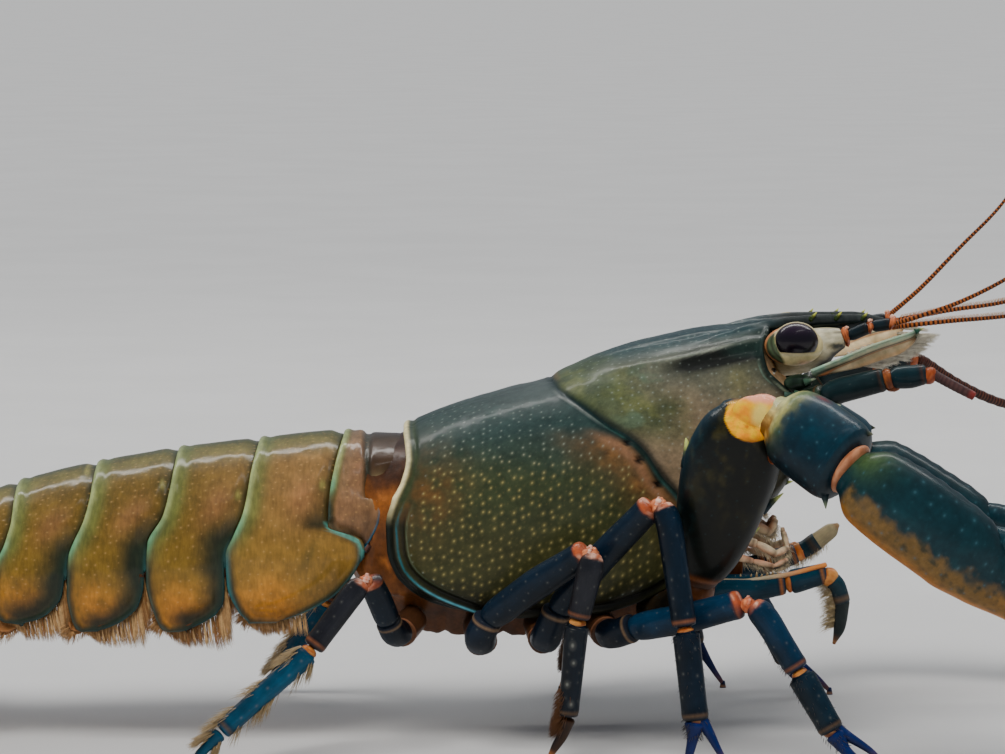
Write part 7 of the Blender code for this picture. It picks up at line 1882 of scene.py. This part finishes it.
def build_feelers(limb_look, soft, claw_look, hair):
    """Antennules, antenna bases, their scales and the long feelers."""
    lashes = {"right": (RIGHT_OUTER_LASH, RIGHT_INNER_LASH), "left": (LEFT_OUTER_LASH, LEFT_INNER_LASH)}
    light, dark = rgb(170, 92, 40), rgb(28, 14, 12)
    hairs = []
    for side, label in SIDES:
        base = Piece()
        spots = [np.array(on_side(p, side)) for p in ANTENNULE_PATH]
        joint = [np.array(on_side(v, side))
                 for v in ((45.5, -2.5, 41.25), (47.95, -2.9, 42.35), (50.15, -3.2, 42.7))]
        body = [on_side(v, side) for v in ((38.6, -2.1, 38.6, 3.0, 2.4), (41.0, -2.3, 39.5, 4.0, 2.8),
                (42.5, -2.4, 40.15, 4.2, 2.8), (43.8, -2.45, 40.75, 3.2, 2.5), (45.1, -2.5, 41.15, 2.1, 1.9))]

        def pale(t, turn, p):
            shade = rough_grain(p * (0.6, 1, 1.4), 0.8, 701)
            tone = mottled((212, 206, 180), (172, 162, 132), -0.5, 0.5, shade)
            tone = mix(tone, rgb(44, 54, 58), ramp(0.05, 0.5, shade) * ramp(43.4, 44.4, p[:, 0]) * 0.9)
            low = np.abs(turn - math.pi)
            return mix(tone, rgb(10, 14, 20),
                       ramp(1.1, 0.6, low + 0.3 * shade) * ramp(41.5, 43.0, p[:, 0]) * 0.95)

        limb(base, body, pale, sides=36, step=0.2, marks=(0, 0.6, 0.5), caps=(0.5, 0.3))
        for k, (a, b, size) in enumerate([(joint[0], joint[1], 1.3), (joint[1], joint[2], 1.25)]):
            stations = [(*(a + (b - a) * s), size * f, size * f)
                        for s, f in ((0.12, 0.9), (0.35, 1.0), (0.7, 1.0), (0.9, 0.95))]
            leg_part(base, stations, 710 + k, rgb(5, 9, 12), rgb(18, 34, 42), rgb(60, 40, 28), dots=0.1)
        for k, (spot, tall) in enumerate(zip(joint, (1.15, 0.8, 0.86))):
            swelling(base, spot, (0.36, tall * 0.95, 0.78), (1, 0, 0.25 - 0.3 * k),
                     (rgb(110, 40, 18), rgb(206, 116, 70)), 720 + k, 0.26)
            # Painted highlight: a small pale pink swelling on top of each joint.
            swelling(base, spot + (0.05, 0, tall * 0.8), (0.3, 0.24, 0.24), (1, 0, 0.3),
                     (rgb(226, 150, 120), rgb(250, 214, 190)), 725 + k, 0.1, sides=14, rows=9)
        base.make(f"antennule_base_{label}", limb_look, "limb", f"antennule_{label}")
        for kind, points in zip(("outer", "inner"), lashes[label]):
            full = [tuple(joint[2] + (0.3, 0, 0.05)), *points]
            stations, colour, shape = banded(full, 0.62, 0.26, light, dark)
            lash = Piece()
            limb(lash, stations, colour, sides=10, step=0.075, shape=shape, marks=(0, 0.3, 0.4),
                 caps=(0.5, 1.0))
            lash.make(f"antennule_{kind}_{label}", soft, "feeler", f"antennule_{kind}_lash_{label}")
            if kind == "inner":
                rows = routed(points, 160)[8:150]
                rng = np.random.default_rng(730 + side)
                for tick in (-0.06, 0.06):
                    hairs.append((rows + (0, tick, 0.2),
                                  np.array((0.35, tick * 3, 1.0)) + rng.normal(0, 0.05, (len(rows), 3)),
                                  np.full(len(rows), 0.42),
                                  np.stack([np.linspace(0.05, 0.95, len(rows)),
                                            np.full(len(rows), 0.1 + 0.05 * (side + 1) + tick)], -1),
                                  np.broadcast_to(rgb(206, 150, 90), (len(rows), 3))))
        feeler = Piece()
        spots = [np.array(on_side(p, side)) for p in ANTENNA_PATH]
        leg_part(feeler,
                 [(*spots[0], 3.3, 3.2), (*spots[1], 3.4, 3.2),
                  (*(spots[1] * 0.45 + spots[2] * 0.55), 2.9, 2.8)], 740, rgb(10, 20, 15), rgb(34, 56, 42),
                 rgb(120, 76, 44), dots=0.2, sides=30)
        leg_part(feeler,
                 [(*(spots[1] * 0.35 + spots[2] * 0.65), 2.5, 2.4), (*spots[2], 2.6, 2.5),
                  (*(spots[2] * 0.4 + spots[3] * 0.6), 2.5, 2.4), (*(spots[3] + (0.1, 0, 0)), 2.35, 2.2)],
                 742, rgb(5, 9, 12), rgb(20, 42, 46), rgb(70, 44, 30), dots=0.15, sides=30)
        swelling(feeler, spots[3] + (0.62, 0, 0.05), (0.7, 1.12, 1.05), (1, -0.15, 0.35),
                 (rgb(92, 42, 18), rgb(150, 84, 44)), 743, 0.07)
        swelling(feeler, spots[3] + (1.1, 0, -0.75), (0.75, 0.45, 0.6), (1, 0, 0.1),
                 (rgb(92, 42, 18), rgb(150, 84, 44)), 744, 0.07)
        leg_part(feeler,
                 [(*(spots[3] + (1.0, -0.05 * -side, 0.2)), 2.15, 2.1),
                  (*(spots[3] * 0.5 + spots[5] * 0.5 + (0.3, 0, 0)), 2.35, 2.2),
                  (*(spots[5] - (0.4, 0, 0)), 2.0, 1.9)], 744, rgb(6, 14, 18), rgb(14, 44, 52),
                 rgb(96, 50, 30), dots=0.15, sides=30)
        swelling(feeler, spots[5] + (0.0, 0, -0.15), (0.75, 0.95, 0.9), (1, 0, -0.5),
                 (rgb(126, 46, 16), rgb(176, 92, 50)), 745, 0.08)
        for at, way in (((41.2, -7.7, 37.2), (1, -0.3, 0.35)), ((43.6, -8.9, 35.0), (1, -0.3, -0.1)),
                        ((40.3, -7.2, 35.9), (1, -0.5, 0.1))):
            spine(feeler, np.array(on_side(at, side)), (way[0], -side * way[1], way[2]), 1.0, 0.32,
                  rgb(56, 84, 66), rgb(196, 206, 170))
        swelling(feeler, np.array(on_side((42.9, -8.2, 34.8), side)), (1.5, 0.9, 0.9), (1, 0, 0.3),
                 (rgb(24, 32, 24), rgb(84, 88, 62)), 747, 0.08)
        swelling(feeler, np.array(on_side((40.4, -6.4, 37.0), side)), (1.5, 0.8, 0.8), (1, 0, 0.1),
                 (rgb(10, 22, 17), rgb(40, 58, 44)), 749, 0.1)
        feeler.make(f"feeler_base_{label}", limb_look, "limb", f"antenna_base_{label}")
        root, tip = np.array(on_side(SCALE_ROOT, side)), np.array(on_side(SCALE_TIP, side))
        back = (root - tip) / np.linalg.norm(root - tip)
        flat = np.array((0, 1.0, 0)) - back * back[1]
        flat /= np.linalg.norm(flat)
        rise = np.cross(back, flat)
        rise *= np.sign(rise[2])
        inward = flat * -side * math.cos(math.radians(48)) - rise * math.sin(math.radians(48))
        face = np.cross(back, inward)
        rows, columns = 60, 34
        s, q = np.linspace(0, 1, rows)[:, None], np.linspace(0, 1, columns)[None]
        blade = smooth([(0, 0.8), (0.2, 1.4), (0.5, 2.2), (0.75, 2.3), (0.9, 1.6), (1, 0.3)], s)
        outer_edge = (root - back * (np.linalg.norm(root - tip) * s)[..., None]
                      - inward * (smooth([(0, 0.9), (0.5, 0.85), (1, 0.1)], s))[..., None])
        curve = 0.28 * np.sin(q * math.pi) + 0.32 * near(q * blade, 0.15, 0.3) * (1 - 0.5 * s)
        points = (outer_edge + inward * (blade * q)[..., None]
                  + face * curve[..., None] * np.sign(face[2])).reshape(-1, 3)
        closed, faces, source, _ = thicken(points, grid_quads(rows, columns), SCALE_THICK,
                points.mean(0) - face * np.sign(face[2]) * 30)
        s, q = (s + 0 * q).ravel(), np.tile(np.linspace(0, 1, columns), rows)
        wide = np.repeat(blade.ravel(), columns) * q
        shade = rough_grain(points, 1.2, 751)
        tone = mottled((232, 208, 166), (196, 172, 130), -0.4, 0.6, shade)
        tone = layered(tone, (
            ((206, 138, 76), near(q, 0.95, 0.12) * ramp(0.2, 0.5, s) * 0.4),
            ((40, 44, 28), ramp(0.3, 0.12, s) * 0.9)))
        tone = mix(tone, mottled((206, 214, 180), (168, 204, 178), -0.3, 0.4, shade),
                   np.exp(-(wide / 0.62) ** 6))
        tone = layered(tone, (
            ((60, 104, 84), near(wide, 0.0, 0.06) * 0.4),
            ((14, 44, 30), near(wide, 0.8, 0.13) * 0.9),
            ((150, 84, 34), near(wide, 1.05, 0.12) * 0.8),
            ((14, 44, 36), ramp(0.85, 1.0, s) * 0.6)))
        piece = Piece().add(closed, faces, tone[source], (0, 0.5, 0.6))
        spine(piece, tip + back * 0.25 - inward * 0.1, -back, 0.8, 0.26, rgb(30, 70, 54), rgb(196, 200, 110))
        piece.make(f"scale_{label}", claw_look, "claw", f"antennal_scale_{label}")
        rng = np.random.default_rng(760 + side)
        tufts = rng.choice(np.nonzero((q > 0.93) & (s > 0.4) & (s < 0.97))[0], 30)
        pick = tufts[rng.integers(0, 30, SCALE_HAIRS)]
        ways = (inward * 0.75 - back * (0.3 + 1.2 * s[pick])[:, None]
                + 0.25 * grain(points[pick], 0.5, 9)[:, None] * inward
                + rng.normal(0, 0.05, (SCALE_HAIRS, 3)))
        hairs.append((points[pick] + rng.normal(0, 0.08, (SCALE_HAIRS, 3)), ways,
                      rng.uniform(1.5, 2.9, SCALE_HAIRS),
                      np.stack([0.1 + 0.8 * s[pick],
                                0.5 + 0.2 * side + 0.1 * rng.uniform(-1, 1, SCALE_HAIRS)], -1),
                      np.broadcast_to(rgb(244, 236, 214), (SCALE_HAIRS, 3))))
    stub = [(53.9, -9.4, 38.0, 1.25, 1.25), *[(*p, 1.0, 1.0) for p in RIGHT_STUMP]]
    stub[-1] = (*stub[-1][:3], 0.92, 0.92)
    length = reach_of(stub)

    def broken(t, turn, p):
        tone = mottled((82, 56, 54), (62, 42, 42), -0.3, 0.5, np.cos(t * length / 0.34 * 2 * math.pi) * 0.3
                       + 0.5 * rough_grain(p, 0.7, 3))
        return mix(tone, rgb(122, 44, 40), ramp(0.88, 0.97, t))

    piece = Piece()
    limb(piece, stub, broken, sides=20, step=0.08, shape=lambda t,
         a: 1 - 0.03 * np.cos(t * length / 0.34 * 2 * math.pi), marks=(0, 0.4, 0.5), caps=(0.5, 0.5))
    piece.make("feeler_right", soft, "feeler", "antenna_flagellum_right")
    piece = Piece()
    stations, colour, shape = banded([(53.7, 9.4, 38.0), *LEFT_FLAGELLUM], 1.25, 0.34, rgb(96, 54, 40),
            rgb(40, 24, 24), 0.42)
    limb(piece, stations, colour, sides=12, step=0.1, shape=lambda t, a: 1 - 0.05 * np.cos(t * 300),
         marks=(0, 0.3, 0.4))
    piece.make("feeler_left", soft, "feeler", "antenna_flagellum_left")
    roots, ways, lengths, spots, tints = joined(hairs)
    bristles("feeler_hairs", hair, "claw", roots, ways, lengths, 0.04, tints, spots, (0, 0, -0.05))


# The studio. Places are in metres, powers in watts, angles in degrees.
WARM_WHITE = (1.0, 0.98, 0.95)
SKY_COLOUR, SKY_STRENGTH = (0.8, 0.88, 1.0, 1.0), 0.32
LAMP_TARGET = (0.0, 0.0, 0.028)
SUN_POWER, SUN_SPREAD, SUN_PLACE = 2.8, 34, (-0.25, -0.62, 1.0)
# Each area lamp: name, place, width, depth and power. The gloss lamp shows only in reflections.
AREA_LAMPS = (("strip", (0.0, 0.36, 0.4), 0.9, 0.03, 0.9), ("rim", (0.25, -0.3, 0.8), 0.5, 0.05, 0.5),
              ("gloss", (0.0, 0.21, 0.48), 0.9, 0.06, 2.8))
# The camera looks at a place (x, height) on the middle plane, given in working millimetres.
LENS, CAMERA_PITCH, CAMERA_AIM, CAMERA_AWAY = 156.4, 5.5, (10.36, 36.91), 0.45


def build_stage():
    """The floor, the lights and the camera."""
    rows, columns = 60, 40
    x, y = np.meshgrid(np.linspace(-5.0, 5.0, columns), -2.0 + 16.0 * np.linspace(0, 1, rows) ** 2,
                       indexing="xy")
    points = np.stack([x, y, np.zeros_like(x)], -1).reshape(-1, 3)
    mesh = bpy.data.meshes.new("floor")
    mesh.from_pydata(points.tolist(), [], grid_quads(rows, columns).tolist())
    floor = in_scene("floor", mesh)
    n = Nodes("floor_paper")
    vary = n.range(n.noise(40.0, 3.0), 0.3, 0.7)
    n.put(n.shader.inputs["Base Color"], n.mix(vary, (0.66, 0.655, 0.645, 1.0), (0.69, 0.685, 0.675, 1.0)))
    n.set(("Roughness", 0.9), ("Specular IOR Level", 0.1))
    mesh.materials.append(n.look)
    world = bpy.data.worlds.new("studio")
    world.use_nodes = True
    for socket, value in zip(world.node_tree.nodes["Background"].inputs, (SKY_COLOUR, SKY_STRENGTH)):
        socket.default_value = value
    bpy.context.scene.world = world
    target = Vector(LAMP_TARGET)
    sun = bpy.data.lights.new("sun", "SUN")
    sun.energy, sun.angle, sun.color = SUN_POWER, math.radians(SUN_SPREAD), WARM_WHITE
    lamps = [(sun, SUN_PLACE)]
    for label, place, size, deep, power in AREA_LAMPS:
        lamp = bpy.data.lights.new(label, "AREA")
        lamp.shape, lamp.size, lamp.size_y = "RECTANGLE", size, deep
        lamp.energy, lamp.color = power, WARM_WHITE
        lamps.append((lamp, place))
    for lamp, place in lamps:
        made = in_scene(lamp.name, lamp)
        made.location = place
        made.rotation_euler = (target - Vector(place)).to_track_quat("-Z", "Y").to_euler()
        made.visible_glossy = lamp.name in ("rim", "gloss")
        made.visible_diffuse = lamp.name != "gloss"
    camera = bpy.data.cameras.new("camera")
    camera.lens, camera.sensor_width, camera.clip_start = LENS, 36.0, 0.01
    made = in_scene("camera", camera)
    pitch = math.radians(CAMERA_PITCH)
    aim = Vector(((CAMERA_AIM[0] - MIDDLE_X) * MM, -MIDDLE_Y * MM, CAMERA_AIM[1] * MM))
    made.location = aim + Vector((0, -math.cos(pitch), math.sin(pitch))) * CAMERA_AWAY
    made.rotation_euler = (math.radians(90) - pitch, 0, 0)
    bpy.context.scene.camera = made


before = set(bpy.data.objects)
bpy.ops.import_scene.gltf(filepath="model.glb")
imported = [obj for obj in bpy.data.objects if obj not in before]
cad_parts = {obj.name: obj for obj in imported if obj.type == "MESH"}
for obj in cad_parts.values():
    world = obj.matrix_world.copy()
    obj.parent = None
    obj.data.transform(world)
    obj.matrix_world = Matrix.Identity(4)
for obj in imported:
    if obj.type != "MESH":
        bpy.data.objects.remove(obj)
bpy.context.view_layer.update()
SHELL = skin_look("shell_skin", rgb(186, 168, 102), spacing=1.0, dot_size=0.25, second=0.12, coat=0.17,
                  coat_rough=0.18, faint=rgb(176, 190, 176))
TAIL = skin_look("tail_skin", rgb(216, 170, 104), spacing=1.2, dot_size=0.26, streak=(1.6, 0.35, 1.0),
                 streak_size=0.5, coat=0.4, coat_rough=0.16)
FLESH = skin_look("soft_skin", rgb(220, 180, 130), rough=0.4, relief=0.05, coat=0.2)
CLAW = skin_look("claw_skin", rgb(64, 108, 120), spacing=1.5, dot_size=0.27, rough=0.4, coat=0.22)
LIMB = skin_look("limb_skin", rgb(120, 120, 112), spacing=1.5, dot_size=0.24, rough=0.42, coat=0.25,
                 streak=(0.5, 2.0, 1.0))
HAIR = hair_look("bristle")
EYE = eye_look("eye_glass")
build_shell(SHELL)
build_tail(TAIL, HAIR)
build_flesh(FLESH)
build_fan(TAIL, HAIR)
build_swimmerets(FLESH, HAIR)
build_legs(LIMB, HAIR)
for claw_side in (-1, 1):
    build_claw(claw_side, CLAW, FLESH)
build_mouth(LIMB, FLESH, HAIR)
build_eyes(EYE, FLESH)
build_feelers(LIMB, FLESH, CLAW, HAIR)
build_stage()
